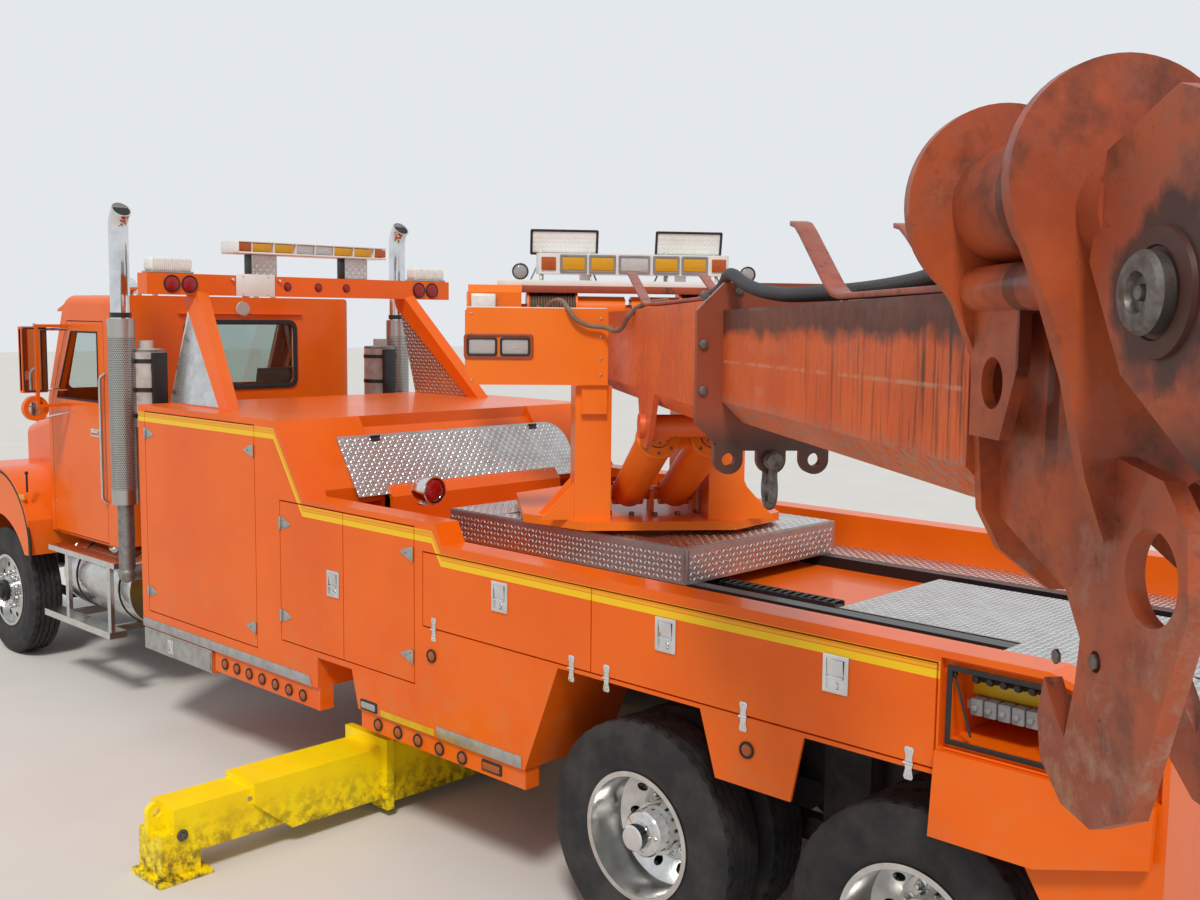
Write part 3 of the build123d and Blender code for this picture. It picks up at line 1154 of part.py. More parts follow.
# Boom inner section with the head: two flange plates across the boom, fairlead drums and small tubes
# between them, a pierced gusset below each small tube and two hook plates. Each flange outline is
# given as (half width, height) from its foot up to the fairlead circle.
HEAD_XS = (5440, 5825)
FLANGE_T = 25
FLANGE_R = 168
FLANGE_Y = 125
FLANGE_Z = 270
REAR_FLANGE = ((0, -375), (24, -375), (113, -307), (150, -238), (170, 20), (208, 111), (259, 176))
FRONT_FLANGE = ((0, -142), (135, -230), (167, -140), (197, -7), (238, 113), (270, 190))
FAIRLEAD_R = 95
SMALL_TUBE = (165, 132, 38)
GUSSET_T = 20
GUSSET_X = (HEAD_XS[0] + FLANGE_T, 5640)
GUSSET_HOLE = (5545, -20, 42)
HOOK_Y = 106
HOOK_T = 30
HOOK_HOLE = (5950, -262, 66)
with BuildPart() as boom_inner:
    with BuildSketch(Plane.YZ.offset(INNER_START)):
        boom_section(INNER_HALF_W, INNER_BOTTOM, INNER_TOP)
    extrude(amount=HEAD_XS[0] - INNER_START)
    with BuildSketch(Plane.YZ.offset(INNER_START)):
        boom_section(INNER_HALF_W - BOOM_WALL, INNER_BOTTOM + BOOM_WALL, INNER_TOP - BOOM_WALL)
    extrude(amount=HEAD_XS[0] - INNER_START - BOOM_WALL, mode=Mode.SUBTRACT)
    for x, edge in zip(HEAD_XS, (REAR_FLANGE, FRONT_FLANGE)):
        for side, s in SIDES:
            with BuildSketch(Plane.YZ.offset(x)):
                outline([(s * y, z) for y, z in edge] + [(0, edge[-1][1])])
                with Locations((s * FLANGE_Y, FLANGE_Z)):
                    Circle(FLANGE_R)
            extrude(amount=FLANGE_T)
    head_l = HEAD_XS[1] - HEAD_XS[0]
    for side, s in SIDES:
        with Locations((HEAD_XS[0] + head_l / 2, s * FLANGE_Y, FLANGE_Z)):
            Cylinder(FAIRLEAD_R, head_l, rotation=(0, 90, 0))
        tube_y, tube_z, tube_r = SMALL_TUBE
        with Locations((HEAD_XS[0] + head_l / 2, s * tube_y, tube_z)):
            Cylinder(tube_r, head_l, rotation=(0, 90, 0))
        gusset_face = s * tube_y + GUSSET_T / 2
        with BuildSketch(side_plane(gusset_face)):
            outline(
                [
                    (GUSSET_X[0] - 5, tube_z),
                    (GUSSET_X[1], tube_z),
                    (GUSSET_X[1], 10),
                    (GUSSET_X[1] - 60, -110),
                    (GUSSET_X[0] - 5, -110),
                ]
            )
            hole_x, hole_z, hole_r = GUSSET_HOLE
            with Locations((hole_x, hole_z)):
                Circle(hole_r, mode=Mode.SUBTRACT)
        extrude(amount=GUSSET_T)
        hook_face = HOOK_Y + HOOK_T / 2 if s == LEFT else -HOOK_Y + HOOK_T / 2
        with BuildSketch(side_plane(hook_face)):
            outline(
                [
                    (HEAD_XS[0] + 10, INNER_TOP - 40),
                    (HEAD_XS[1] + 10, INNER_TOP - 40),
                    (HEAD_XS[1] + 20, -110),
                    (5970, -130),
                    (6030, -190),
                    (6041, -299),
                    (5924, -603),
                    (5821, -655),
                    (5730, -650),
                    (5657, -604),
                    (5640, -540),
                    (5659, -473),
                    (5700, -520),
                    (5732, -547),
                    (5757, -460),
                    (5767, -386),
                    (5717, -324),
                    (HEAD_XS[0] + 10, -240),
                ]
            )
            hole_x, hole_z, hole_r = HOOK_HOLE
            with Locations((hole_x, hole_z)):
                Circle(hole_r, mode=Mode.SUBTRACT)
            with Locations((5815, -409)):
                Circle(16, mode=Mode.SUBTRACT)
        extrude(amount=HOOK_T)
save(boom_at * boom_inner.part, "boom_inner")

# Swivel heads: a sheave between two cheeks, carried by a short tube in front of each fairlead
CHEEK_T = 22
CHEEK_OFFSET = 54
SWIVEL_X = (HEAD_XS[1] + FLANGE_T + SEAT, 5912)
SWIVEL_Z = 225
SWIVEL_R = 72
SHEAVE_PIN = (6060, 109)
SHEAVE_PIN_R = 45
SHEAVE_R, SHEAVE_W = 120, 56
with BuildPart() as sheave_heads:
    for side, s in SIDES:
        for y in (FLANGE_Y - CHEEK_OFFSET, FLANGE_Y + CHEEK_OFFSET):
            with BuildSketch(side_plane(s * y + CHEEK_T / 2)):
                outline(
                    [
                        (5881, 155),
                        (5917, 297),
                        (6080, 353),
                        (6180, 320),
                        (6235, 200),
                        (6235, 20),
                        (6163, -103),
                        (5975, 8),
                    ]
                )
            extrude(amount=CHEEK_T)
        with Locations((SHEAVE_PIN[0], s * FLANGE_Y, SHEAVE_PIN[1])):
            Cylinder(SHEAVE_PIN_R, 2 * CHEEK_OFFSET + CHEEK_T + 30, rotation=(90, 0, 0))
            Cylinder(SHEAVE_R, SHEAVE_W, rotation=(90, 0, 0))
        with Locations((sum(SWIVEL_X) / 2, s * FLANGE_Y, SWIVEL_Z)):
            Cylinder(SWIVEL_R, SWIVEL_X[1] - SWIVEL_X[0], rotation=(0, 90, 0))
save(boom_at * sheave_heads.part, "sheave_heads")

# Outriggers: one lowering frame with a housing, and two telescoping box stages each side
HOUSING_HALF_Y = 1080
HOUSING_W, HOUSING_H = 340, 350
HOUSING_BOTTOM = BEAM_BOTTOM_Z - (HOUSING_H - STAGE_1[1]) / 2
SLIDE_GAP = 5
GUIDE_L = 50
with BuildPart() as outrigger_frame:
    with Locations((OUTRIGGER_X, 0, HOUSING_BOTTOM + HOUSING_H / 2)):
        Box(HOUSING_W, 2 * HOUSING_HALF_Y, HOUSING_H)
        Box(
            STAGE_1[0] + 2 * SLIDE_GAP,
            2 * (HOUSING_HALF_Y - GUIDE_L),
            STAGE_1[1] + 2 * SLIDE_GAP,
            mode=Mode.SUBTRACT,
        )
    for side, s in SIDES:
        with Locations((OUTRIGGER_X, s * (HOUSING_HALF_Y - GUIDE_L / 2), HOUSING_BOTTOM + HOUSING_H / 2)):
            Box(HOUSING_W + 60, GUIDE_L, HOUSING_H + 60)
            Box(STAGE_1[0] + 2 * SEAT, GUIDE_L + 10, STAGE_1[1] + 2 * SEAT, mode=Mode.SUBTRACT)
        post_h = 560
        with Locations((OUTRIGGER_X, s * (RAIL_Y + 28), HOUSING_BOTTOM + HOUSING_H + post_h / 2)):
            Box(2 * GUIDE_X - 30 - 2 * SEAT, 50, post_h)
save(outrigger_frame.part, "outrigger_frame")

STAGE_1_Y = (700, 1890)
STAGE_2_Y = (1150, 2330)
FOOT_Y = (2150, 2420)
PAD_T = 28
BEAM_Z = HOUSING_BOTTOM + HOUSING_H / 2
for side, s in SIDES:
    with BuildPart() as outrigger_stage:
        with Locations((OUTRIGGER_X, s * sum(STAGE_1_Y) / 2, BEAM_Z)):
            Box(STAGE_1[0], STAGE_1_Y[1] - STAGE_1_Y[0], STAGE_1[1])
            Box(STAGE_2[0] + 2 * SEAT, STAGE_1_Y[1] - STAGE_1_Y[0] + 20, STAGE_2[1] + 2 * SEAT, mode=Mode.SUBTRACT)
        with Locations((OUTRIGGER_X, s * (sum(STAGE_1_Y) / 2 - 4 * GUIDE_L), BEAM_Z)):
            Box(
                STAGE_2[0] + 2 * SLIDE_GAP,
                STAGE_1_Y[1] - STAGE_1_Y[0],
                STAGE_2[1] + 2 * SLIDE_GAP,
                mode=Mode.SUBTRACT,
            )
        with BuildSketch(Plane.YZ.offset(OUTRIGGER_X - STAGE_1[0])):
            bottom = BEAM_Z - STAGE_1[1] / 2
            outline(
                [
                    (s * (STAGE_1_Y[1] + 5), bottom - 5),
                    (s * (STAGE_1_Y[1] + 5), bottom + 190),
                    (s * (STAGE_1_Y[1] - 230), bottom - 5),
                ]
            )
        extrude(amount=2 * STAGE_1[0], mode=Mode.SUBTRACT)
    save(outrigger_stage.part, f"outrigger_stage_{side}")
    with BuildPart() as outrigger_foot:
        with Locations((OUTRIGGER_X, s * sum(STAGE_2_Y) / 2, BEAM_Z)):
            Box(STAGE_2[0], STAGE_2_Y[1] - STAGE_2_Y[0], STAGE_2[1])
        with BuildSketch(Plane.YZ.offset(OUTRIGGER_X - STAGE_2[0] / 2)):
            outline(
                [
                    (s * (FOOT_Y[0] + 40), PAD_T),
                    (s * (FOOT_Y[1] - 20), PAD_T),
                    (s * (FOOT_Y[1] - 20), BEAM_Z),
                    (s * STAGE_2_Y[1], BEAM_Z),
                    (s * (STAGE_2_Y[1] - 40), BEAM_Z - STAGE_2[1] / 2),
                    (s * (FOOT_Y[0] + 40), BEAM_Z - STAGE_2[1] / 2),
                ]
            )
        extrude(amount=STAGE_2[0])
        with Locations((OUTRIGGER_X, s * sum(FOOT_Y) / 2, PAD_T / 2)):
            Box(STAGE_2[0] + 60, FOOT_Y[1] - FOOT_Y[0] + 20, PAD_T)
        with BuildSketch(Plane.YZ.offset(OUTRIGGER_X - 18)):
            with Locations((s * (FOOT_Y[1] - 50), BEAM_Z + 30)):
                Rectangle(100, 130)
            with Locations((s * (FOOT_Y[1] - 50), BEAM_Z + 95)):
                Circle(50)
                Circle(24, mode=Mode.SUBTRACT)
        extrude(amount=36)
    save(outrigger_foot.part, f"outrigger_foot_{side}")
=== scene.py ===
# %% [markdown]
# # A heavy rotator tow truck
# The imported CAD model is the frame: its solids already stand at their real places, in metres, with +X
# to the front of the truck, +Y to its left and +Z up. This lesson gives each surface its real finish and
# adds what solids leave out: tyre tread, lamps, latches, tread-plate lugs, ropes, hoses and wear.
# The frame comes first. Nothing added here may make the truck bigger.

# %% Load the frame
from math import atan2, copysign, cos, hypot, pi, radians, sin

import bmesh
import bpy
from mathutils import Matrix, Vector


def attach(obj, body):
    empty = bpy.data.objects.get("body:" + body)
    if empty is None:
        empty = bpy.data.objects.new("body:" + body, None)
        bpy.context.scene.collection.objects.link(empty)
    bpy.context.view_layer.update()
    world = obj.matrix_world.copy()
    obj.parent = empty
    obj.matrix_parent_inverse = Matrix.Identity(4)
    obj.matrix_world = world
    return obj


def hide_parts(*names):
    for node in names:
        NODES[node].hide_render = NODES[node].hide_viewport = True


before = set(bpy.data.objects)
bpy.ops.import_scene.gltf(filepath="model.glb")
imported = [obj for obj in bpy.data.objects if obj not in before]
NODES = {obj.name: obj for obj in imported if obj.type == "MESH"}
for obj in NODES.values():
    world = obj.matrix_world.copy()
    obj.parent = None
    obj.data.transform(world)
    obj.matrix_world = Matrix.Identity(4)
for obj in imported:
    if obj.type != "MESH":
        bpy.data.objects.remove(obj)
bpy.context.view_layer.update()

# %% [markdown]
# ## The camera
# The photograph was taken by someone standing high at the left rear corner, just behind the boom's head.
# The camera stands where that person's eye was. Its axes are worked out from the heading, the downward
# tilt and a small roll, and the lens from the field of view, so that the truck fills the frame as it did.

# %% Camera
EYE = Vector((-3.7, 5.337, 2.864))
HEADING = radians(-46.338)
TILT_DOWN = radians(6.068)
ROLL = radians(0.661)
LENS_MM = 38.43

ahead = Vector(
    (cos(HEADING) * cos(TILT_DOWN), sin(HEADING) * cos(TILT_DOWN), -sin(TILT_DOWN))
)
level_right = ahead.cross(Vector((0, 0, 1))).normalized()
level_up = level_right.cross(ahead)
right = level_right * cos(ROLL) + level_up * sin(ROLL)
up = level_up * cos(ROLL) - level_right * sin(ROLL)
camera_data = bpy.data.cameras.new("camera")
camera_data.lens = LENS_MM
camera_data.sensor_width = 36
camera_data.sensor_fit = "HORIZONTAL"
camera_data.clip_start = 0.05
camera_data.clip_end = 300
camera = bpy.data.objects.new("camera", camera_data)
turn = Matrix((right, up, -ahead)).transposed().to_4x4()
camera.matrix_world = Matrix.Translation(EYE) @ turn
bpy.context.scene.collection.objects.link(camera)
bpy.context.scene.camera = camera
bpy.context.scene.view_settings.view_transform = "Standard"
print("camera at", tuple(round(v, 2) for v in EYE))

# %% [markdown]
# ## Colours and nodes
# Paint colours are written as sRGB hex values, as on a paint chip, while Blender's shaders count light,
# so one function turns them to linear. A second small function adds a shader node with its settings and
# links, and every finish below is built with it. Noise patterns have a real size: 1000 over millimetres.

# %% Colour and node helpers
def colour(chip):
    """The linear colour of an sRGB hex value such as "E2601F"."""
    channels = [int(chip[i : i + 2], 16) / 255 for i in (0, 2, 4)]
    return [c / 12.92 if c <= 0.04045 else ((c + 0.055) / 1.055) ** 2.4 for c in channels] + [1]


def node(tree, kind, *values, out=None, into=(), **settings):
    """A shader node. Its live inputs take the values in order, each a number, a vector, a hex colour or
    another node's output. into fills inputs by name, and settings are the node's own properties. It gives
    its first live output, or the one called out."""
    made = tree.nodes.new("ShaderNode" + kind)
    if kind == "Mix":
        made.data_type = "RGBA"
    for name, value in settings.items():
        setattr(made, name, value)
    live = [socket for socket in made.inputs if socket.enabled]
    named = [(made.inputs[name], value) for name, value in dict(into).items()]
    for socket, value in [*zip(live, values), *named]:
        if isinstance(value, bpy.types.NodeSocket):
            tree.links.new(value, socket)
        elif value is not None:
            socket.default_value = colour(value) if isinstance(value, str) else value
    return made.outputs[out] if out else next((o for o in made.outputs if o.enabled), None)


def finish_of(name, base, metallic=0.0, roughness=0.5, **sockets):
    """A new material with one Principled shader. It returns the material, its tree and the shader."""
    material = bpy.data.materials.new(name)
    material.use_nodes = True
    tree = material.node_tree
    shader = tree.nodes["Principled BSDF"]
    shader.inputs["Base Color"].default_value = colour(base)
    shader.inputs["Metallic"].default_value = metallic
    shader.inputs["Roughness"].default_value = roughness
    for socket, value in sockets.items():
        shader.inputs[socket.replace("_", " ")].default_value = value
    material.diffuse_color = colour(base)
    return material, tree, shader


def place_of(tree, turned=0.0, stretched=(1, 1, 1)):
    """The coordinates of the piece itself, in metres, turned about the upright by an angle in radians."""
    here = node(tree, "TexCoord", out="Object")
    return node(tree, "Mapping", here, None, (0, 0, turned), stretched)


def patches(tree, place, size_mm, detail, rough, low, high, *to):
    """Soft-edged patches about size_mm across: a noise carried from low..high to 0..1, or to two values."""
    return node(
        tree, "MapRange", node(tree, "TexNoise", place, 1000 / size_mm, detail, rough), low, high, *to
    )


def product(tree, *shares):
    """Several shares multiplied together."""
    total = shares[0]
    for share in shares[1:]:
        total = node(tree, "Math", total, share, operation="MULTIPLY")
    return total


def raised(tree, shader, height, depth_mm):
    """Raises the surface by a height from 0 to 1 that is depth_mm high on the real thing."""
    into = {"Strength": 1.0, "Distance": depth_mm / 1000, "Height": height}
    tree.links.new(node(tree, "Bump", into=into), shader.inputs["Normal"])


# %% [markdown]
# ## Studio light, floor and backdrop
# The light is plain and soft, at a level where a colour renders about as it is written: a pale sky all
# round and one wide, soft lamp from the left rear, where the sun stood. The sky that the camera, polished
# metal and glass see is a pale grey of strength 1, and never lights the truck more than that.

# %% Light and floor
world = bpy.data.worlds.new("studio")
world.use_nodes = True
bpy.context.scene.world = world
sky = world.node_tree
sky.nodes.clear()
SKY_LIGHT = 0.58
rays = node(sky, "LightPath").node.outputs
seen = node(sky, "Math", rays["Is Camera Ray"], rays["Is Glossy Ray"], operation="MAXIMUM")
seen = node(sky, "Math", seen, rays["Is Transmission Ray"], operation="MAXIMUM")
backdrop = node(sky, "Background", "E4E8EC", 1.0)
lighting = node(sky, "Background", "F4F7FC", SKY_LIGHT)
node(sky, "OutputWorld", node(sky, "MixShader", seen, lighting, backdrop))

sun_data = bpy.data.lights.new("soft_lamp", "SUN")
sun_data.energy = 2.1
sun_data.angle = radians(12)
sun_data.color = (1.0, 0.96, 0.9)
sun = bpy.data.objects.new("soft_lamp", sun_data)
SUN_FROM = Vector((-0.45, 0.55, 0.85))
sun.rotation_euler = (-SUN_FROM).to_track_quat("-Z", "Y").to_euler()
bpy.context.scene.collection.objects.link(sun)


def select_only(piece):
    """Makes one object the only selected and active one, because an operator acts on all that is selected."""
    bpy.ops.object.select_all(action="DESELECT")
    piece.select_set(True)
    bpy.context.view_layer.objects.active = piece


bpy.ops.object.select_all(action="DESELECT")
bpy.ops.mesh.primitive_plane_add(size=160, location=(0, 0, -0.002))
floor = bpy.context.object
floor.name = "floor"
bpy.ops.object.transform_apply(location=True)
concrete, tree, shader = finish_of("pale_studio_floor", "D5D3CE", roughness=0.85)
shade = node(tree, "TexNoise", place_of(tree), 1000 / 900, 4, 0.55)
tree.links.new(node(tree, "Mix", shade, "CFCDC8", "DBD9D5"), shader.inputs["Base Color"])
floor.data.materials.append(concrete)
print("light and floor made")

# %% [markdown]
# ## The truck's enamel
# The body is two-pack enamel in a strong orange, sprayed and clear-coated, so it has a deep gloss, a faint
# orange-peel ripple, and dust that dulls it lower down. The double yellow pinstripe is part of the paint:
# it follows the body's steps 75 mm below the top edge. It is worked out from the piece's own coordinates,
# so the stripe runs on over every door, and a door that opens takes its length of stripe with it.

# %% Orange enamel with its pinstripe
STRIPE_LINE = ((4.46, 2.148), (2.795, 2.148), (2.505, 1.727), (1.34, 1.727), (1.268, 1.618), (-2.4, 1.618))
STRIPE_END_X = -1.513
STRIPE_BANDS = ((-0.03, 0.0), (0.004, 0.016), (0.02, 0.032))


def band_mask(tree, distance, bands, soft=0.0008):
    """1 where a signed distance lies within any of the bands."""
    total = None
    for low, high in bands:
        middle = node(tree, "Math", distance, (low + high) / 2, operation="SUBTRACT")
        inside = node(
            tree, "MapRange", node(tree, "Math", middle, operation="ABSOLUTE"), (high - low) / 2 + soft,
            (high - low) / 2,
        )
        total = inside if total is None else node(tree, "Math", total, inside, operation="MAXIMUM")
    return total


def height_over(tree, x, line):
    """The height of a line of (x, z) points over each x, as a chain of straight ramps."""
    total = None
    for (x1, z1), (x0, z0) in zip(line, line[1:]):
        step = node(tree, "MapRange", x, x0, x1, 0.0, z1 - z0)
        total = step if total is None else node(tree, "Math", total, step, operation="ADD")
    return node(tree, "Math", total, line[-1][1], operation="ADD")


def enamel(name, base, deep, dust, coat=0.16, gloss=0.32):
    """Sprayed enamel: a slow drift in shade, fine orange peel, and dust that gathers low down."""
    material, tree, shader = finish_of(
        name, base, roughness=gloss, Coat_Weight=coat, Coat_Roughness=0.06, Specular_IOR_Level=0.24
    )
    place = place_of(tree)
    drift = node(tree, "TexNoise", place, 1000 / 700, 3, 0.55)
    paint = node(tree, "Mix", node(tree, "MapRange", drift, 0.35, 0.7), base, deep)
    height = node(tree, "SeparateXYZ", place, out="Z")
    low_down = node(tree, "MapRange", height, 1.5, 0.4, 0.0, 0.55)
    dusty = product(tree, low_down, patches(tree, place, 120, 5, 0.7, 0.45, 0.75))
    paint = node(tree, "Mix", dusty, paint, dust)
    tree.links.new(paint, shader.inputs["Base Color"])
    tree.links.new(node(tree, "MapRange", dusty, 0, 0.5, gloss, 0.6), shader.inputs["Roughness"])
    raised(tree, shader, node(tree, "TexNoise", place, 1000 / 9, 2, 0.55), 0.05)
    return material, tree, shader, place, paint


body_enamel, tree, shader, place, paint = enamel(
    "orange_enamel_with_pinstripe", "EE6808", "E35C05", "C08A5C"
)
axes = node(tree, "SeparateXYZ", place).node.outputs
over = height_over(tree, axes["X"], STRIPE_LINE)
away = node(tree, "Math", axes["Z"], over, operation="SUBTRACT")
stripe = band_mask(tree, away, STRIPE_BANDS)
side_only = node(tree, "MapRange", node(tree, "Math", axes["Y"], operation="ABSOLUTE"), 1.268, 1.272)
stripe = product(tree, stripe, side_only)
stripe = product(tree, stripe, node(tree, "MapRange", axes["X"], STRIPE_END_X - 0.001, STRIPE_END_X))
wide = node(tree, "MapRange", away, -0.001, 0.001)
tree.links.new(
    node(tree, "Mix", stripe, paint, node(tree, "Mix", wide, "F2C414", "E9A91C")),
    shader.inputs["Base Color"],
)

cab_enamel = enamel("orange_cab_enamel", "EC6912", "E35F0E", "C48E60")[0]
deck_enamel, tree, shader, place, paint = enamel(
    "orange_deck_enamel_with_black_rails", "EC6912", "E35F0E", "C48E60"
)
axes = node(tree, "SeparateXYZ", place).node.outputs
rail = band_mask(tree, node(tree, "Math", axes["Y"], operation="ABSOLUTE"), ((0.518, 0.602),))
rail = product(tree, rail, node(tree, "MapRange", axes["Z"], 1.501, 1.503))
rail = product(tree, rail, node(tree, "MapRange", axes["Z"], 1.57, 1.568))
tree.links.new(node(tree, "Mix", rail, paint, "1F1E1E"), shader.inputs["Base Color"])
crane_enamel = enamel("orange_crane_enamel", "F37A20", "EA6C14", "C69064", coat=0.15, gloss=0.36)[0]

# %% [markdown]
# ## Worn crane paint
# The boom and its head do the work, so their paint is brush-touched, chipped to rust along the edges,
# dulled to a salmon brown on the plates, and black with grease where ropes rub. The wear is noise of a few
# real sizes: 14 mm chips, 60 mm scuffs and 260 mm faded patches. Bare edges come from the Pointiness of
# a mesh only in Cycles and only on dense meshes, so scratches are drawn instead as stretched noise.

# %% Worn paint of the boom and its head
TURNED = radians(-140)


def worn_paint(name, base, faded, rust, grease, rust_from, streaks, along=(1, 1, 1), gloss=0.42):
    """Old enamel with faded patches, rust chips, rust stains and grease streaks that run down."""
    material, tree, shader = finish_of(name, base, roughness=gloss, Coat_Weight=0.15, Coat_Roughness=0.2)
    place = place_of(tree, TURNED, along)
    fade = patches(tree, place, 260, 4, 0.6, 0.42, 0.66)
    paint = node(tree, "Mix", fade, base, faded)
    scuff = patches(tree, place, 60, 5, 0.7, 0.5, 0.72)
    paint = node(tree, "Mix", product(tree, scuff, 0.45), paint, rust)
    chips = product(
        tree, node(tree, "TexNoise", place, 1000 / 14, 4, 0.75),
        patches(tree, place, 190, 3, 0.55, 0.3, 0.7),
    )
    chipped = node(tree, "MapRange", chips, rust_from, rust_from + 0.05)
    paint = node(tree, "Mix", chipped, paint, "3A211A")
    down = place_of(tree, TURNED, (1, 1, 0.07))
    streaky = patches(tree, down, 22, 4, 0.65, 0.52, 0.68)
    where = patches(tree, place_of(tree, TURNED, (1, 1, 0.35)), 420, 2, 0.55, 0.46, 0.62)
    grimy = product(tree, product(tree, streaky, where), streaks)
    paint = node(tree, "Mix", grimy, paint, grease)
    tree.links.new(paint, shader.inputs["Base Color"])
    tree.links.new(
        node(tree, "MapRange", node(tree, "Math", chipped, scuff, operation="ADD"), 0, 1, gloss, 0.75),
        shader.inputs["Roughness"],
    )
    relief = node(
        tree, "Math", node(tree, "TexNoise", place, 1000 / 8, 3, 0.55), chipped, operation="SUBTRACT"
    )
    raised(tree, shader, relief, 0.25)
    return material


boom_paint = worn_paint("worn_boom_enamel", "E2601C", "D5521C", "9A4A2E", "2E211C", 0.52, 0.6)
lug_paint = worn_paint("dark_collar_enamel", "A34420", "8E3F27", "6E3628", "251814", 0.45, 0.5)

# %% [markdown]
# The inner boom slides in the outer one, so its upper band is black with grease, drips run down its side
# near the head, a pale weld line lies at mid height and its lower bevel is scraped bare. The head at its
# end is darker than the boom, as painted shade over the same enamel, and knocked about by chains: brick
# red, brown on the plates, pale where hooks have rubbed. The coordinates are turned along the boom, so
# each mark lies where it is on the real boom.

# %% The inner boom and its head
BOOM_SHIFT = (1.262, 0.681)
HEAD_PIN = (6.06, 0.109)
PIVOT_Z, BOOM_RISE = 2.7, 0.01449


def boom_axes(tree):
    """How far a point lies along the boom, across it and over its axis, in metres."""
    turned = node(tree, "SeparateXYZ", place_of(tree, TURNED)).node.outputs
    along = node(tree, "Math", turned["X"], BOOM_SHIFT[0], operation="ADD")
    across = node(tree, "Math", turned["Y"], BOOM_SHIFT[1], operation="ADD")
    over = node(tree, "Math", turned["Z"], PIVOT_Z, operation="SUBTRACT")
    return along, across, node(tree, "Math", over, product(tree, along, BOOM_RISE), operation="SUBTRACT")


COLLAR_X = 3.355
tree = boom_paint.node_tree
shader = tree.nodes["Principled BSDF"]
paint = shader.inputs["Base Color"].links[0].from_socket
along, across, over = boom_axes(tree)
collar = node(tree, "MapRange", along, COLLAR_X, COLLAR_X + 0.002)
dark = node(tree, "Mix", node(tree, "MapRange", over, -0.2, -0.3), "8A3C20", "4A2318")
tree.links.new(node(tree, "Mix", collar, paint, dark), shader.inputs["Base Color"])


def shaded_knocked_head(tree, place, along, over):
    """The colour of the head's plates: brick red and brown darkened as painted shade, pale where rubbed, with
    dark grime and chips.
    """
    paint = node(tree, "Mix", patches(tree, place, 260, 4, 0.6, 0.4, 0.6), "B4542C", "94432A")
    worn = product(
        tree, patches(tree, place, 130, 6, 0.75, 0.52, 0.66),
        node(tree, "MapRange", over, -0.1, -0.45, 0.25, 1.0),
    )
    paint = node(tree, "Mix", worn, paint, "A8745C")
    grime = product(tree, patches(tree, place, 200, 5, 0.7, 0.5, 0.66), 0.75)
    paint = node(tree, "Mix", grime, paint, "4A2A20")
    chips = patches(tree, place, 24, 5, 0.8, 0.66, 0.7)
    return node(tree, "Mix", product(tree, chips, 0.8), paint, "2C1B17")


inner_boom_paint, tree, shader = finish_of(
    "streaked_inner_boom_enamel", "E0602A", roughness=0.4, Coat_Weight=0.15, Specular_IOR_Level=0.35
)
place = place_of(tree, TURNED)
along, across, over = boom_axes(tree)
paint = node(tree, "Mix", patches(tree, place, 300, 4, 0.55, 0.4, 0.65), "E46526", "D2561F")
streak = patches(tree, place_of(tree, TURNED, (1, 1, 0.05)), 16, 4, 0.65, 0.5, 0.64)
wet = product(
    tree, node(tree, "MapRange", along, 4.1, 5.0, 0.1, 0.95),
    node(tree, "MapRange", over, -0.24, -0.02, 0.35, 1.0),
)
paint = node(tree, "Mix", product(tree, streak, wet), paint, "38231B")
ragged = node(
    tree, "Math", over,
    product(tree, node(tree, "TexNoise", place_of(tree, TURNED, (0.3, 1, 1)), 1000 / 90, 4, 0.55), 0.1),
    operation="ADD",
)
paint = node(tree, "Mix", node(tree, "MapRange", ragged, 0.085, 0.12, 0.0, 0.92), paint, "3A2923")
weld = node(
    tree, "MapRange",
    node(tree, "Math", node(tree, "Math", over, 0.035, operation="ADD"), operation="ABSOLUTE"), 0.006,
    0.002,
)
paint = node(
    tree, "Mix", product(tree, weld, patches(tree, place, 70, 3, 0.55, 0.4, 0.6), 0.55), paint, "D0A78C"
)
scraped = patches(tree, place_of(tree, TURNED, (0.08, 1, 1)), 14, 5, 0.7, 0.46, 0.56)
scraped = product(tree, scraped, node(tree, "MapRange", over, -0.135, -0.17))
paint = node(tree, "Mix", product(tree, scraped, 0.85), paint, "98857A")
# The head's end takes the darker head colour: painted shade, with real wear and grime on it.
at_head = node(tree, "MapRange", along, 5.435, 5.44)
paint = node(tree, "Mix", at_head, paint, shaded_knocked_head(tree, place, along, over))
in_shade = product(
    tree, node(tree, "MapRange", along, 5.628, 5.632), node(tree, "MapRange", along, 5.674, 5.67),
    node(tree, "MapRange", over, -0.16, -0.1),
)
paint = node(tree, "Mix", product(tree, in_shade, 0.8), paint, "4A1D13")
tree.links.new(paint, shader.inputs["Base Color"])
tree.links.new(patches(tree, place, 60, 4, 0.55, 0.3, 0.7, 0.34, 0.62), shader.inputs["Roughness"])
raised(tree, shader, node(tree, "TexNoise", place, 1000 / 10, 4, 0.55), 0.2)

# Painted shade: the head's enamel is darker than the boom's over the same orange paint.
head_paint, tree, shader = finish_of("knocked_head_enamel", "A9502F", roughness=0.48, Specular_IOR_Level=0.4)
place = place_of(tree, TURNED)
along, across, over = boom_axes(tree)
paint = shaded_knocked_head(tree, place, along, over)
dx = node(tree, "Math", along, HEAD_PIN[0], operation="SUBTRACT")
dz = node(tree, "Math", over, HEAD_PIN[1], operation="SUBTRACT")
reach = node(
    tree, "Math", node(tree, "Math", product(tree, dx, dx), product(tree, dz, dz), operation="ADD"),
    operation="SQRT",
)
greasy = node(
    tree, "MapRange",
    node(
        tree, "Math", reach, product(tree, node(tree, "TexNoise", place, 1000 / 80, 4, 0.55), 0.16),
        operation="ADD",
    ),
    0.175, 0.205, 1.0, 0.0,
)
low_left = product(
    tree, node(tree, "MapRange", over, -0.02, -0.09), node(tree, "MapRange", along, 6.02, 6.1), 0.85
)
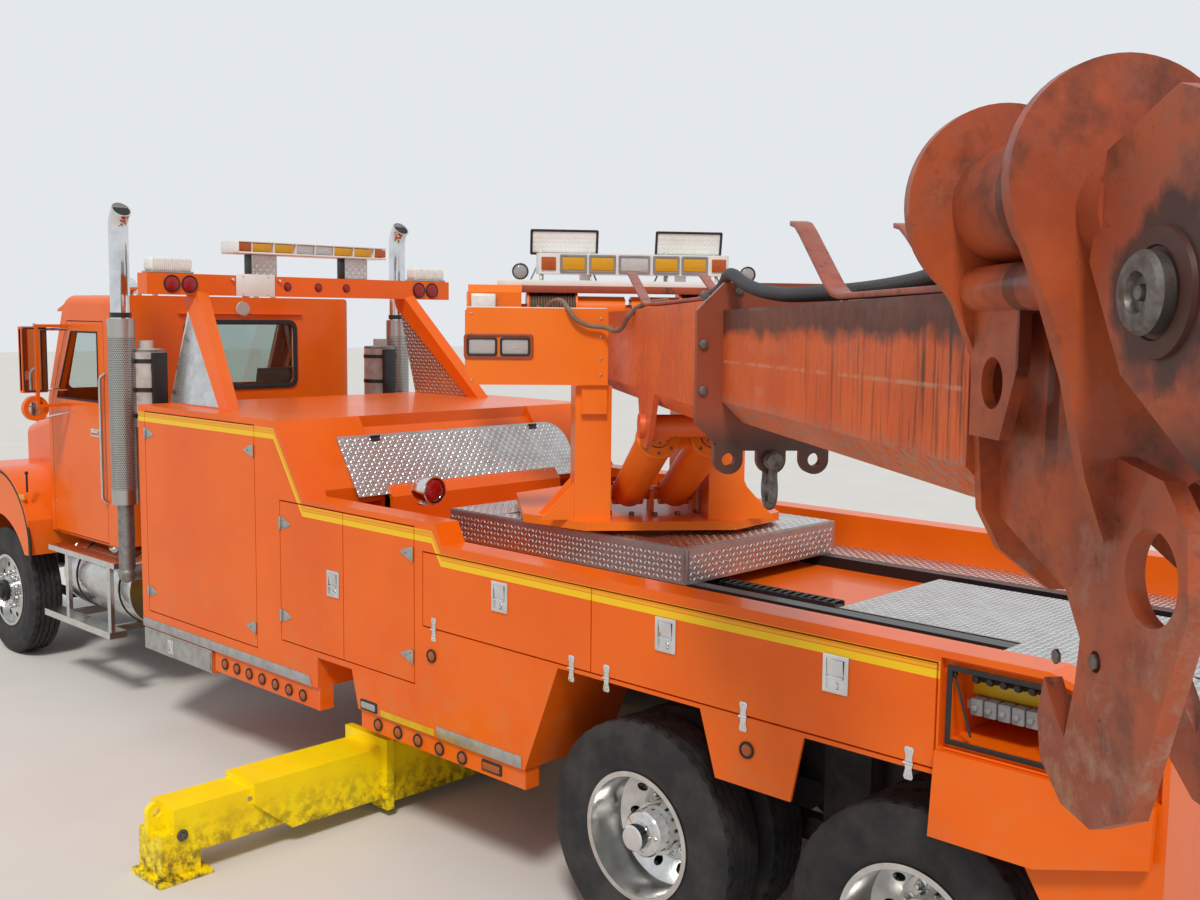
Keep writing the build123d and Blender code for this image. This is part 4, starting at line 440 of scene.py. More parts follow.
paint = node(
    tree, "Mix", node(tree, "Math", product(tree, greasy, 0.85), low_left, operation="MAXIMUM"), paint,
    "2A1F1C",
)
tree.links.new(paint, shader.inputs["Base Color"])
raised(tree, shader, node(tree, "TexNoise", place, 1000 / 10, 4, 0.55), 0.25)

# %% [markdown]
# ## Yellow outrigger paint
# Outriggers are painted safety yellow so that nobody trips on them. Sliding in and out scrapes the paint
# along the beam, and the foot is dirty from the ground, so scratches run across the truck, along each beam.

# %% Yellow enamel, scraped along the beam
outrigger_yellow, tree, shader = finish_of(
    "scraped_yellow_enamel", "FFE205", roughness=0.42, Coat_Weight=0.1, Specular_IOR_Level=0.25
)
place = place_of(tree)
paint = node(tree, "Mix", patches(tree, place, 300, 4, 0.55, 0.4, 0.7), "FFE404", "F8D503")
scrapes = patches(tree, place_of(tree, 0, (1, 0.08, 1)), 10, 3, 0.6, 0.69, 0.74)
paint = node(tree, "Mix", product(tree, scrapes, 0.7), paint, "8D7434")
height = node(tree, "SeparateXYZ", place, out="Z")
grime = product(
    tree, node(tree, "MapRange", height, 0.34, 0.04), patches(tree, place, 60, 5, 0.7, 0.42, 0.6)
)
paint = node(tree, "Mix", grime, paint, "5E4A22")
tree.links.new(paint, shader.inputs["Base Color"])
raised(tree, shader, node(tree, "TexNoise", place, 1000 / 12, 3, 0.55), 0.15)

# %% [markdown]
# ## Metals
# Polished aluminium (wheels, tanks), chrome plate (stacks, latches, mirrors), rolled aluminium tread plate,
# zinc-grey steel and dull wire rope differ in colour, roughness and grain. Each keeps metallic at 1, and
# the grain's size is real: grain 3 mm wide, rope strands 6 mm, dull spots 30 to 160 mm.

# %% Metals
def metal(name, base, dull, roughness, spread, size_mm, relief_mm=0.02, grain=(1, 1, 1)):
    """Bare or plated metal, with duller patches of size_mm and a faint grain."""
    material, tree, shader = finish_of(name, base, metallic=1.0, roughness=roughness)
    place = place_of(tree)
    patch = node(tree, "MapRange", node(tree, "TexNoise", place, 1000 / size_mm, 4, 0.65), 0.35, 0.75)
    tree.links.new(node(tree, "Mix", patch, base, dull), shader.inputs["Base Color"])
    tree.links.new(
        node(tree, "MapRange", patch, 0, 1, roughness, roughness + spread), shader.inputs["Roughness"]
    )
    raised(tree, shader, node(tree, "TexNoise", place_of(tree, 0, grain), 1000 / 3, 2, 0.55), relief_mm)
    return material


polished = metal("polished_aluminium", "D9D9D8", "BDBBB6", 0.14, 0.16, 90)
chrome = metal("chrome_plate", "E4E5E7", "C9C8C6", 0.07, 0.08, 160)
rod_chrome, tree, shader = finish_of("chromed_rods_with_painted_eye", "DADCDD", metallic=1.0, roughness=0.14)
turned = node(tree, "SeparateXYZ", place_of(tree, TURNED)).node.outputs
EYE_AT, EYE_R = (1.5 - 0.812, 2.375), 0.085
dx = node(tree, "Math", turned["X"], EYE_AT[0], operation="SUBTRACT")
dz = node(tree, "Math", turned["Z"], EYE_AT[1], operation="SUBTRACT")
reach = node(
    tree, "Math", node(tree, "Math", product(tree, dx, dx), product(tree, dz, dz), operation="ADD"),
    operation="SQRT",
)
painted = node(tree, "MapRange", reach, EYE_R, EYE_R - 0.001)
tree.links.new(node(tree, "Mix", painted, "DADCDD", "D95E1C"), shader.inputs["Base Color"])
tree.links.new(node(tree, "MapRange", painted, 0, 1, 1.0, 0.0), shader.inputs["Metallic"])
tree.links.new(node(tree, "MapRange", painted, 0, 1, 0.14, 0.42), shader.inputs["Roughness"])
tread_plate = metal("rolled_aluminium_tread_plate", "C4C1BF", "AAA5A1", 0.36, 0.14, 110, 0.05)
lug_metal = metal("worn_bright_lugs", "F4F3F1", "E2E0DD", 0.22, 0.12, 60, 0.02)
trim_metal = metal("mill_finish_aluminium", "BDBDBB", "A29F9A", 0.35, 0.15, 70, 0.03, (0.05, 1, 1))
galvanised = metal("dull_galvanised_steel", "9C9A97", "807C77", 0.5, 0.15, 45)
bare_steel = metal("worn_bare_steel", "7E7A77", "5A4A40", 0.45, 0.3, 30, 0.1)
rope_steel = metal("greasy_wire_rope", "7A6552", "4A3A2E", 0.5, 0.2, 6, 0.3)

# %% [markdown]
# ## Rubber, plastics and glass
# Tyre rubber is a dark grey that dust turns lighter on the tread. Moulded black plastic and painted chassis
# steel are near black but never pure black. Lamp lenses are coloured acrylic over a bright reflector, so
# they let some light through, and the cab glass is thin, clear and slightly green.

# %% Rubber, plastics and glass
def plain_finish(name, base, other, roughness, size_mm, relief_mm, grain_mm=2.0, **sockets):
    """A dielectric in two near shades, with a moulded or sprayed grain."""
    material, tree, shader = finish_of(name, base, roughness=roughness, **sockets)
    place = place_of(tree)
    patch = node(tree, "MapRange", node(tree, "TexNoise", place, 1000 / size_mm, 5, 0.6), 0.4, 0.7)
    tree.links.new(node(tree, "Mix", patch, base, other), shader.inputs["Base Color"])
    raised(tree, shader, node(tree, "TexNoise", place, 1000 / grain_mm, 2, 0.55), relief_mm)
    return material


tyre_rubber = plain_finish("dusty_tyre_rubber", "212022", "3A3735", 0.82, 140, 0.15, 4)
side_rubber = plain_finish("black_sidewall_rubber", "19191B", "262628", 0.68, 110, 0.08, 3)
black_rubber = plain_finish("black_rubber", "1E1E1F", "2A2928", 0.7, 60, 0.1)
black_plastic = plain_finish("moulded_black_plastic", "1B1B1C", "262627", 0.42, 80, 0.04, 1.5)
ribbed_hose, tree, shader = finish_of("ribbed_black_hose", "222224", roughness=0.55)
RIB_PITCH = 0.014
turned = node(tree, "SeparateXYZ", place_of(tree, TURNED)).node.outputs
rib = node(
    tree, "Math", node(tree, "Math", turned["X"], RIB_PITCH / 2, operation="DIVIDE"), 1.0,
    operation="PINGPONG",
)
tree.links.new(node(tree, "Mix", rib, "141415", "38383A"), shader.inputs["Base Color"])
raised(tree, shader, rib, 2.0)
hose_rubber = plain_finish("dusty_hose_rubber", "3B3A38", "555049", 0.78, 40, 0.2, 3)
chassis_paint = plain_finish("black_chassis_enamel", "232325", "3A3632", 0.5, 160, 0.1, 4, Coat_Weight=0.2)
dark_axle_paint = plain_finish("dusty_axle_paint", "2C2B2B", "4B443C", 0.7, 120, 0.2, 6)
grey_vinyl = plain_finish("grey_seat_vinyl", "5B5654", "6A6562", 0.6, 90, 0.12, 3)
white_enamel = plain_finish("white_enamel", "E9E8E4", "DDDBD4", 0.3, 200, 0.02, 4, Coat_Weight=0.4)
grey_paint = plain_finish("grey_machine_paint", "8B8C8D", "77777A", 0.45, 120, 0.05, 4)
yellow_plate = plain_finish("yellow_panel_enamel", "D9B117", "C79D10", 0.4, 80, 0.03, 4)
white_reflector = plain_finish("white_lamp_reflector", "E6E6E2", "D6D6D0", 0.3, 30, 0.05, 6)


def lens(name, base, clear=0.35, roughness=0.12):
    """Coloured acrylic: part of the light passes to the reflector behind, and moulded ribs catch the rest."""
    material, tree, shader = finish_of(name, base, roughness=roughness, Transmission_Weight=clear, IOR=1.49)
    ribs = node(tree, "TexWave", place_of(tree), 40.0, 0.0, out="Fac", bands_direction="Z")
    raised(tree, shader, ribs, 0.4)
    return material


red_lens = lens("red_acrylic_lens", "B3141A")
amber_lens = lens("amber_acrylic_lens", "F0B313")
deep_amber_lens = lens("deep_amber_acrylic_lens", "C8611A")
clear_lens = lens("clear_acrylic_lens", "E8EAEA", 0.6, 0.08)
window_glass = finish_of(
    "tinted_window_glass", "C9D4CF", roughness=0.02, Transmission_Weight=1.0, IOR=1.45
)[0]
mirror_glass = finish_of("silvered_mirror_glass", "C7CCD0", metallic=1.0, roughness=0.02)[0]
print("finishes:", len(bpy.data.materials))

# %% [markdown]
# ## Finishes on the CAD solids
# A solid whose shape is right stays as it is, and only its finish changes. The doors and the side bodies
# share one enamel, so that the stripe and the shade run across the seams.

# %% Give each solid its finish
NODE_FINISH = {
    body_enamel: ("body_", "tall_door_", "mid_door_", "low_door_", "control_door_"),
    cab_enamel: ("cab_shell", "cab_door_", "hood", "light_pylon"),
    deck_enamel: ("deck",),
    crane_enamel: ("turret", "light_panels", "lift_barrels", "winches"),
    boom_paint: ("boom_base",),
    inner_boom_paint: ("boom_inner",),
    head_paint: ("sheave_heads",),
    outrigger_yellow: ("outrigger_",),
    tread_plate: ("carriage",),
    chrome: ("grille_and_headlamps", "front_bumper"),
    polished: ("fuel_tanks", "front_rim_", "first_drive_rims_", "second_drive_rims_"),
    side_rubber: ("front_tyre_", "first_drive_tyres_", "second_drive_tyres_"),
    galvanised: ("exhaust_stacks",),
    chassis_paint: ("chassis_frame", "knuckle_", "front_axle"),
    dark_axle_paint: ("rear_axles", "engine_and_driveline"),
    grey_vinyl: ("cab_interior",),
    window_glass: ("cab_glass",),
    rod_chrome: ("lift_rods",),
    white_enamel: ("beacons", "top_rack"),
}


def finish_solid(solid, material):
    """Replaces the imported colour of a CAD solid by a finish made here."""
    solid.data.materials.clear()
    solid.data.materials.append(material)


for material, prefixes in NODE_FINISH.items():
    for name, solid in NODES.items():
        if name.startswith(prefixes):
            finish_solid(solid, material)
unfinished = [n for n, o in NODES.items() if o.data.materials[0].name not in {m.name for m in NODE_FINISH}]
print("nodes left plain:", unfinished)

# %% [markdown]
# ## Modelling helpers
# Every new piece starts as a primitive at its size and place, is shaped in edit mode or by modifiers that
# are then applied, and ends with its place in its mesh and its object at the origin. Small pieces that
# belong together are joined, so that the truck stays easy to search. What repeats is modelled once, and
# each copy gets its own mesh.

# %% Modelling helpers
def turned_at(place, axis, degrees):
    """A place with a turn about one axis, as a matrix."""
    return Matrix.Translation(place) @ Matrix.Rotation(radians(degrees), 4, axis)


TURRET = turned_at((1.06, 0, 0), "Z", 140)
PIVOT = Matrix.Translation((-0.45, 0, 2.7))
BOOM = TURRET @ PIVOT @ Matrix.Rotation(radians(-0.83), 4, "Y")
HERE = Matrix.Identity(4)


def modifier(piece, kind, **settings):
    """Adds a modifier with its settings and applies it."""
    select_only(piece)
    made = piece.modifiers.new(kind.lower(), kind)
    for name, value in settings.items():
        setattr(made, name, value)
    bpy.ops.object.modifier_apply(modifier=made.name)
    return piece


def settle(piece, at=HERE):
    """Puts the object's place, turn and scale into its mesh, then carries the mesh by a matrix."""
    select_only(piece)
    bpy.ops.object.transform_apply(location=True, rotation=True, scale=True)
    piece.data.transform(at)
    if at.determinant() < 0:
        piece.data.flip_normals()
    return piece


def block(size, centre, bevel=0.003, turn=(0, 0, 0), segments=2):
    """A box with rounded edges, of full size (x, y, z), turned by degrees about its centre."""
    bpy.ops.object.select_all(action="DESELECT")
    bpy.ops.mesh.primitive_cube_add(size=1, location=centre, rotation=[radians(a) for a in turn])
    piece = bpy.context.object
    piece.scale = size
    bpy.ops.object.transform_apply(location=False, rotation=False, scale=True)
    if bevel:
        modifier(piece, "BEVEL", width=bevel, segments=segments)
    return piece


AXIS_TURN = {"X": (0, 90, 0), "Y": (90, 0, 0), "-Y": (-90, 0, 0), "Z": (0, 0, 0)}


def drum(radius, length, centre, axis="Z", sides=40, bevel=0.0, turn=None):
    """A round bar along one axis, with its end edges rounded."""
    bpy.ops.object.select_all(action="DESELECT")
    angles = [radians(a) for a in (turn or AXIS_TURN[axis])]
    bpy.ops.mesh.primitive_cylinder_add(
        vertices=sides, radius=radius, depth=length, location=centre, rotation=angles
    )
    piece = bpy.context.object
    if bevel:
        modifier(piece, "BEVEL", width=bevel, segments=2, limit_method="ANGLE", angle_limit=radians(60))
    return piece


def mesh_piece(name, vertices, edges, faces):
    """A new object from its vertices, edges and faces."""
    mesh = bpy.data.meshes.new(name)
    mesh.from_pydata(vertices, edges, faces)
    piece = bpy.data.objects.new(name, mesh)
    bpy.context.scene.collection.objects.link(piece)
    return piece


def edit_all(piece):
    """Goes into edit mode with all of one piece selected."""
    select_only(piece)
    bpy.ops.object.mode_set(mode="EDIT")
    bpy.ops.mesh.select_all(action="SELECT")


def face_outwards(piece):
    """Turns all faces of a closed piece outwards."""
    edit_all(piece)
    bpy.ops.mesh.normals_make_consistent(inside=False)
    bpy.ops.object.mode_set(mode="OBJECT")
    return piece


def lathe(profile, centre=(0, 0, 0), axis="Z", steps=48):
    """A turned piece: a profile of (radius, height) points is spun about its axis and its seam welded."""
    chain = [(i, i + 1) for i in range(len(profile) - 1)]
    piece = mesh_piece("turned", [(r, 0, h) for r, h in profile], chain, [])
    edit_all(piece)
    bpy.ops.mesh.spin(steps=steps, angle=2 * pi, center=(0, 0, 0), axis=(0, 0, 1))
    bpy.ops.mesh.select_all(action="SELECT")
    bpy.ops.mesh.remove_doubles(threshold=0.00002)
    bpy.ops.mesh.normals_make_consistent(inside=False)
    bpy.ops.object.mode_set(mode="OBJECT")
    piece.rotation_euler = [radians(a) for a in AXIS_TURN[axis]]
    piece.location = centre
    return piece


def slab(points, thickness, at=HERE, bevel=0.0):
    """A flat plate from its outline of (x, y) points in its own plane, thickened upwards and edge-rounded."""
    piece = mesh_piece("slab", [(x, y, 0) for x, y in points], [], [list(range(len(points)))])
    edit_all(piece)
    bpy.ops.mesh.normals_make_consistent(inside=False)
    bpy.ops.mesh.extrude_region_move(TRANSFORM_OT_translate={"value": (0, 0, thickness)})
    bpy.ops.mesh.select_all(action="SELECT")
    bpy.ops.mesh.normals_make_consistent(inside=False)
    bpy.ops.object.mode_set(mode="OBJECT")
    if bevel:
        modifier(piece, "BEVEL", width=bevel, segments=2, limit_method="ANGLE", angle_limit=radians(40))
    piece.data.transform(at)
    return piece


def bar(points, radius, bend=0.06, sides=10, at=HERE):
    """A bent round bar or pipe through points, its corners rounded by a bend radius."""
    line = bpy.data.curves.new("bar", "CURVE")
    line.dimensions = "3D"
    line.bevel_depth = radius
    line.bevel_resolution = max(1, sides // 4 - 1)
    line.use_fill_caps = True
    spline = line.splines.new("POLY")
    rounded = [Vector(points[0])]
    for before, corner, after in zip(points, points[1:], points[2:]):
        corner = Vector(corner)
        to, on = (Vector(before) - corner), (Vector(after) - corner)
        cut = min(bend, to.length * 0.45, on.length * 0.45)
        start, end = corner + to.normalized() * cut, corner + on.normalized() * cut
        for share in (0, 0.2, 0.4, 0.6, 0.8, 1):
            rounded.append(start.lerp(corner, share).lerp(corner.lerp(end, share), share))
    rounded.append(Vector(points[-1]))
    spline.points.add(len(rounded) - 1)
    for point, place in zip(spline.points, rounded):
        point.co = (*place, 1)
    piece = bpy.data.objects.new("bar", line)
    bpy.context.scene.collection.objects.link(piece)
    select_only(piece)
    bpy.ops.object.convert(target="MESH")
    piece = bpy.context.object
    piece.data.transform(at)
    return piece


def copies(piece, places):
    """One mesh with a copy of a piece at each place, a matrix or a point. The first piece becomes it."""
    settle(piece)
    gathered = bmesh.new()
    for place in places:
        matrix = place if isinstance(place, Matrix) else Matrix.Translation(place)
        one = piece.data.copy()
        one.transform(matrix)
        if matrix.determinant() < 0:
            one.flip_normals()
        gathered.from_mesh(one)
        bpy.data.meshes.remove(one)
    gathered.to_mesh(piece.data)
    gathered.free()
    return piece


def joined(pieces):
    """Joins pieces that are already settled into the first one."""
    bpy.ops.object.select_all(action="DESELECT")
    for piece in pieces:
        piece.select_set(True)
    bpy.context.view_layer.objects.active = pieces[0]
    if len(pieces) > 1:
        bpy.ops.object.join()
    return pieces[0]


MADE = []


def finished(name, pieces, material, body="chassis", at=HERE, smooth=35, replaces=()):
    """Settles, joins and names pieces, gives them one finish, and lets the result ride on a body."""
    pieces = [settle(piece, at) for piece in (pieces if isinstance(pieces, list) else [pieces])]
    whole = joined(pieces)
    whole.name = whole.data.name = name
    whole.data.materials.clear()
    whole.data.materials.append(material)
    select_only(whole)
    if smooth:
        bpy.ops.object.shade_smooth_by_angle(angle=radians(smooth))
    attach(whole, body)
    for solid in replaces:
        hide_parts(solid)
    MADE.append(whole)
    return whole


SIDES = (("left", 1), ("right", -1))
MIRROR = Matrix.Scale(-1, 4, (0, 1, 0))
MIRRORED = (("left", HERE), ("right", MIRROR))

# %% [markdown]
# ## Tyres
# Heavy truck tyres have five ribs with zigzag grooves between them, notched shoulders that dig in, and a
# smooth sidewall with a few moulded rings. The section is drawn once, spun in 160 steps, and every second
# pair of steps is shifted the other way to make the zigzag, so the tread stays light enough for ten
# tyres. The rubber's own finish carries the dust and the fine grain.

# %% Tyres with real tread
TYRE_R = 0.525
GROOVE = 0.014
GROOVES_AT = (-0.064, -0.022, 0.022, 0.064)
GROOVE_HALF = 0.0055
TREAD_STEPS = 160


def tyre_profile():
    """Radius, offset and a note of what each point is, from the inner bead round to the outer one."""
    wall = [(0.2865, -0.108), (0.2985, -0.108), (0.312, -0.118), (0.318, -0.119), (0.335, -0.127)]
    wall += [(0.372, -0.133), (0.376, -0.1345), (0.41, -0.135), (0.448, -0.133), (0.452, -0.1345)]
    wall += [(0.47, -0.13), (0.492, -0.122), (0.508, -0.114), (0.52, -0.106)]
    points = [(r, y, "wall") for r, y in wall]
    points.append((TYRE_R - 0.001, -0.1, "shoulder"))
    for at in GROOVES_AT:
        edge = "shoulder" if at == GROOVES_AT[0] else "rib"
        points.append((TYRE_R, at - GROOVE_HALF - 0.001, edge))
        points.append((TYRE_R - GROOVE, at - GROOVE_HALF, "groove"))
        points.append((TYRE_R - GROOVE, at + GROOVE_HALF, "groove"))
        edge = "shoulder" if at == GROOVES_AT[-1] else "rib"
        points.append((TYRE_R, at + GROOVE_HALF + 0.001, edge))
    points.append((TYRE_R - 0.001, 0.1, "shoulder"))
    points += [(r, -y, "wall") for r, y in reversed(wall)]
    return points


def tyre_mesh():
    """One tyre about the Y axis at the origin."""
    profile = tyre_profile()
    places, faces = [], []
    count = len(profile)
    for step in range(TREAD_STEPS):
        angle = 2 * pi * step / TREAD_STEPS
        zigzag = 0.0035 if step % 4 < 2 else -0.0035
        for radius, offset, part in profile:
            across = offset + (zigzag if part in ("groove", "rib") or abs(offset) < 0.075 else 0)
            depth = 0.0
            if part == "shoulder" and step % 4 == 0:
                depth = 0.01
            if part == "rib" and step % 8 == 2:
                depth = 0.004
            out = radius - depth
            places.append((out * cos(angle), across, out * sin(angle)))
    for step in range(TREAD_STEPS):
        after = (step + 1) % TREAD_STEPS
        for i in range(count - 1):
            faces.append((step * count + i, step * count + i + 1, after * count + i + 1, after * count + i))
    return face_outwards(mesh_piece("tyre", places, [], faces))


FRONT_X, TRACK_Y = 7.08, 1.035
DRIVE_AXLES = (("first_drive", 0.0), ("second_drive", -1.37))
OUTER_Y, INNER_Y = 1.085, 0.755
for side, s in SIDES:
    tyre = copies(tyre_mesh(), [Vector((FRONT_X, s * TRACK_Y, TYRE_R))])
    finished(
        f"front_tread_{side}", tyre, tyre_rubber, f"front_wheel_{side}", replaces=[f"front_tyre_{side}"]
    )
    for axle, x in DRIVE_AXLES:
        pair = copies(tyre_mesh(), [Vector((x, s * y, TYRE_R)) for y in (OUTER_Y, INNER_Y)])
        name = f"{axle}_tread_{side}"
        finished(name, pair, tyre_rubber, f"{axle}_wheels_{side}", replaces=[f"{axle}_tyres_{side}"])

# %% [markdown]
# ## Wheel nuts and hubs
# Ten flanged nuts under pointed chrome covers hold each wheel. The drive wheels are deep dishes with a
# chrome hub cap over the axle flange, and the front wheel's hub cap stands out, dark. A nut's cover is
# turned from a profile with a flange at its foot, and copied round the bolt circle.

# %% Nuts and hub caps
NUT_CIRCLE = 0.1425


def nut():
    """A turned nut cover, pointing up, with a flange at its foot."""
    return lathe(
        [(0, 0.04), (0.009, 0.038), (0.0155, 0.03), (0.0185, 0.006), (0.025, 0.003), (0.025, 0)], steps=12
    )


def nut_places(x, y, outward, count=10):
    """Places round a wheel's bolt circle, each nut pointing outwards."""
    face = Matrix.Rotation(radians(-90 * outward), 4, "X")
    places = []
    for i in range(count):
        angle = 2 * pi * (i + 0.5) / count
        spot = Vector((x + NUT_CIRCLE * cos(angle), y, TYRE_R + NUT_CIRCLE * sin(angle)))
        places.append(Matrix.Translation(spot) @ face)
    return places


DRIVE_CAP = [
    (0, 0.135), (0.052, 0.134), (0.06, 0.128), (0.064, 0.07), (0.1, 0.062), (0.107, 0.054), (0.108, 0.0)
]
FRONT_CAP = [(0, 0.07), (0.05, 0.068), (0.062, 0.058), (0.066, 0.036), (0.086, 0.03), (0.088, 0.0)]
for side, s in SIDES:
    for axle, x in DRIVE_AXLES:
        face_y = s * (0.92 + 0.022)
        nuts = copies(nut(), nut_places(x, face_y, s))
        cap = lathe(DRIVE_CAP)
        studs = copies(drum(0.009, 0.016, (0, 0, 0), sides=6), [
            Vector((0.084 * cos(a), 0.084 * sin(a), 0.066))
            for a in [2 * pi * i / 8 for i in range(8)]
        ])
        out = turned_at((x, s * 1.09, TYRE_R), "X", -90 * s)
        cap, studs = settle(cap, out @ Matrix.Translation((0, 0, 0.0045))), settle(studs, out)
        finished(f"{axle}_nuts_{side}", [nuts, cap, studs], chrome, f"{axle}_wheels_{side}")
    face_y = s * (1.105 + 0.011)
    nuts = copies(nut(), nut_places(FRONT_X, face_y, s))
    finished(f"front_nuts_{side}", nuts, chrome, f"front_wheel_{side}")
    out = turned_at((FRONT_X, s * 1.168, TYRE_R), "X", -90 * s)
    hub = settle(lathe(FRONT_CAP), out)
    finished(f"front_hub_cap_{side}", hub, black_plastic, f"front_wheel_{side}")
print("wheels dressed:", len(MADE), "pieces")

# %% [markdown]
# ## Latches and hinges on the tool doors
# The doors shut with chromed paddle latches, a dished frame with a paddle and a key barrel, and hang on
# pointed strap hinges at their sides and small butterfly hinges along their lower edges. The leaves on a
# door ride on it, and the knuckles stay on the body. Each kind is modelled once, facing the truck's left,
# then copied to its places and mirrored to the right side.

# %% Selecting faces by their direction
def press_face(piece, direction, inset, depth):
    """Insets the faces that look along a direction and pushes them in, which makes a dished front."""
    select_only(piece)
    bpy.ops.object.transform_apply(location=False, rotation=True, scale=True)
    bpy.ops.object.mode_set(mode="EDIT")
    bpy.ops.mesh.select_all(action="DESELECT")
    bpy.ops.mesh.select_mode(type="FACE")
    bpy.ops.object.mode_set(mode="OBJECT")
    largest = max((p.area for p in piece.data.polygons if p.normal.dot(direction) > 0.99), default=0)
    for polygon in piece.data.polygons:
        polygon.select = polygon.normal.dot(direction) > 0.99 and polygon.area > 0.6 * largest
    bpy.ops.object.mode_set(mode="EDIT")
    bpy.ops.mesh.inset(thickness=inset, depth=0)
    bpy.ops.mesh.extrude_region_move(TRANSFORM_OT_translate={"value": direction * -depth})
    bpy.ops.object.mode_set(mode="OBJECT")
    return piece


OUT = Vector((0, 1, 0))
SIDE_Y = 1.285


def paddle_latch():
    """A dished chrome frame, its paddle hinged at the top, and the key barrel below."""
    frame_piece = press_face(block((0.116, 0.01, 0.15), (0, 0.003, 0), 0.004), OUT, 0.014, 0.007)
    paddle = block((0.07, 0.006, 0.07), (0, 0.006, 0.022), 0.002, (-7, 0, 0))
    lip = block((0.07, 0.012, 0.01), (0, 0.007, -0.014), 0.003)
    barrel = drum(0.013, 0.01, (0, 0.005, -0.045), "Y", 24, 0.002)
    return joined([settle(p) for p in (frame_piece, paddle, lip, barrel)])


LEAF = [(0, -0.036), (0.03, -0.034), (0.1, -0.006), (0.108, 0), (0.1, 0.006), (0.03, 0.034), (0, 0.036)]
LEAF_RIVETS = ((0.022, 0.018), (0.022, -0.018), (0.062, 0))


def strap_leaf():
    """A pointed leaf towards +X from the hinge line at the origin, with three rivets."""
    leaf = slab(LEAF, 0.004, bevel=0.001)
    leaf.rotation_euler = (radians(-90), 0, 0)
    rivets = [drum(0.0055, 0.004, (x, 0.006, z), "Y", 12, 0.0012) for x, z in LEAF_RIVETS]
    return joined([settle(p) for p in [leaf] + rivets])


HALF_LEAF = [(-0.018, 0), (-0.013, 0.02), (-0.02, 0.052), (-0.014, 0.062)]
HALF_LEAF += [(-x, z) for x, z in reversed(HALF_LEAF)]


def butterfly_leaf(upward):
    """One waisted leaf, up (1) or down (-1) from the knuckle, with four rivets."""
    leaf = slab([(x, upward * z) for x, z in HALF_LEAF], 0.003, bevel=0.0008)
    leaf.rotation_euler = (radians(90), 0, 0)
    leaf.location = (0, 0.004, 0)
    spots = [(x, upward * z) for x in (-0.007, 0.007) for z in (0.03, 0.048)]
    rivets = [drum(0.004, 0.003, (x, 0.005, z), "Y", 10, 0.001) for x, z in spots]
    return joined([settle(p) for p in [leaf] + rivets])


# %% Latches and hinges at their places
LATCHES = {
    "mid_door_front": ((2.205, 1.352),),
    "low_door_front": ((0.82, 1.504),),
    "low_door_rear": ((-0.233, 1.511), (-1.083, 1.517)),
}
STRAPS = {
    "tall_door": ((4.35, 2.04, -1), (3.016, 2.03, 1), (4.35, 0.975, -1), (3.016, 0.955, 1)),
    "mid_door_front": ((2.731, 1.634, -1), (2.731, 1.087, -1)),
    "mid_door_rear": ((1.493, 1.62, 1), (1.493, 1.078, 1)),
}
BUTTERFLY_Z = 1.252
BUTTERFLIES = {"low_door_front": (1.322, 0.329), "low_door_rear": (0.109, -0.652, -1.405)}


def flipped(x, z, towards, y=SIDE_Y):
    """A place on the side, with the piece's +X towards the front (1) or the rear (-1)."""
    return Matrix.Translation((x, y, z)) @ Matrix.Diagonal((towards, 1, 1, 1))


for side, at in MIRRORED:
    for door, spots in LATCHES.items():
        piece = copies(paddle_latch(), [flipped(x, z, 1) for x, z in spots])
        finished(f"{door}_latches_{side}", piece, chrome, f"{door}_{side}", at)
    knuckles = []
    for door, spots in STRAPS.items():
        piece = copies(strap_leaf(), [flipped(x, z, t) for x, z, t in spots])
        finished(f"{door}_hinges_{side}", piece, trim_metal, f"{door}_{side}", at)
        knuckles += [drum(0.008, 0.074, (x, SIDE_Y + 0.006, z), "Z", 20, 0.002) for x, z, t in spots]
    finished(f"hinge_knuckles_{side}", knuckles, trim_metal, "chassis", at)
    lower = []
    for door, spots in BUTTERFLIES.items():
        places = [flipped(x, BUTTERFLY_Z, 1) for x in spots]
        finished(f"{door}_leaves_{side}", copies(butterfly_leaf(1), places), chrome, f"{door}_{side}", at)
        lower.append(copies(butterfly_leaf(-1), places))
        lower += [drum(0.007, 0.042, (x, SIDE_Y + 0.004, BUTTERFLY_Z), "X", 20, 0.002) for x in spots]
    finished(f"butterfly_hinges_{side}", lower, chrome, "chassis", at)

# %% [markdown]
# ## Marker lamps, trim strips and the drawer box
# Small amber lamps in black rubber rings stand along both lamp rails, with one oblong flasher at the rear
# end. A strip of mill-finish aluminium protects the lower edge of the doors. The lamps are turned: a
# rubber grommet, then a domed lens.

# %% Marker lamps
RING = [
    (0.0, -0.004), (0.032, -0.004), (0.036, 0.004), (0.034, 0.01), (0.027, 0.008), (0.026, 0.002),
    (0, 0.002),
]
DOME = [(0.026, 0.002), (0.025, 0.007), (0.019, 0.012), (0.01, 0.015), (0, 0.016)]
RAIL_LAMPS = [
    (3.406, 0.652), (3.266, 0.65), (3.124, 0.648), (2.978, 0.646), (2.832, 0.644), (2.686, 0.642),
    (2.54, 0.64),
]
RAIL_LAMPS += [(1.816, 0.634), (1.642, 0.633), (1.472, 0.631), (1.295, 0.629), (1.115, 0.627)]
EXTRA_LAMPS = [(1.339, 1.112), (-0.674, 1.118)]
LAMP_FACE_Y = 1.27
OBLONG_RIM = (0.15, 0.058)
FLASHER = Matrix.Translation((0.892, LAMP_FACE_Y, 0.634))


def round_lamp(profile):
    """A turned lamp part facing the truck's left."""
    return lathe(profile, axis="-Y", steps=28)


def oblong(size, depth, bevel):
    """A long lamp part with round ends, facing left."""
    piece = block((size[0], depth, size[1]), (0, 0, 0), 0)
    return modifier(piece, "BEVEL", width=bevel, segments=5)


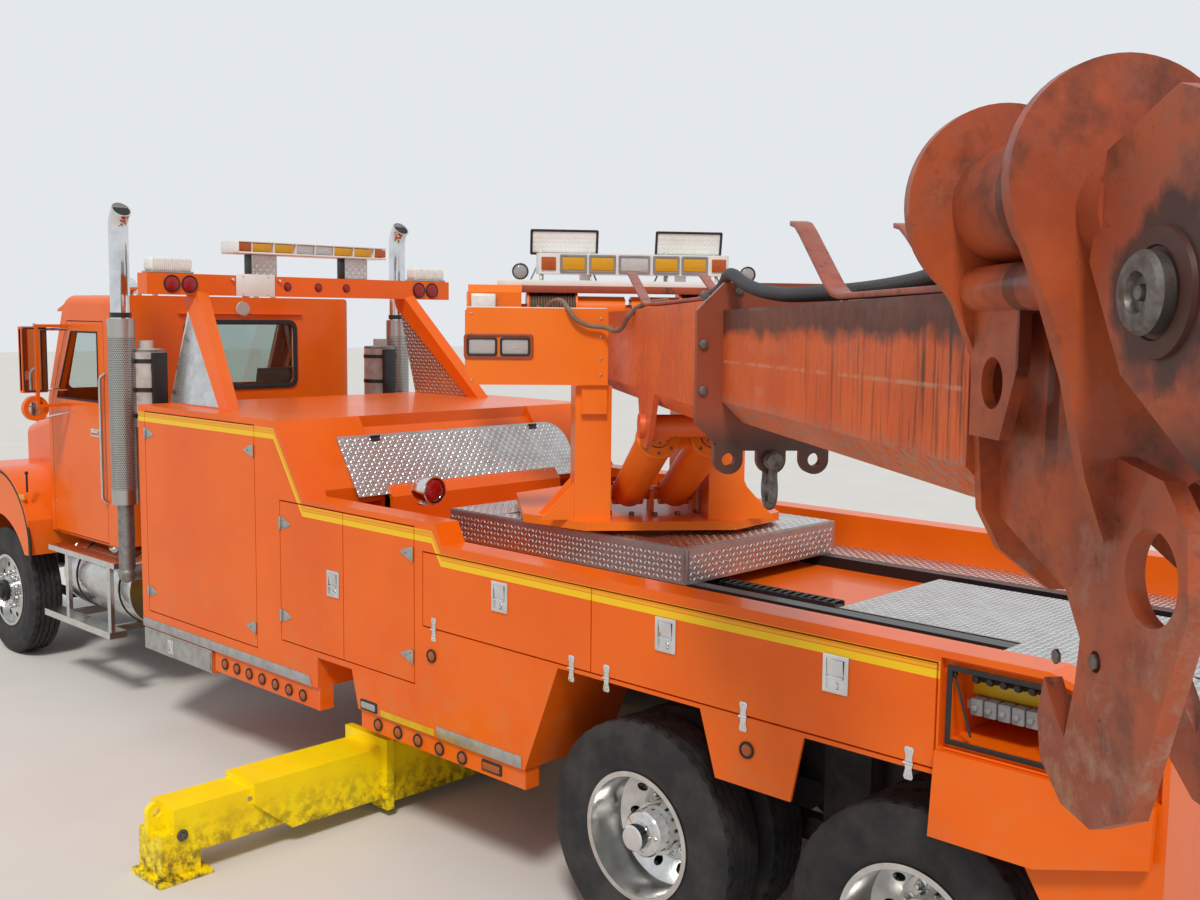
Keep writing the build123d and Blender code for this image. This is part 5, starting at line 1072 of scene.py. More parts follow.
for side, at in MIRRORED:
    spots = [Vector((x, LAMP_FACE_Y, z)) for x, z in RAIL_LAMPS] + [
        Vector((x, SIDE_Y, z)) for x, z in EXTRA_LAMPS
    ]
    rings = copies(round_lamp(RING), spots)
    domes = copies(round_lamp(DOME), spots)
    oblong_ring = settle(oblong(OBLONG_RIM, 0.016, 0.0075), FLASHER)
    oblong_lens = settle(oblong((0.128, 0.038), 0.026, 0.0095), FLASHER)
    finished(f"lamp_grommets_{side}", [rings, oblong_ring], black_rubber, "chassis", at)
    finished(f"marker_lamps_{side}", [domes, oblong_lens], deep_amber_lens, "chassis", at)
    strips = []
    for x0, x1, z, slope in ((2.395, 4.445, 0.75, 0.03), (0.66, 1.3, 0.722, 0.0)):
        outline = [(x0 + slope, z - 0.03), (x1, z - 0.03), (x1, z + 0.03), (x0 + 2 * slope, z + 0.03)]
        strip = slab(outline, 0.004, bevel=0.001)
        strip.rotation_euler = (radians(90), 0, 0)
        strip.location = (0, SIDE_Y + 0.0045, 0)
        strips.append(strip)
    finished(f"trim_strips_{side}", strips, trim_metal, "chassis", at)
    drawer = press_face(
        block((0.885, 0.006, 0.146), (4.0, SIDE_Y - 0.006, 0.636), 0.002), OUT, 0.012, -0.003
    )
    finished(f"drawer_front_{side}", drawer, trim_metal, "chassis", at)
    catch = copies(paddle_latch(), [Matrix.Translation((4.075, SIDE_Y, 0.636)) @ Matrix.Scale(0.62, 4)])
    finished(f"drawer_catch_{side}", catch, chrome, "chassis", at)

# %% [markdown]
# ## The red lamp on the body
# A chromed bullet housing with a red lens stands on the step of the tool body, looking back along the
# truck. Its shell is turned from a profile, and the lens is its own piece behind a bright rim.

# %% Bullet lamps
BULLET = [
    (0, 0), (0.03, 0.004), (0.056, 0.022), (0.07, 0.055), (0.075, 0.105), (0.078, 0.15), (0.078, 0.162),
    (0.07, 0.164), (0.066, 0.15),
]
BULLET_LENS = [(0.066, 0.15), (0.058, 0.16), (0.036, 0.17), (0, 0.174)]
for side, at in MIRRORED:
    lean = turned_at((1.945, 0.905, 1.884), "Y", -90)
    shell = settle(lathe(BULLET, steps=40), lean)
    glass = settle(lathe(BULLET_LENS, steps=40), lean)
    foot = block((0.06, 0.07, 0.012), (1.865, 0.905, 1.805), 0.003)
    finished(f"bullet_lamp_{side}", [shell, foot], chrome, "chassis", at)
    finished(f"bullet_lens_{side}", glass, red_lens, "chassis", at)
print("body side dressed:", len(MADE), "pieces")

# %% [markdown]
# ## Rolled tread plate
# Rolled aluminium tread plate covers every surface that is walked on. Its lugs are pressed up in two
# directions in turn, about 28 mm apart. Each lug is a small ridge with six base points and two on top,
# and a sheet is its outline, thickened, with a lug wherever one fits inside. Bump alone would not catch
# the light along the edges as real ridges do.

# %% Tread plate sheets
LUG_PITCH = 0.028
LUG_HALF = (0.0125, 0.0045)
LUG_HEIGHT = 0.0024
LUG_FACES = [(0, 1, 6), (1, 2, 7, 6), (2, 3, 7), (3, 4, 7), (4, 5, 6, 7), (5, 0, 6), (5, 4, 3, 2, 1, 0)]


def inside(x, y, points, margin=0.01):
    """Whether a point lies in a convex outline that runs anticlockwise, a margin away from its edges."""
    for (x0, y0), (x1, y1) in zip(points, points[1:] + points[:1]):
        length = hypot(x1 - x0, y1 - y0)
        if ((x1 - x0) * (y - y0) - (y1 - y0) * (x - x0)) / length < margin:
            return False
    return True


def tread_sheet(points, at=HERE, thickness=0.003):
    """A sheet of tread plate from its anticlockwise outline in its own plane, lugs up."""
    long, wide = LUG_HALF
    sheet = slab(points, thickness)
    vertices, faces = [], []
    xs, ys = [x for x, y in points], [y for x, y in points]
    columns = int((max(xs) - min(xs)) / LUG_PITCH)
    rows = int((max(ys) - min(ys)) / LUG_PITCH)
    for column in range(columns + 1):
        for row in range(rows + 1):
            x, y = min(xs) + (column + 0.5) * LUG_PITCH, min(ys) + (row + 0.5) * LUG_PITCH
            if not inside(x, y, points):
                continue
            lean = radians(45 if (column + row) % 2 else -45)
            run, rise = cos(lean), sin(lean)
            low = thickness - 0.0002
            corners = [(long, 0, low), (long / 2, wide, low), (-long / 2, wide, low), (-long, 0, low)]
            corners += [(-long / 2, -wide, low), (long / 2, -wide, low)]
            corners += [(long / 2, 0, thickness + LUG_HEIGHT), (-long / 2, 0, thickness + LUG_HEIGHT)]
            faces += [[len(vertices) + i for i in face] for face in LUG_FACES]
            vertices += [(x + run * a - rise * b, y + rise * a + run * b, c) for a, b, c in corners]
    lugs = mesh_piece("lugs", vertices, [], faces)
    for piece in (sheet, lugs):
        piece.data.transform(at)
    return sheet, lugs


def tread_pieces(name, body, sheets_at, at=HERE):
    """Sheets of (outline, place) as one plate, and their brighter lugs as another piece on the same body."""
    made = [tread_sheet(points, place) for points, place in sheets_at]
    finished(name, [sheet for sheet, lugs in made], tread_plate, body, at, smooth=0)
    finished(f"{name}_lugs", [lugs for sheet, lugs in made], lug_metal, body, at, smooth=0)


def facing(origin, right, up):
    """The place of a flat sheet whose own x runs to the right and y up, as someone in front of it sees it."""
    right, up = Vector(right).normalized(), Vector(up).normalized()
    out = right.cross(up)
    return Matrix.Translation(origin) @ Matrix((right, up, out)).transposed().to_4x4()


def oblong_sheet(wide, high):
    """The outline of a plain sheet, anticlockwise from its lower left corner."""
    return [(0, 0), (wide, 0), (wide, high), (0, high)]


# %% [markdown]
# ## The light pylon and its lamps
# Two leaning legs carry a box beam over the front deck. A long light bar stands on two tread-plate blocks,
# with amber, clear and amber modules in a white frame, and each end of the beam has a ribbed strobe on top
# and a pair of red lamps on its rear face. The plate between them is blank. On the real truck, the lamps
# are bought parts screwed to the beam, so each is a housing, a rim and a lens.

# %% Light bar, strobes and red lamps
BEAM_REAR_X = 4.3
BEAM_TOP_Z = 3.1
BAR_SIZE = (0.24, 1.25, 0.09)
BAR_Z = 3.295
MODULES = (
    (0.575, 0.09, deep_amber_lens),
    (0.44, 0.15, amber_lens),
    (0.265, 0.15, amber_lens),
    (0.09, 0.14, clear_lens),
    (-0.07, 0.14, clear_lens),
    (-0.235, 0.15, amber_lens),
    (-0.41, 0.15, amber_lens),
    (-0.57, 0.1, deep_amber_lens),
)
bar_x = BEAM_REAR_X + 0.065
lid = block((BAR_SIZE[0], BAR_SIZE[1], 0.012), (bar_x, 0, BAR_Z + 0.039), 0.005)
base = block((BAR_SIZE[0], BAR_SIZE[1], 0.014), (bar_x, 0, BAR_Z - 0.038), 0.005)
core = block((BAR_SIZE[0] - 0.05, BAR_SIZE[1] - 0.05, 0.072), (bar_x, 0, BAR_Z), 0)
posts = [
    block((BAR_SIZE[0] - 0.008, 0.007, 0.074), (bar_x, y + w / 2 + 0.006, BAR_Z), 0.001)
    for y, w, glass in MODULES
]
finished("light_bar_frame", [lid, base, core] + posts, white_enamel, replaces=("beacons",))
for kind in (amber_lens, deep_amber_lens, clear_lens):
    lenses = []
    for y, wide, glass in MODULES:
        if glass == kind:
            for x in (-1, 1):
                lenses.append(
                    block((0.022, wide, 0.056), (bar_x + x * (BAR_SIZE[0] / 2 - 0.015), y, BAR_Z), 0.006)
                )
    finished(f"light_bar_{kind.name.split('_acrylic')[0]}_modules", lenses, kind)
blocks, plates = [], []
for y in (-0.39, 0.39):
    blocks.append(block((0.104, 0.194, 0.15), (bar_x, y, BEAM_TOP_Z + 0.075), 0.004))
    plates.append(
        (
            oblong_sheet(0.2, 0.146),
            facing((bar_x - 0.053, y + 0.1, BEAM_TOP_Z + 0.002), (0, -1, 0), (0, 0, 1)),
        )
    )
    plates.append(
        (
            oblong_sheet(0.104, 0.146),
            facing((bar_x - 0.052, y - 0.097, BEAM_TOP_Z + 0.002), (1, 0, 0), (0, 0, 1)),
        )
    )
finished("light_bar_blocks", blocks, black_plastic)
tread_pieces("light_bar_block_plates", "chassis", plates)


def strobe(y):
    """A cream lens in the shape of a loaf, ribbed all round, on a flat foot."""
    loaf = block((0.112, 0.3, 0.092), (bar_x, y, BEAM_TOP_Z + 0.06), 0.022, segments=4)
    ribs = [
        block((0.118, 0.006, 0.078), (bar_x, y + (i - 9) * 0.0148, BEAM_TOP_Z + 0.054), 0.002)
        for i in range(19)
    ]
    return [loaf] + ribs


finished("strobe_lenses", strobe(1.09) + strobe(-1.09), white_reflector)
feet = [block((0.12, 0.312, 0.014), (bar_x, y, BEAM_TOP_Z + 0.0075), 0.004) for y in (1.09, -1.09)]
finished("strobe_feet", feet, trim_metal)

RIM = [(0.0, 0.0), (0.058, 0.0), (0.06, 0.006), (0.057, 0.011), (0.052, 0.008), (0.05, 0.002), (0.0, 0.002)]
RED_DOME = [(0.05, 0.002), (0.049, 0.008), (0.038, 0.013), (0.02, 0.016), (0, 0.017)]


def rear_facing(x, y, z, scale=1.0):
    """The place of a turned lamp that looks to the rear."""
    return turned_at((x, y, z), "Y", -90) @ Matrix.Scale(scale, 4)


pairs = [rear_facing(BEAM_REAR_X, s * y, 3.03) for s in (1, -1) for y in (1.1, 0.972)]
singles = [rear_facing(BEAM_REAR_X, y, 3.03, 0.52) for y in (0.212, -0.048, -0.292)]
finished("pylon_lamp_rims", copies(lathe(RIM, steps=32), pairs + singles), black_rubber)
finished("pylon_red_lamps", copies(lathe(RED_DOME, steps=32), pairs + singles), red_lens)
plate = block((0.003, 0.305, 0.155), (BEAM_REAR_X - 0.004, 0.47, 3.034), 0.001)
finished("blank_plate", plate, white_enamel)
screws = [
    drum(0.006, 0.006, (BEAM_REAR_X - 0.007, 0.47 + y, 3.034 + z), "X", 12, 0.001) for y in (-0.1, 0.1)
    for z in (-0.062, 0.062)
]
screws += [drum(0.012, 0.02, (BEAM_REAR_X - 0.01, y, 3.07), "X", 16, 0.004) for y in (0.655, 0.285)]
finished("plate_lamps", screws, chrome)

# %% [markdown]
# ## Plates on the pylon legs
# The far leg is filled in with tread plate and the near one with a polished sheet, both set back from the
# painted edge of the leg. The sheets lie in the plane of the leaning leg.

# %% Infill plates of the legs
LEG_FOOT_Y, LEG_HEAD_Y = 1.05, 0.88
LEG_FOOT_Z, LEG_HEAD_Z = 2.225, 2.96
for side, s in SIDES:
    up = Vector((0, s * (LEG_HEAD_Y - LEG_FOOT_Y), LEG_HEAD_Z - LEG_FOOT_Z))
    out = Vector((0, s, 0)) - up * (Vector((0, s, 0)).dot(up) / up.length_squared)
    face = Vector((0, s * LEG_FOOT_Y, LEG_FOOT_Z)) + out.normalized() * 0.0125
    height = up.length
    triangle = [(3.745, 0.004), (4.425, 0.004), (4.425, height - 0.085), (4.385, height - 0.085)]
    if s > 0:
        triangle = [(-x, y) for x, y in reversed(triangle)]
        at = Matrix.Translation(face) @ Matrix(
            (Vector((-1, 0, 0)), up.normalized(), Vector((-1, 0, 0)).cross(up.normalized()))
        ).transposed().to_4x4()
        finished("leg_sheet_left", slab(triangle, 0.003, at, 0.0005), polished)
    else:
        triangle = [(x, y) for x, y in triangle]
        for name, base, sign in (
            ("leg_tread_right_outer", face, 1),
            ("leg_tread_right_inner", face - out.normalized() * 0.025, -1),
        ):
            right = Vector((sign, 0, 0))
            points = [(sign * x, y) for x, y in triangle]
            points = points if sign > 0 else list(reversed(points))
            at = Matrix.Translation(base) @ Matrix(
                (right, up.normalized(), right.cross(up.normalized()))
            ).transposed().to_4x4()
            tread_pieces(name, "chassis", [(points, at)])

# %% [markdown]
# ## Exhaust stacks
# Behind the cab stand two exhaust stacks: a chromed pipe with a curved tip, a perforated heat shield below
# it, and a ribbed silencer can beside it, held by clamps. The pipes are swept, the shields and cans turned.
# The shield's holes are a pattern in its material, staggered 12.5 mm apart round the pipe, each a
# dark, matt spot of painted shade where a gap would be.

# %% Stacks and silencers
STACK_X, STACK_Y = 4.86, 1.19
STACK_TOP_Z = 3.42 - 0.002
SHIELD_Z = (1.5, 2.79)
SHIELD_R, PIPE_R, CAN_R = 0.0885, 0.0665, 0.1265
TIP_R, TIP_BEND = 0.15, 50
perforated, tree, shader = finish_of("perforated_steel_shield", "B9B6B1", metallic=1.0, roughness=0.32)
axes = node(tree, "SeparateXYZ", place_of(tree)).node.outputs
across = node(
    tree, "Math", node(tree, "Math", axes["Y"], operation="ABSOLUTE"), STACK_Y, operation="SUBTRACT"
)
along = node(tree, "Math", axes["X"], STACK_X, operation="SUBTRACT")
HOLE_PITCH, HOLE_R = 0.0125, 0.0042
angle = node(tree, "Math", across, along, operation="ARCTAN2")
turns = product(tree, angle, SHIELD_R / HOLE_PITCH)
rows = node(tree, "Math", axes["Z"], HOLE_PITCH, operation="DIVIDE")
odd = node(tree, "Math", node(tree, "Math", rows, operation="FLOOR"), 2.0, operation="MODULO")
turns = node(
    tree, "Math", turns, node(tree, "Math", product(tree, odd, 0.5), 100.0, operation="ADD"),
    operation="ADD",
)
u = node(tree, "Math", node(tree, "Math", turns, operation="FRACT"), 0.5, operation="SUBTRACT")
v = node(tree, "Math", node(tree, "Math", rows, operation="FRACT"), 0.5, operation="SUBTRACT")
reach = node(tree, "Math", product(tree, u, u), product(tree, v, v), operation="ADD")
limit = (HOLE_R / HOLE_PITCH) ** 2
hole = node(tree, "MapRange", reach, limit * 0.8, limit * 1.2, 1.0, 0.0)
perforated_z = product(
    tree, node(tree, "MapRange", axes["Z"], 1.6, 1.61), node(tree, "MapRange", axes["Z"], 2.67, 2.66)
)
hole = product(tree, hole, perforated_z)
# Painted shade: each hole is a dark, matt spot on the uncut sheet, standing for a gap.
tree.links.new(node(tree, "Mix", hole, "B9B6B1", "1C1A19"), shader.inputs["Base Color"])
tree.links.new(node(tree, "MapRange", hole, 0, 1, 1.0, 0.0), shader.inputs["Metallic"])
raised(tree, shader, hole, -1.0)
can_finish = plain_finish("heat_bleached_can", "C9C2BC", "A79B92", 0.5, 90, 0.1, 5)
pipes, shields, cans, clamps, mouths = [], [], [], [], []
for side, s in SIDES:
    y = s * STACK_Y
    arc = [
        (STACK_X - TIP_R + TIP_R * cos(radians(a)), y, STACK_TOP_Z + TIP_R * sin(radians(a)))
        for a in range(0, TIP_BEND + 1, 10)
    ]
    pipes.append(
        bar([(STACK_X, y, SHIELD_Z[1] - 0.05), (STACK_X, y, STACK_TOP_Z)] + arc[1:], PIPE_R, 0.02, 32)
    )
    tip, before = Vector(arc[-1]), Vector(arc[-2])
    lean = (tip - before).to_track_quat("Z", "Y").to_matrix().to_4x4()
    rim = settle(
        lathe(
            [
                (0.055, -0.004), (0.0685, -0.006), (0.0695, 0.0), (0.0675, 0.004), (0.06, 0.003),
                (0.055, -0.004),
            ],
            steps=40,
        )
    )
    pipes.append(settle(rim, Matrix.Translation(tip) @ lean))
    mouths.append(settle(drum(0.0585, 0.006, (0, 0, 0), "Z", 40), Matrix.Translation(tip) @ lean))
    wall = SHIELD_R + 0.003
    profile = [
        (0.067, SHIELD_Z[1] + 0.002), (wall, SHIELD_Z[1] + 0.002), (wall, SHIELD_Z[0]), (0.057, SHIELD_Z[0])
    ]
    shields.append(lathe(profile, (STACK_X, y, 0), steps=56))
    can_y = s * 1.01
    profile = [
        (0, 2.585), (0.06, 2.585), (0.105, 2.58), (CAN_R, 2.56), (CAN_R, 2.04), (0.105, 2.022), (0, 2.018)
    ]
    cans.append(lathe(profile, (STACK_X, can_y, 0), steps=48))
    cans.append(lathe([(0, 2.64), (0.052, 2.64), (0.052, 2.58), (0, 2.58)], (STACK_X, can_y, 0), steps=32))
    for z in (2.12, 2.3, 2.5):
        clamps.append(
            lathe(
                [(0.126, z - 0.014), (0.131, z - 0.014), (0.131, z + 0.014), (0.126, z + 0.014)],
                (STACK_X, can_y, 0), steps=48,
            )
        )
    for z in (2.15, 2.45):
        clamps.append(block((0.05, 0.06, 0.04), (STACK_X - 0.135, can_y, z), 0.004))
    clamps.append(block((0.03, 0.11, 0.52), (STACK_X - 0.15, can_y - s * 0.02, 2.3), 0.004))
    clamps.append(
        lathe([(0.066, 2.8), (0.072, 2.8), (0.072, 2.835), (0.066, 2.835)], (STACK_X, y, 0), steps=40)
    )
finished("stack_pipes", pipes, chrome, smooth=40)
finished("stack_mouths", mouths, black_rubber)
finished("stack_shields", shields, perforated, smooth=40)
finished("silencer_cans", cans, can_finish, smooth=40)
finished("silencer_clamps", clamps, black_plastic)
print("pylon and stacks dressed:", len(MADE), "pieces")

# %% [markdown]
# ## Cab rear window, mirrors and door trim
# The rear window sits in a thick rubber gasket under a small rain lip. The mirrors hang on bent tube arms
# off the doors: a tall flat glass above a round one, in black shells. A visor shades the
# windscreen. Every door has a handle, and its window a rubber seal.

# %% Cab windows and mirrors
def ring_sheet(outer, inner, thickness, at):
    """A flat frame between two outlines with the same number of points."""
    count = len(outer)
    places = [(x, y, z) for z in (0, thickness) for x, y in outer + inner]
    faces = []
    for i in range(count):
        j = (i + 1) % count
        low = [i, j, count + j, count + i]
        faces += [low[::-1], [2 * count + k for k in low]]
        faces += [[i, j, 2 * count + j, 2 * count + i], [count + j, count + i, 3 * count + i, 3 * count + j]]
    piece = face_outwards(mesh_piece("ring", places, [], faces))
    modifier(
        piece, "BEVEL", width=thickness * 0.3, segments=2, limit_method="ANGLE", angle_limit=radians(50)
    )
    piece.data.transform(at)
    return piece


def rounded(corners, radius, steps=5):
    """An outline with each corner cut to an arc, always with the same number of points per corner."""
    points = []
    for i, corner in enumerate(corners):
        corner = Vector(corner)
        to = (Vector(corners[i - 1]) - corner).normalized() * radius
        on = (Vector(corners[(i + 1) % len(corners)]) - corner).normalized() * radius
        for step in range(steps + 1):
            share = step / steps
            a, b = (corner + to).lerp(corner, share), corner.lerp(corner + on, share)
            points.append(tuple(a.lerp(b, share)))
    return points


CAB_REAR_X = 5.279
REAR_WINDOW = [(-0.47, 2.27), (0.47, 2.27), (0.47, 2.76), (-0.47, 2.76)]


def grown(corners, by):
    """A box outline made larger all round."""
    (x0, y0), (x1, y1) = corners[0], corners[2]
    return [(x0 - by, y0 - by), (x1 + by, y0 - by), (x1 + by, y1 + by), (x0 - by, y1 + by)]


rear = facing((CAB_REAR_X, 0, 0), (0, -1, 0), (0, 0, 1))
gasket = ring_sheet(
    rounded(grown(REAR_WINDOW, 0.026), 0.082), rounded(grown(REAR_WINDOW, -0.012), 0.05), 0.01, rear
)
finished("rear_window_gasket", gasket, black_rubber)
lip = block((0.03, 1.08, 0.006), (5.272, 0, 2.828), 0.002, (0, 14, 0))
finished("rear_window_rain_lip", lip, cab_enamel)
lamp = settle(lathe([(0, 0), (0.052, 0), (0.058, 0.012), (0.054, 0.03), (0, 0.034)], steps=32))
lamp_place = rear_facing(CAB_REAR_X, 0, 2.87)
finished("cab_cargo_lamp", copies(lamp, [lamp_place]), clear_lens)

MIRROR_X, MIRROR_Y, MIRROR_Z = 6.127, 1.275, 2.47
POLE_Y, ARM_FOOT = 1.262, (6.087, 1.03)
HANDLE_X, HANDLE_Z = 5.66, 1.93
DOOR_SKIN_Y, GRAB_X = 1.017, 5.48
for side, at in MIRRORED:
    shell = block((0.066, 0.19, 0.5), (MIRROR_X, MIRROR_Y, MIRROR_Z), 0.018, segments=3)
    finished(f"mirror_shell_{side}", shell, black_plastic, f"cab_door_{side}", at)
    glass_rim = ring_sheet(
        rounded([(-0.09, -0.24), (0.09, -0.24), (0.09, 0.24), (-0.09, 0.24)], 0.022),
        rounded([(-0.08, -0.23), (0.08, -0.23), (0.08, 0.23), (-0.08, 0.23)], 0.016),
        0.007,
        facing((MIRROR_X - 0.033, MIRROR_Y, MIRROR_Z), (0, -1, 0), (0, 0, 1)),
    )
    finished(f"mirror_rim_{side}", glass_rim, black_rubber, f"cab_door_{side}", at)
    glass = block((0.004, 0.164, 0.462), (MIRROR_X - 0.035, MIRROR_Y, MIRROR_Z), 0)
    convex = settle(
        lathe([(0, 0.016), (0.045, 0.012), (0.08, 0.001), (0.086, -0.002), (0, -0.002)], steps=40)
    )
    convex = copies(convex, [rear_facing(MIRROR_X - 0.022, MIRROR_Y, 2.1)])
    finished(f"mirror_glass_{side}", [glass, convex], mirror_glass, f"cab_door_{side}", at)
    arms = [
        bar([(*ARM_FOOT, z), (6.105, 1.18, z), (MIRROR_X, POLE_Y, z)], 0.011, 0.05, 12) for z in (2.24, 2.7)
    ]
    arms.append(bar([(MIRROR_X, POLE_Y, 1.99), (MIRROR_X, POLE_Y, 2.745)], 0.012, 0.0, 12))
    arms.append(
        bar([(*ARM_FOOT, 2.06), (6.11, 1.18, 2.03), (MIRROR_X, POLE_Y - 0.007, 2.01)], 0.009, 0.05, 12)
    )
    finished(f"mirror_arms_{side}", arms, chrome, f"cab_door_{side}", at)
    handle_frame = press_face(
        block((0.15, 0.012, 0.062), (HANDLE_X, 1.02, HANDLE_Z), 0.004), OUT, 0.01, 0.008
    )
    paddle = block((0.11, 0.014, 0.022), (5.665, 1.024, 1.938), 0.005)
    finished(f"door_handle_{side}", [handle_frame, paddle], chrome, f"cab_door_{side}", at)
    window = [(5.59, 2.16), (6.32, 2.16), (6.3, 2.2), (6.04, 2.69), (5.59, 2.69)]
    inner = [(5.604, 2.174), (6.297, 2.174), (6.287, 2.196), (6.031, 2.676), (5.604, 2.676)]
    at_door = turned_at((0, DOOR_SKIN_Y, 0), "X", 90) @ Matrix.Scale(-1, 4, (0, 0, 1))
    seal = ring_sheet(window, inner, 0.008, at_door)
    finished(f"door_window_seal_{side}", seal, black_rubber, f"cab_door_{side}", at)
    grab = bar(
        [(GRAB_X, 1.022, 1.42), (GRAB_X, 1.062, 1.45), (GRAB_X, 1.062, 2.35), (GRAB_X, 1.022, 2.38)], 0.013,
        0.03, 16,
    )
    finished(f"grab_rail_{side}", grab, polished, "chassis", at)

# %% [markdown]
# ## Roof, hood and front
# Five small marker lamps stand on the cab roof, with two air horns between them. The hood is held by a
# rubber strap at each side, the front wheel opening is edged with a black rubber flare, and the grille has
# bright horizontal bars before a dark mesh. Headlamps are a chrome bezel, a lens and a reflector.

# %% Roof lamps, horns and hood details
ROOF_Z = 2.96
roof_lamp = block((0.11, 0.066, 0.03), (0, 0, -0.006), 0.012, segments=4)
places = [Vector((6.13, y, ROOF_Z - 0.004)) for y in (-0.76, -0.3, 0.0, 0.3, 0.76)]
finished("cab_roof_lamps", copies(roof_lamp, places), amber_lens)
horn_profile = [
    (0.0, 0), (0.022, 0.002), (0.026, 0.05), (0.02, 0.12), (0.022, 0.3), (0.034, 0.44), (0.068, 0.52),
    (0.072, 0.522),
]
horn_profile += [(0.062, 0.512), (0.03, 0.44), (0.0, 0.3)]
horns = []
for y in (-0.52, 0.52):
    horns.append(settle(lathe(horn_profile, (5.56, y, ROOF_Z + 0.075), "X", 32)))
    horns += [block((0.04, 0.03, 0.08), (x, y, ROOF_Z + 0.035), 0.004) for x in (5.66, 5.92)]
finished("air_horns", horns, chrome)

GRILLE_X, GRILLE_HALF, GRILLE_Z = 7.958, 0.42, (1.08, 1.7)
BAR_PITCH = 0.0435
HEADLAMP = (7.962, 1.0, 1.265)
ARCH_CENTRE, ARCH_Y, ARCH_R = (7.08, 0.925), 1.208, 0.612
bars = [
    block((0.02, 2 * GRILLE_HALF - 0.02, 0.012), (GRILLE_X, 0, 1.128 + i * BAR_PITCH), 0.004)
    for i in range(13)
]
frame_bars = [block((0.03, 0.03, 0.64), (7.955, y, 1.39), 0.006) for y in (-GRILLE_HALF, GRILLE_HALF)]
frame_bars += [block((0.03, 0.87, 0.03), (7.955, 0, z), 0.006) for z in GRILLE_Z]
finished("grille_bars", bars + frame_bars, chrome, "hood")
for side, at in MIRRORED:
    bezel = ring_sheet(
        rounded([(-0.16, -0.095), (0.16, -0.095), (0.16, 0.095), (-0.16, 0.095)], 0.03),
        rounded([(-0.135, -0.072), (0.135, -0.072), (0.135, 0.072), (-0.135, 0.072)], 0.022),
        0.012,
        facing(HEADLAMP, (0, 1, 0), (0, 0, 1)),
    )
    finished(f"headlamp_bezel_{side}", bezel, chrome, "hood", at)
    lens_piece = block((0.012, 0.268, 0.142), HEADLAMP, 0.005)
    finished(f"headlamp_lens_{side}", lens_piece, clear_lens, "hood", at)
    strap = [
        block((0.014, 0.016, 0.15), (6.52, 1.196, 1.48), 0.005),
        drum(0.013, 0.022, (6.52, 1.197, 1.56), "Y", 16, 0.003),
    ]
    finished(f"hood_strap_{side}", strap, black_rubber, "hood", at)
    arc = [
        (ARCH_CENTRE[0] + ARCH_R * cos(radians(a)), ARCH_Y, ARCH_CENTRE[1] + ARCH_R * sin(radians(a)))
        for a in range(-8, 189, 7)
    ]
    flare = bar(arc, 0.013, 0.0, 12)
    finished(f"wheel_arch_flare_{side}", flare, black_rubber, "hood", at)
    marker = block((0.11, 0.018, 0.046), (6.6, 1.207, 1.36), 0.008, segments=3)
    finished(f"fender_marker_{side}", marker, amber_lens, "hood", at)
hood_lip = bar([(6.5, -0.745, 2.117), (6.5, 0.745, 2.117)], 0.006, 0, 8)
finished("hood_rear_seal", hood_lip, black_rubber, "hood")

# %% [markdown]
# ## Bumper and tanks
# The bumper carries two fog lamps and a blank plate. The fuel tanks are polished aluminium drums, and here
# they get a rolled seam near each end, rubber liners under their straps and a filler cap with a grip.

# %% Bumper and tanks
FOG_RIM = [(0, 0), (0.062, 0), (0.07, 0.006), (0.066, 0.01), (0.06, 0.002), (0, 0.002)]
FOG_X, FOG_Y, FOG_Z = 8.027, 0.76, 0.64
TANK_Y, TANK_Z = 0.79, 0.8
fogs = copies(lathe(FOG_RIM, steps=36), [turned_at((FOG_X, y, FOG_Z), "Y", 90) for y in (-FOG_Y, FOG_Y)])
finished("fog_lamp_rims", fogs, chrome)
domes = copies(
    lathe([(0, 0.008), (0.03, 0.007), (0.06, 0.002), (0, 0)], steps=36),
    [turned_at((FOG_X + 0.002, y, FOG_Z), "Y", 90) for y in (-FOG_Y, FOG_Y)],
)
finished("fog_lamp_lenses", domes, clear_lens)
finished("front_blank_plate", block((0.004, 0.31, 0.155), (8.036, 0, 0.6), 0.001), white_enamel)
for side, at in MIRRORED:
    straps = []
    for x in (5.28, 5.98):
        ring = [
            (0.2815, x - 0.038), (0.285, x - 0.038), (0.285, x + 0.038), (0.2815, x + 0.038),
            (0.2815, x - 0.038),
        ]
        straps.append(lathe(ring, (0, TANK_Y, TANK_Z), "X", 72))
    finished(f"tank_strap_liners_{side}", straps, black_rubber, "chassis", at)
    seams = [
        lathe(
            [(0.28, x - 0.006), (0.2835, x - 0.003), (0.2835, x + 0.003), (0.28, x + 0.006)],
            (0, TANK_Y, TANK_Z), "X", 72,
        )
        for x in (5.1, 6.16)
    ]
    finished(f"tank_seams_{side}", seams, polished, "chassis", at)
    cap = [
        drum(0.055, 0.04, (5.62, 0.905, 1.058), "Z", 32, 0.006, (-24, 0, 0)),
        drum(0.04, 0.05, (5.62, 0.893, 1.03), "Z", 32, 0.002, (-24, 0, 0)),
    ]
    cap += [block((0.014, 0.09, 0.018), (5.62, 0.912, 1.08), 0.004, (-24, 0, 0))]
    finished(f"tank_cap_{side}", cap, chrome, "chassis", at)

# %% [markdown]
# ## Seats
# Behind the glass are two high-backed seats with padded cushions and bolsters, covered in grey vinyl.
# The CAD solid, with the bench behind them, gives their size, and these covers give them soft, sewn forms,
# because foam under vinyl bulges between its seams.

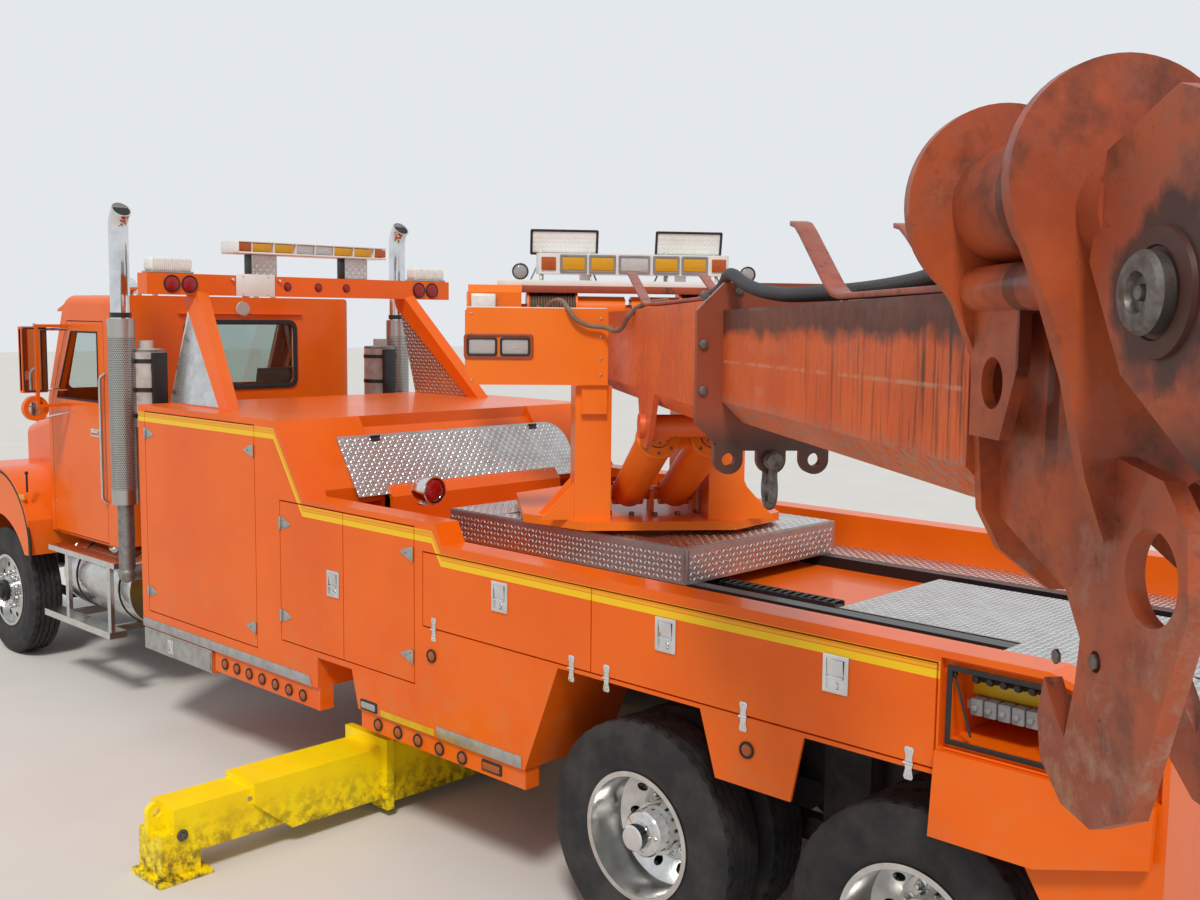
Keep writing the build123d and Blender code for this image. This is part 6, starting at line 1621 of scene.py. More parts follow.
# %% Seat covers
def cushion(size, centre, turn=(0, 0, 0), crown=0.012):
    """A padded panel: a subdivided block swollen at its middle, with its edges pinched by a piped seam."""
    piece = block(size, (0, 0, 0), 0)
    edit_all(piece)
    bpy.ops.mesh.subdivide(number_cuts=9)
    bpy.ops.object.mode_set(mode="OBJECT")
    half = [side / 2 for side in size]
    for vertex in piece.data.vertices:
        u, v, w = (c / h for c, h in zip(vertex.co, half))
        swell = (1 - u * u) * (1 - v * v), (1 - v * v) * (1 - w * w), (1 - u * u) * (1 - w * w)
        pleat = 0.35 * crown * cos(u * pi * 3)
        vertex.co.z += copysign((crown + pleat) * swell[0], w) if abs(w) > 0.99 else 0
        vertex.co.x += copysign(crown * swell[1], u) if abs(u) > 0.99 else 0
        vertex.co.y += copysign(crown * swell[2], v) if abs(v) > 0.99 else 0
    modifier(piece, "BEVEL", width=0.02, segments=3, limit_method="ANGLE", angle_limit=radians(50))
    piece.rotation_euler = [radians(a) for a in turn]
    piece.location = centre
    return piece


SEAT_Y = 0.48
seats, piping = [], []
for y in (-SEAT_Y, SEAT_Y):
    seats.append(settle(cushion((0.512, 0.47, 0.132), (5.7, y, 1.622), crown=0.016)))
    seats += [
        settle(cushion((0.5, 0.07, 0.15), (5.705, y + s * 0.222, 1.632), crown=0.012)) for s in (-1, 1)
    ]
    back = turned_at((5.48, y, 2.01), "Y", -12)
    seats.append(settle(cushion((0.142, 0.4, 0.56), (0, 0, -0.07), crown=0.014), back))
    seats += [
        settle(cushion((0.152, 0.07, 0.54), (0.01, s * 0.212, -0.07), crown=0.01), back) for s in (-1, 1)
    ]
    seats.append(settle(cushion((0.14, 0.3, 0.165), (0, 0, 0.3), crown=0.014), back))
    rim = [
        (0.078, -0.2, -0.34), (0.078, 0.2, -0.34), (0.078, 0.2, 0.205), (0.078, -0.2, 0.205),
        (0.078, -0.2, -0.338),
    ]
    piping.append(bar(rim, 0.004, 0.03, 8, back))
    rim = [
        (5.46, y - 0.195, 1.69), (5.94, y - 0.195, 1.69), (5.94, y + 0.195, 1.69), (5.46, y + 0.195, 1.69)
    ]
    piping.append(bar(rim, 0.004, 0.04, 8))
covers = finished("seat_covers", seats, grey_vinyl, smooth=60)
finished("seat_piping", piping, black_rubber)
wheel = turned_at((6.15, SEAT_Y, 1.15 + 0.87), "Y", 30)
grip = [(0.215 * cos(radians(a)), 0.215 * sin(radians(a)), 0) for a in range(0, 361, 12)]
finished("steering_wheel_grip", bar(grip, 0.0175, 0.0, 16, wheel), black_rubber)
print("cab dressed:", len(MADE), "pieces")

# %% [markdown]
# ## Tread plate on the decks
# A wide tool lid of tread plate leans across the truck behind the tall lockers, hung on two small black
# hinges, with its right top corner rounded off. Behind the carriage a raised cover of tread plate lies
# between the two black rails, a strip of it runs along each side, and a box of it closes the control
# locker at the rear. Each sheet is 3 mm thick, and the raised cover is folded down at its edges.

# %% Sheets of tread plate
def placed(pieces):
    """Sheets of (origin, right, up, outline) as (outline, place)."""
    return [(outline, facing(origin, right, up)) for origin, right, up, outline in pieces]


DECK_Z = 1.5
LID_LOW = Vector((2.469, 0.93, 1.768))
LID_SIZE = (1.86, 0.406)
LID_CORNER = 0.15
slope = Vector((0.28, 0, 0.425)).normalized()
out = Vector((-slope.z, 0, slope.x))
wide, high = LID_SIZE
lid = [(0, 0), (wide, 0)]
for degrees in range(0, 91, 15):
    turned = radians(degrees)
    lid.append((wide - LID_CORNER * (1 - cos(turned)), high - LID_CORNER * (1 - sin(turned))))
lid.append((0, high))
tread_pieces("tool_lid", "chassis", [(lid, facing(LID_LOW + out * 0.014, (0, -1, 0), slope))])
at_lid = facing(LID_LOW + out * 0.001, (0, -1, 0), slope)
finished(
    "tool_lid_box", slab([(x * 0.996 + 0.004, y * 0.985 + 0.003) for x, y in lid], 0.012, at_lid, 0.001),
    trim_metal,
)
hinge = joined(
    [
        settle(block((0.064, 0.03, 0.006), (0, 0, 0.003), 0.002)),
        settle(drum(0.007, 0.07, (0, 0.012, 0.007), "X", 16, 0.002)),
    ]
)
places = [
    facing(LID_LOW + out * 0.018 + slope * 0.376, (0, -1, 0), slope) @ Matrix.Translation((0.93 - y, 0, 0))
    for y in (0.66, -0.656)
]
finished("tool_lid_hinges", copies(hinge, places), black_plastic)

COVER_X = (-2.29, -0.55)
COVER_HALF, COVER_Z = 0.455, 1.5515
pieces = [
    (
        (COVER_X[0], -COVER_HALF, COVER_Z - 0.003), (1, 0, 0), (0, 1, 0),
        oblong_sheet(COVER_X[1] - COVER_X[0], 2 * COVER_HALF),
    )
]
pieces += [
    ((-2.29, s * 0.925 - 0.205, DECK_Z + 0.001), (1, 0, 0), (0, 1, 0), oblong_sheet(3.6, 0.4))
    for s in (-1, 1)
]
tread_pieces("deck_tread", "chassis", placed(pieces))
folds = [
    block(
        (COVER_X[1] - COVER_X[0], 0.003, 0.045), (sum(COVER_X) / 2, s * COVER_HALF, DECK_Z + 0.0235), 0.001
    )
    for s in (-1, 1)
]
folds.append(block((0.003, 2 * COVER_HALF, 0.045), (COVER_X[1], 0, DECK_Z + 0.0235), 0.001))
finished("deck_cover_folds", folds, trim_metal)
for side, at in MIRRORED:
    box = slab(
        [(-2.312, 1.503), (-1.66, 1.503), (-1.66, 1.684), (-1.915, 1.684), (-2.312, 1.58)], 0.42,
        turned_at((0, 1.128, 0), "X", 90), 0.002,
    )
    finished(f"rear_locker_box_{side}", box, trim_metal, "chassis", at)
    fall = Vector((0.397, 0, 0.104))
    pieces = [
        ((-1.914, 0.71, 1.6845), (1, 0, 0), (0, 1, 0), oblong_sheet(0.253, 0.416)),
        (Vector((-2.311, 0.71, 1.5805)), fall, (0, 1, 0), oblong_sheet(fall.length, 0.416)),
        ((-1.6595, 0.71, 1.506), (0, 1, 0), (0, 0, 1), oblong_sheet(0.416, 0.176)),
    ]
    tread_pieces(f"rear_locker_tread_{side}", "chassis", placed(pieces), at)

# %% [markdown]
# ## The carriage on its rails
# The turret's carriage slides along two black rails on the deck. Its sides and top are tread plate over a
# welded box. Its hoses are carried by a chain of plastic links that lies behind it between the rails. The
# links are one moulding, repeated.

# %% Carriage plates and the hose chain
CARRIAGE_X = (0.2, 1.97)
CARRIAGE_Z = (1.562, 1.738)
long = CARRIAGE_X[1] - CARRIAGE_X[0] - 0.02
high = CARRIAGE_Z[1] - CARRIAGE_Z[0] - 0.014
low = CARRIAGE_Z[0] + 0.008
pieces = [
    ((CARRIAGE_X[1] - 0.01, 0.6405, low), (-1, 0, 0), (0, 0, 1), oblong_sheet(long, high)),
    ((CARRIAGE_X[0] + 0.01, -0.6405, low), (1, 0, 0), (0, 0, 1), oblong_sheet(long, high)),
    ((CARRIAGE_X[0] - 0.0005, 0.62, low), (0, -1, 0), (0, 0, 1), oblong_sheet(1.24, high)),
    ((CARRIAGE_X[1] + 0.0005, -0.62, low), (0, 1, 0), (0, 0, 1), oblong_sheet(1.24, high)),
]
for x0, x1, y0, y1 in (
    (0.215, 0.52, -0.63, 0.63), (1.6, 1.955, -0.63, 0.63), (0.525, 1.595, 0.535, 0.63),
    (0.525, 1.595, -0.63, -0.535),
):
    pieces.append(((x0, y0, CARRIAGE_Z[1] + 0.0005), (1, 0, 0), (0, 1, 0), oblong_sheet(x1 - x0, y1 - y0)))
tread_pieces("carriage_tread", "carriage", placed(pieces))
CHAIN_Y, LINK_PITCH = 0.33, 0.0445
link = joined(
    [settle(block((0.044, 0.012, 0.044), (0, y, 0), 0.01, segments=3)) for y in (-0.04, 0.04)]
    + [settle(block((0.016, 0.084, 0.005), (0, 0, z), 0.002)) for z in (-0.019, 0.019)]
    + [settle(drum(0.009, 0.086, (0.018, 0, 0), "Y", 12, 0.002))]
)
chain = [Matrix.Translation((0.26 - i * LINK_PITCH, CHAIN_Y, DECK_Z + 0.0245)) for i in range(17)]
finished("hose_chain", copies(link, chain), black_plastic)
hoses = []
for y in (CHAIN_Y - 0.022, CHAIN_Y, CHAIN_Y + 0.022):
    line = [(0.28, y, DECK_Z + 0.022), (-0.47, y, DECK_Z + 0.022), (-0.53, y, DECK_Z + 0.014)]
    hoses.append(bar(line, 0.0085, 0.03, 10))
bracket = [block((0.04, 0.13, 0.006), (-0.505, CHAIN_Y, DECK_Z + 0.004), 0.002)]
finished("hose_chain_hoses", hoses + bracket, hose_rubber)

# %% [markdown]
# ## The rear corner and its controls
# The left rear corner opens to the crane's control levers: a yellow plate with five black levers, a grey
# valve block below it, a black seal round the opening and a thin black prop rod that holds the flap. The
# flap's latch is on what is its inner face when it hangs open.

# %% Control levers, seal and prop rod
LEVER_PLATE_Y, LEVER_Z, VALVE_Z = 1.15, 1.59, 1.492
LEVERS_X = [-1.62 - i * 0.052 for i in range(5)]
BOOT = [(0.016, 0), (0.018, 0.006), (0.013, 0.012), (0.015, 0.018), (0.01, 0.024), (0.006, 0.03), (0, 0.03)]
KNOB = [(0, 0), (0.01, 0.002), (0.016, 0.014), (0.017, 0.026), (0.012, 0.038), (0, 0.042)]
for side, at in MIRRORED:
    plate = block((0.3, 0.006, 0.12), (-1.73, LEVER_PLATE_Y + 0.004, 1.585), 0.001)
    finished(f"lever_plate_{side}", plate, yellow_plate, "chassis", at)
    boots = [lathe(BOOT, (x, LEVER_PLATE_Y + 0.006, LEVER_Z), "-Y", 16) for x in LEVERS_X]
    rods = [
        bar([(x, LEVER_PLATE_Y + 0.01, LEVER_Z), (x, LEVER_PLATE_Y + 0.045, 1.597)], 0.0055, 0, 10)
        for x in LEVERS_X
    ]
    knobs = [lathe(KNOB, (x, LEVER_PLATE_Y + 0.04, 1.596), "-Y", 20) for x in LEVERS_X]
    finished(f"control_levers_{side}", boots + rods + knobs, black_plastic, "chassis", at)
    valves = [block((0.046, 0.06, 0.062), (x, LEVER_PLATE_Y + 0.032, VALVE_Z), 0.005) for x in LEVERS_X]
    valves.append(block((0.3, 0.04, 0.034), (-1.725, LEVER_PLATE_Y + 0.022, VALVE_Z), 0.004))
    valves += [drum(0.011, 0.02, (x, LEVER_PLATE_Y + 0.07, VALVE_Z), "Y", 6, 0.002) for x in LEVERS_X]
    finished(f"valve_block_{side}", valves, grey_paint, "chassis", at)

inner = [(-2.276, 1.358), (-1.54, 1.358), (-1.54, 1.646), (-1.925, 1.646), (-2.276, 1.553)]
side_face = turned_at((0, SIDE_Y, 0), "X", 90) @ Matrix.Scale(-1, 4, (0, 0, 1))
seal = ring_sheet(
    [tuple(p) for p in inner],
    [(-2.256, 1.378), (-1.56, 1.378), (-1.56, 1.626), (-1.922, 1.626), (-2.256, 1.536)], 0.009,
    side_face @ Matrix.Translation((0, 0, -0.01)),
)
finished("control_opening_seal", seal, black_rubber)
prop = [
    bar([(-1.56, 1.262, 1.612), (-1.59, 1.282, 1.56), (-1.64, 1.284, 1.404)], 0.005, 0.02, 10),
    drum(0.012, 0.014, (-1.56, 1.265, 1.612), "Y", 16, 0.003),
]
finished("control_flap_prop", prop, black_plastic)

# %% [markdown]
# ## Small parts under and along the body
# A white oblong lamp stands below the middle locker, with a blank yellow strip behind it. The
# mud flaps behind the last axle are ribbed rubber sheets in a steel clamp with three bolts.

# %% Side lamps, strips and mud flaps
WHITE_LAMP = Matrix.Translation((1.883, SIDE_Y, 0.726))
FLAP_X, FLAP_Y, FLAP_WIDTH = -2.27, 0.92, 0.566
for side, at in MIRRORED:
    lamp = settle(oblong((0.13, 0.04), 0.024, 0.0095), WHITE_LAMP)
    finished(f"white_side_lamp_{side}", lamp, clear_lens, "chassis", at)
    lamp_rim = settle(oblong(OBLONG_RIM, 0.016, 0.0075), WHITE_LAMP)
    finished(f"white_side_lamp_rim_{side}", lamp_rim, black_rubber, "chassis", at)
    strip = slab(
        [(1.324, 0.694), (1.775, 0.694), (1.775, 0.728), (1.324, 0.728)], 0.003,
        turned_at((0, SIDE_Y + 0.0035, 0), "X", 90),
    )
    finished(f"blank_yellow_strip_{side}", strip, yellow_plate, "chassis", at)
    clamp = [block((0.012, 0.56, 0.04), (FLAP_X + 0.014 * t, FLAP_Y, 0.788), 0.002) for t in (-1, 1)]
    clamp += [drum(0.011, 0.044, (FLAP_X, y, 0.79), "X", 6, 0.001) for y in (0.7, FLAP_Y, 1.14)]
    finished(f"mud_flap_clamp_{side}", clamp, trim_metal, "chassis", at)
    rubber = block((0.013, FLAP_WIDTH, 0.43), (FLAP_X, FLAP_Y, 0.556), 0.003)
    ribs = [block((0.017, 0.54, 0.004), (FLAP_X, FLAP_Y, 0.4 + i * 0.022), 0.001) for i in range(16)]
    finished(f"mud_flap_{side}", [rubber] + ribs, black_rubber, "chassis", at)
print("deck and body dressed:", len(MADE), "pieces")

# %% [markdown]
# ## Lamp panels and the rope drums
# Each lamp panel faces along the boom, with two work lamps in one framed recess and a white strip on its
# top edge. Behind the pivot the two winch drums are wound full of wire rope, so each shows a row of rope
# turns, not a smooth drum. A square lamp stands before each gear box.

# %% Work lamps and ropes
PANEL_FACE_X = 0.68
PANEL_TOP_Z = 2.888
SQUARE_LAMP_Y = 0.8815
LAMPS_Y = (0.7495, 0.913)
LAMP_Z, LAMP_SIZE = 2.697, (0.15, 0.092)


def framed(outer, inner, radius, depth, at):
    """A flat frame of full outer and inner sizes, with round corners."""
    corners = [
        [(-w / 2, -h / 2), (w / 2, -h / 2), (w / 2, h / 2), (-w / 2, h / 2)] for w, h in (outer, inner)
    ]
    return ring_sheet(rounded(corners[0], radius), rounded(corners[1], radius * 0.6), depth, at)


def facing_ahead(x, y, z):
    """The place of a flat piece on a face that looks along +X."""
    return facing((x, y, z), (0, 1, 0), (0, 0, 1))


for side, s in SIDES:
    bezels = [
        framed(LAMP_SIZE, (0.128, 0.07), 0.016, 0.012, facing_ahead(PANEL_FACE_X, s * y, LAMP_Z))
        for y in LAMPS_Y
    ]
    finished(f"work_lamp_bezels_{side}", bezels, black_plastic, "turret", TURRET)
    glasses = [block((0.006, 0.13, 0.072), (PANEL_FACE_X + 0.004, s * y, LAMP_Z), 0.002) for y in LAMPS_Y]
    finished(f"work_lamp_lenses_{side}", glasses, clear_lens, "turret", TURRET)
    recess = framed((0.345, 0.125), (0.318, 0.1), 0.02, 0.007, facing_ahead(PANEL_FACE_X, s * 0.831, LAMP_Z))
    finished(f"work_lamp_recess_{side}", recess, lug_paint, "turret", TURRET)
    screws = [
        drum(0.007, 0.006, (PANEL_FACE_X + 0.002, s * 0.319, z), "X", 6, 0.001)
        for z in (2.56, 2.64, 2.75, 2.84)
    ]
    screws += [drum(0.006, 0.006, (PANEL_FACE_X + 0.002, s * 0.965, z), "X", 6, 0.001) for z in (2.53, 2.86)]
    finished(f"panel_screws_{side}", screws, trim_metal, "turret", TURRET)
    strip = block((0.074, 0.7, 0.005), (0.64, s * 0.64, PANEL_TOP_Z + 0.0025), 0.001)
    finished(f"panel_strip_{side}", strip, white_enamel, "turret", TURRET)
    lamp = [block((0.05, 0.143, 0.117), (-0.575, s * SQUARE_LAMP_Y, 2.9145), 0.012, segments=3)]
    finished(f"square_lamp_{side}", lamp, white_reflector, "turret", TURRET)
    bracket = [
        block((0.1, 0.1, 0.008), (-0.59, s * SQUARE_LAMP_Y, 2.85), 0.002),
        block((0.01, 0.15, 0.124), (-0.604, s * SQUARE_LAMP_Y, 2.9145), 0.002),
    ]
    finished(f"square_lamp_bracket_{side}", bracket, trim_metal, "turret", TURRET)

DRUM_AT = (-0.78, 2.885)
ROPE_R, ROPE_TURNS = 0.0083, 17
DRUM_Y = (0.326, 0.604)
profile = [(0.098, DRUM_Y[0])]
pitch = (DRUM_Y[1] - DRUM_Y[0]) / ROPE_TURNS
for i in range(ROPE_TURNS):
    for step in range(5):
        angle = pi * (step + 0.5) / 5
        middle = DRUM_Y[0] + pitch * (i + 0.5)
        profile.append((0.1085 + ROPE_R * sin(angle), middle - pitch / 2 * cos(angle)))
profile.append((0.098, DRUM_Y[1]))
along_y = turned_at((DRUM_AT[0], 0, DRUM_AT[1]), "X", -90)
wound = copies(lathe(profile, steps=56), [along_y, Matrix.Scale(-1, 4, (0, 1, 0)) @ along_y])
finished("wound_ropes", wound, rope_steel, "turret", TURRET)
GEAR_BOX_AT = (-0.735, 2.88)
bolts = []
for s in (-1, 1):
    for step in range(8):
        a = radians(45 * step + 20)
        bolts.append(
            drum(
                0.009, 0.01, (DRUM_AT[0] + 0.066 * cos(a), s * 0.019, DRUM_AT[1] + 0.066 * sin(a)), "Y", 6,
                0.001,
            )
        )
        bolts.append(
            drum(
                0.01, 0.01, (GEAR_BOX_AT[0] + 0.085 * cos(a), s * 0.972, GEAR_BOX_AT[1] + 0.085 * sin(a)),
                "Y", 6, 0.001,
            )
        )
finished("winch_bolts", bolts, bare_steel, "turret", TURRET)
covers = [drum(0.11, 0.012, (GEAR_BOX_AT[0], s * 0.974, GEAR_BOX_AT[1]), "Y", 48, 0.003) for s in (-1, 1)]
finished("gear_box_covers", covers, crane_enamel, "turret", TURRET)

# %% [markdown]
# ## The rack over the winches
# A white rack carries a short light bar with amber and clear modules in grey frames, two tread plates
# painted white as a painted reflection of the bright sky, tilted towards the boom, and two black work
# lamps. Its front beam is dark red.

# %% Rack light bar, plates and lamps
RACK_BAR, RACK_BAR_Z = (-0.76, 0.03), 3.162
RACK_BAR_HALF_X = 0.075
RACK_MODULES = (
    (-0.52, 0.11, deep_amber_lens), (-0.37, 0.16, amber_lens), (-0.195, 0.16, amber_lens),
    (0, 0.19, clear_lens),
)
RACK_MODULES += ((0.195, 0.16, amber_lens), (0.37, 0.16, amber_lens), (0.52, 0.11, deep_amber_lens))
for kind in (amber_lens, deep_amber_lens, clear_lens):
    lenses = []
    for y, wide, glass in RACK_MODULES:
        if glass == kind:
            for s in (-1, 1):
                place = (RACK_BAR[0] + s * (RACK_BAR_HALF_X + 0.002), RACK_BAR[1] + y, RACK_BAR_Z)
                lenses.append(block((0.016, wide - 0.022, 0.078), place, 0.005))
    finished(f"rack_{kind.name.split('_acrylic')[0]}_modules", lenses, kind, "turret", TURRET)
grey_frames = []
for y, wide, glass in RACK_MODULES:
    for s in (-1, 1):
        if abs(y) < 0.5:
            at = facing(
                (RACK_BAR[0] + s * RACK_BAR_HALF_X, RACK_BAR[1] + y, RACK_BAR_Z), (0, s, 0), (0, 0, 1)
            )
            grey_frames.append(framed((wide + 0.004, 0.11), (wide - 0.024, 0.08), 0.01, 0.008, at))
finished("rack_module_frames", grey_frames, grey_paint, "turret", TURRET)
PLATE_TILT, RACK_PLATE_Y = radians(15), 0.385
for side, s in SIDES:
    tilted = Matrix.Translation((-0.838, s * RACK_PLATE_Y, 3.3)) @ Matrix.Rotation(PLATE_TILT, 4, "Y")
    front = facing((0.0125, 0, 0), (0, 1, 0), (0, 0, 1))
    rim = framed((0.418, 0.158), (0.388, 0.128), 0.012, 0.008, front)
    finished(f"rack_plate_rim_{side}", rim, black_plastic, "turret", TURRET @ tilted)
    face = facing((0.0125, -0.195, -0.065), (0, 1, 0), (0, 0, 1))
    # Painted reflection: the tread plate gets white enamel for the bright sky it reflects.
    plate = list(tread_sheet(oblong_sheet(0.39, 0.13), face))
    finished(f"rack_plate_{side}", plate, white_enamel, "turret", TURRET @ tilted, smooth=0)
    rods = []
    for k in (-1, 1):
        rods.append(
            bar(
                [
                    (-0.862, s * RACK_PLATE_Y + k * 0.205, 3.063),
                    (-0.862, s * RACK_PLATE_Y + k * 0.12, 3.25),
                ],
                0.006, 0, 10,
            )
        )
        rods.append(
            bar(
                [(-0.69, s * RACK_PLATE_Y + k * 0.15, 3.063), (-0.8, s * RACK_PLATE_Y + k * 0.15, 3.24)],
                0.006, 0, 10,
            )
        )
    finished(f"rack_plate_rods_{side}", rods, trim_metal, "turret", TURRET)
lamp_body = [
    (0, -0.04), (0.022, -0.038), (0.04, -0.02), (0.048, 0.004), (0.05, 0.016), (0.046, 0.018),
    (0.042, 0.01), (0, 0.01),
]
lamp_lens = [(0.042, 0.01), (0.03, 0.016), (0, 0.019)]
spots = [turned_at(p, "Y", 90) for p in ((-0.7, -0.66, 3.112), (-0.7, 0.73, 3.112))]
finished("rack_work_lamps", copies(lathe(lamp_body, steps=36), spots), black_plastic, "turret", TURRET)
finished("rack_work_lamp_lenses", copies(lathe(lamp_lens, steps=36), spots), clear_lens, "turret", TURRET)
beam = [
    block((0.005, 1.3, 0.042), (-0.6785, 0, 3.0095), 0.001),
    block((0.042, 1.3, 0.004), (-0.7, 0, 2.9885), 0.001),
]
finished("rack_beam_face", beam, lug_paint, "turret", TURRET)
lips = [block((0.004, 1.582, 0.034), (x, 0, 3.046), 0.001) for x in (-0.8825, -0.678)]
finished("rack_lips", lips, white_enamel, "turret", TURRET)

# %% [markdown]
# ## Guard bars, collar and shackle
# Flat bars with upturned tips run along the top edges of both booms and keep ropes off them. The base
# ends in a collar with three lugs below it, and a bow shackle hangs from the middle one. Each bar is a
# bent strip, and the shackle is a bent rod on its own pin.

# %% Guard bars and shackle
def strip_bar(points, thickness, wide, y):
    """A flat bar of one thickness bent along points in the upright plane, wide across it."""
    top, low = list(points), [(x, z - thickness) for x, z in points]
    piece = slab(top + low[::-1], wide, HERE, 0.003)
    piece.data.transform(turned_at((0, y + wide / 2, 0), "X", 90))
    return piece


BIG_GUARD = [
    (4.2, 0.352), (4.245, 0.344), (4.29, 0.322), (4.54, 0.178), (4.59, 0.158), (4.65, 0.15), (5.43, 0.146)
]
SMALL_GUARD = [(1.205, 0.352), (1.25, 0.34), (1.7, 0.206), (1.76, 0.192), (1.83, 0.187), (3.3, 0.181)]
finished(
    "inner_boom_guards", [strip_bar(BIG_GUARD, 0.014, 0.05, s * 0.14) for s in (-1, 1)], lug_paint,
    "boom_inner", BOOM,
)
finished(
    "base_boom_guards", [strip_bar(SMALL_GUARD, 0.014, 0.045, s * 0.178) for s in (-1, 1)], lug_paint,
    "boom_base", BOOM,
)
SHACKLE_X, SHACKLE_Z = 3.38, -0.359
bow = [(SHACKLE_X - 0.042, 0, SHACKLE_Z + 0.004), (SHACKLE_X - 0.044, 0, SHACKLE_Z - 0.06)]
bow += [
    (SHACKLE_X - 0.056 * cos(radians(a)), 0, SHACKLE_Z - 0.1 - 0.056 * sin(radians(a)))
    for a in range(-20, 201, 20)
]
bow += [(SHACKLE_X + 0.044, 0, SHACKLE_Z - 0.06), (SHACKLE_X + 0.042, 0, SHACKLE_Z + 0.004)]
shackle = [bar(bow, 0.0155, 0.012, 20)]
shackle += [drum(0.032, 0.03, (SHACKLE_X + s * 0.042, 0, SHACKLE_Z), "X", 28, 0.006) for s in (-1, 1)]
shackle += [
    drum(0.0205, 0.13, (SHACKLE_X, 0, SHACKLE_Z), "X", 28, 0.003),
    drum(0.03, 0.02, (SHACKLE_X + 0.068, 0, SHACKLE_Z), "X", 6, 0.003),
]
finished("bow_shackle", shackle, bare_steel, "boom_base", BOOM)
collar = [
    drum(0.016, 0.014, (3.405, s * y, z), "X", 6, 0.002) for s in (-1, 1)
    for y, z in ((0.235, 0.18), (0.235, 0.02), (0.235, -0.13), (0.12, 0.195))
]
finished("collar_bolts", collar, bare_steel, "boom_base", BOOM)

# %% [markdown]
# ## The hoses over the boom
# A ribbed black hose lies along the near edge of the boom, from the base to the rear flange of the head. A
# thinner brown conduit droops over the lamp panel from the winches to the base. Both are slack, so each is
# a curve of its own with its real length and thickness.

# %% Hoses
def hose(name, points, radius, material, body, frame_at):
    """A hose as a NURBS curve through its points, riding on one body."""
    line = bpy.data.curves.new(name, "CURVE")
    line.dimensions = "3D"
    line.bevel_depth = radius
    line.bevel_resolution = 4
    line.resolution_u = 10
    line.use_fill_caps = True
    spline = line.splines.new("NURBS")
    spline.points.add(len(points) - 1)
    world_points = [frame_at @ Vector(p) for p in points]
    for point, place in zip(spline.points, world_points):
        point.co = (*place, 1)
    spline.order_u = 3
    spline.use_endpoint_u = True
    line.materials.append(material)
    piece = bpy.data.objects.new(name, line)
    bpy.context.scene.collection.objects.link(piece)
    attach(piece, body)
    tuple(world_points[0])
    return piece


BOOM_HOSE = [
    (5.42, -0.1, 0.215), (5.25, -0.095, 0.19), (5.0, -0.085, 0.166), (4.6, -0.07, 0.16),
    (4.2, -0.085, 0.162),
]
BOOM_HOSE += [
    (3.9, -0.11, 0.166), (3.6, -0.14, 0.2), (3.38, -0.15, 0.262), (3.15, -0.12, 0.215), (2.85, -0.1, 0.193),
    (2.6, -0.09, 0.185),
]
hose("boom_hose", BOOM_HOSE, 0.021, ribbed_hose, "boom_base", BOOM)
CONDUIT = [
    (-0.56, -0.56, 2.9), (-0.3, -0.56, 2.88), (0.0, -0.55, 2.89), (0.3, -0.54, 2.925), (0.56, -0.52, 2.935)
]
CONDUIT += [(0.69, -0.5, 2.912), (0.712, -0.46, 2.84), (0.715, -0.39, 2.802), (0.715, -0.3, 2.8)]
CONDUIT += [
    (0.8, -0.265, 2.776), (0.96, -0.25, 2.792), (1.1, -0.245, 2.85), (1.2, -0.19, 2.918),
    (1.38, -0.1, 2.926),
]
brown_sleeve, tree, shader = finish_of("dusty_brown_hose_sleeve", "7B5C49", roughness=0.62)
shade = node(tree, "TexNoise", place_of(tree), 1000 / 40, 4, 0.55)
tree.links.new(node(tree, "Mix", shade, "604434", "967A66"), shader.inputs["Base Color"])
raised(tree, shader, node(tree, "TexNoise", place_of(tree), 1000 / 3, 3, 0.55), 0.2)
hose("panel_conduit", CONDUIT, 0.012, brown_sleeve, "turret", TURRET)

# %% [markdown]
# ## The head's pins
# Both head cheeks turn on a short axle held by a large nut on a washer. A smaller bolt with an eye plate
# sits in each gusset. Grease round them has turned to a black crust.

# %% Pins, nuts and eye plates
pins, washers = [], []
WASHER = [
    (0, 0.182), (0.078, 0.182), (0.082, 0.187), (0.08, 0.197), (0.058, 0.199), (0.056, 0.196), (0, 0.196)
]
NUT = [(0, 0.196), (0.05, 0.196), (0.052, 0.214), (0.046, 0.221), (0.026, 0.222), (0.022, 0.212)]
NUT += [(0.011, 0.212), (0.009, 0.219), (0, 0.219)]
for s in (-1, 1):
    to_side = turned_at((HEAD_PIN[0], 0, HEAD_PIN[1]), "X", -90 * s)
    washers.append(settle(lathe(WASHER), to_side))
    pins.append(settle(lathe(NUT), to_side))
hexes = [drum(0.04, 0.012, (HEAD_PIN[0], s * 0.204, HEAD_PIN[1]), "Y", 6, 0.003) for s in (-1, 1)]
finished("head_washers", washers, head_paint, "boom_inner", BOOM)
finished("head_pins", pins + hexes, bare_steel, "boom_inner", BOOM)
plates = []
for s in (-1, 1):
    for x, z in ((5.7, -0.43), (5.815, -0.409)):
        plates.append(drum(0.012, 0.006, (x, s * 0.123, z), "Y", 6, 0.001))
finished("hook_plate_bolts", plates, bare_steel, "boom_inner", BOOM)

# %% [markdown]
# ## Lift cylinders and turret bolts
# Each lift barrel has a gland ring with bolts at its open end and a hose fitting near its foot, and a ring
# of bolts holds the turret plate to its bearing.

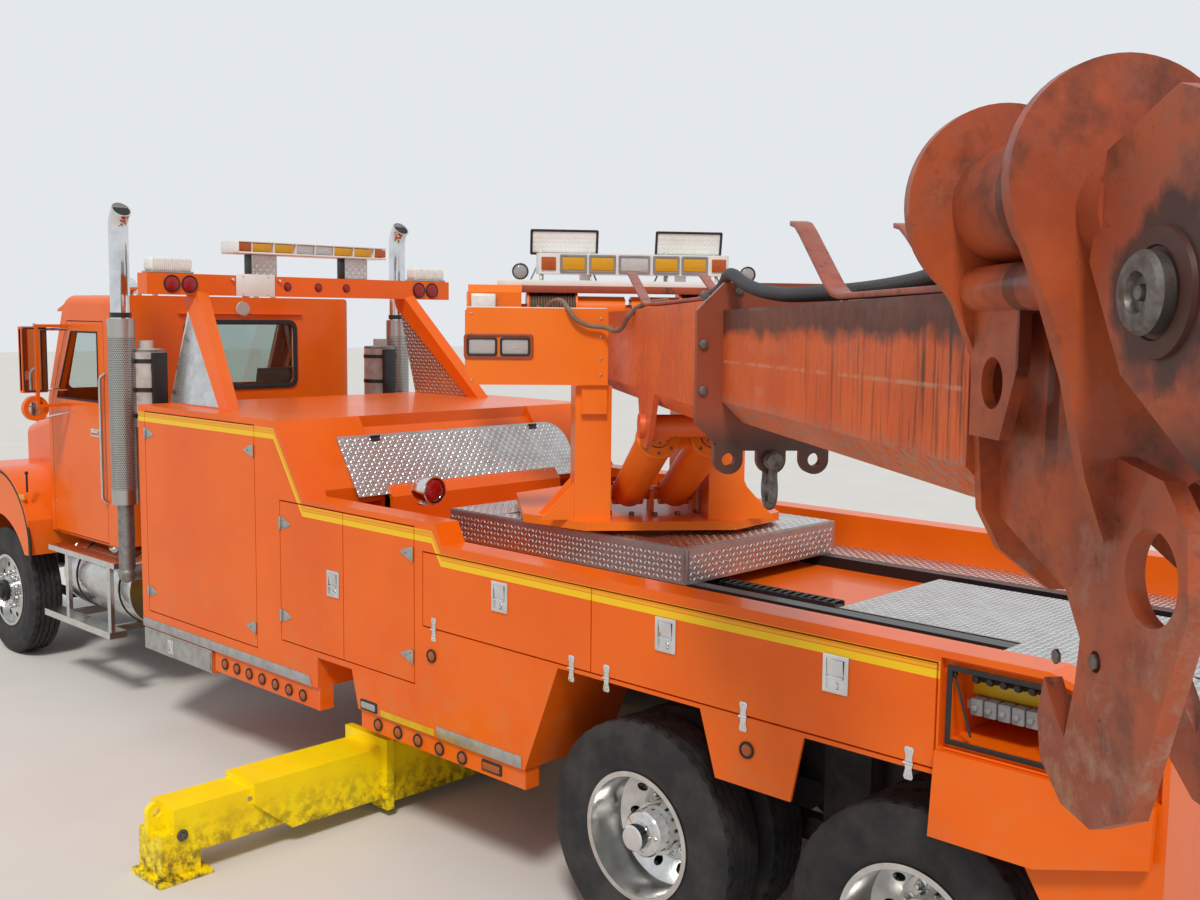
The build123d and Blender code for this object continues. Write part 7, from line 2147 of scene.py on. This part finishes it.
# %% Gland rings and bolts
LIFT_Y = 0.125
LIFT_AT = Matrix.Translation((0.3, 0, 1.908)) @ Matrix.Rotation(-atan2(2.375 - 1.908, 1.2), 4, "Y")
glands, studs, fittings = [], [], []
for s in (-1, 1):
    glands.append(
        lathe(
            [
                (0.055, 1.06), (0.098, 1.06), (0.1, 1.066), (0.1, 1.108), (0.096, 1.112), (0.055, 1.112),
                (0.055, 1.06),
            ],
            (0, s * LIFT_Y, 0), "X", 44,
        )
    )
    for step in range(8):
        a = radians(45 * step)
        studs.append(drum(0.007, 0.012, (1.115, s * LIFT_Y + 0.08 * cos(a), 0.08 * sin(a)), "X", 6, 0.001))
    fittings.append(drum(0.016, 0.06, (0.15, s * LIFT_Y, 0.105), "Z", 12, 0.003))
    fittings.append(
        bar(
            [
                (0.15, s * LIFT_Y, 0.12), (0.15, s * LIFT_Y, 0.15), (0.42, s * LIFT_Y, 0.112),
                (0.95, s * LIFT_Y, 0.104),
            ],
            0.01, 0.04, 12,
        )
    )
finished("lift_gland_rings", glands, crane_enamel, "lift_barrels", TURRET @ LIFT_AT)
finished("lift_gland_bolts", studs, bare_steel, "lift_barrels", TURRET @ LIFT_AT)
finished("lift_oil_pipes", fittings, trim_metal, "lift_barrels", TURRET @ LIFT_AT)
RING_R = 0.47
ring = [
    drum(0.014, 0.016, (RING_R * cos(radians(a)), RING_R * sin(radians(a)), 1.82), "Z", 6, 0.002)
    for a in range(0, 360, 15)
]
finished("turret_ring_bolts", ring, bare_steel, "turret", TURRET)

# %% [markdown]
# ## Outriggers
# Two round caps stand on the collar of each outrigger, and a bolt with a washer holds each side of its
# foot. The dirt on the pads is in their finish.

# %% Outrigger details
OUTRIGGER_X, COLLAR_Y, COLLAR_Z = 2.2, 1.905, 0.318
FOOT_PIN_Y, FOOT_PIN_Z = 2.29, 0.235
for side, s in SIDES:
    caps = [
        drum(0.022, 0.03, (OUTRIGGER_X + x, s * COLLAR_Y, COLLAR_Z), "Y", 24, 0.004) for x in (-0.1, 0.1)
    ]
    finished(f"outrigger_caps_{side}", caps, trim_metal, f"outrigger_stage_{side}")
    bolts = [
        drum(0.03, 0.006, (OUTRIGGER_X + k * 0.125, s * FOOT_PIN_Y, FOOT_PIN_Z), "X", 28, 0.001)
        for k in (-1, 1)
    ]
    bolts += [
        drum(0.018, 0.016, (OUTRIGGER_X + k * 0.132, s * FOOT_PIN_Y, FOOT_PIN_Z), "X", 6, 0.002)
        for k in (-1, 1)
    ]
    finished(f"outrigger_bolts_{side}", bolts, bare_steel, f"outrigger_foot_{side}")
print("crane dressed:", len(MADE), "pieces")
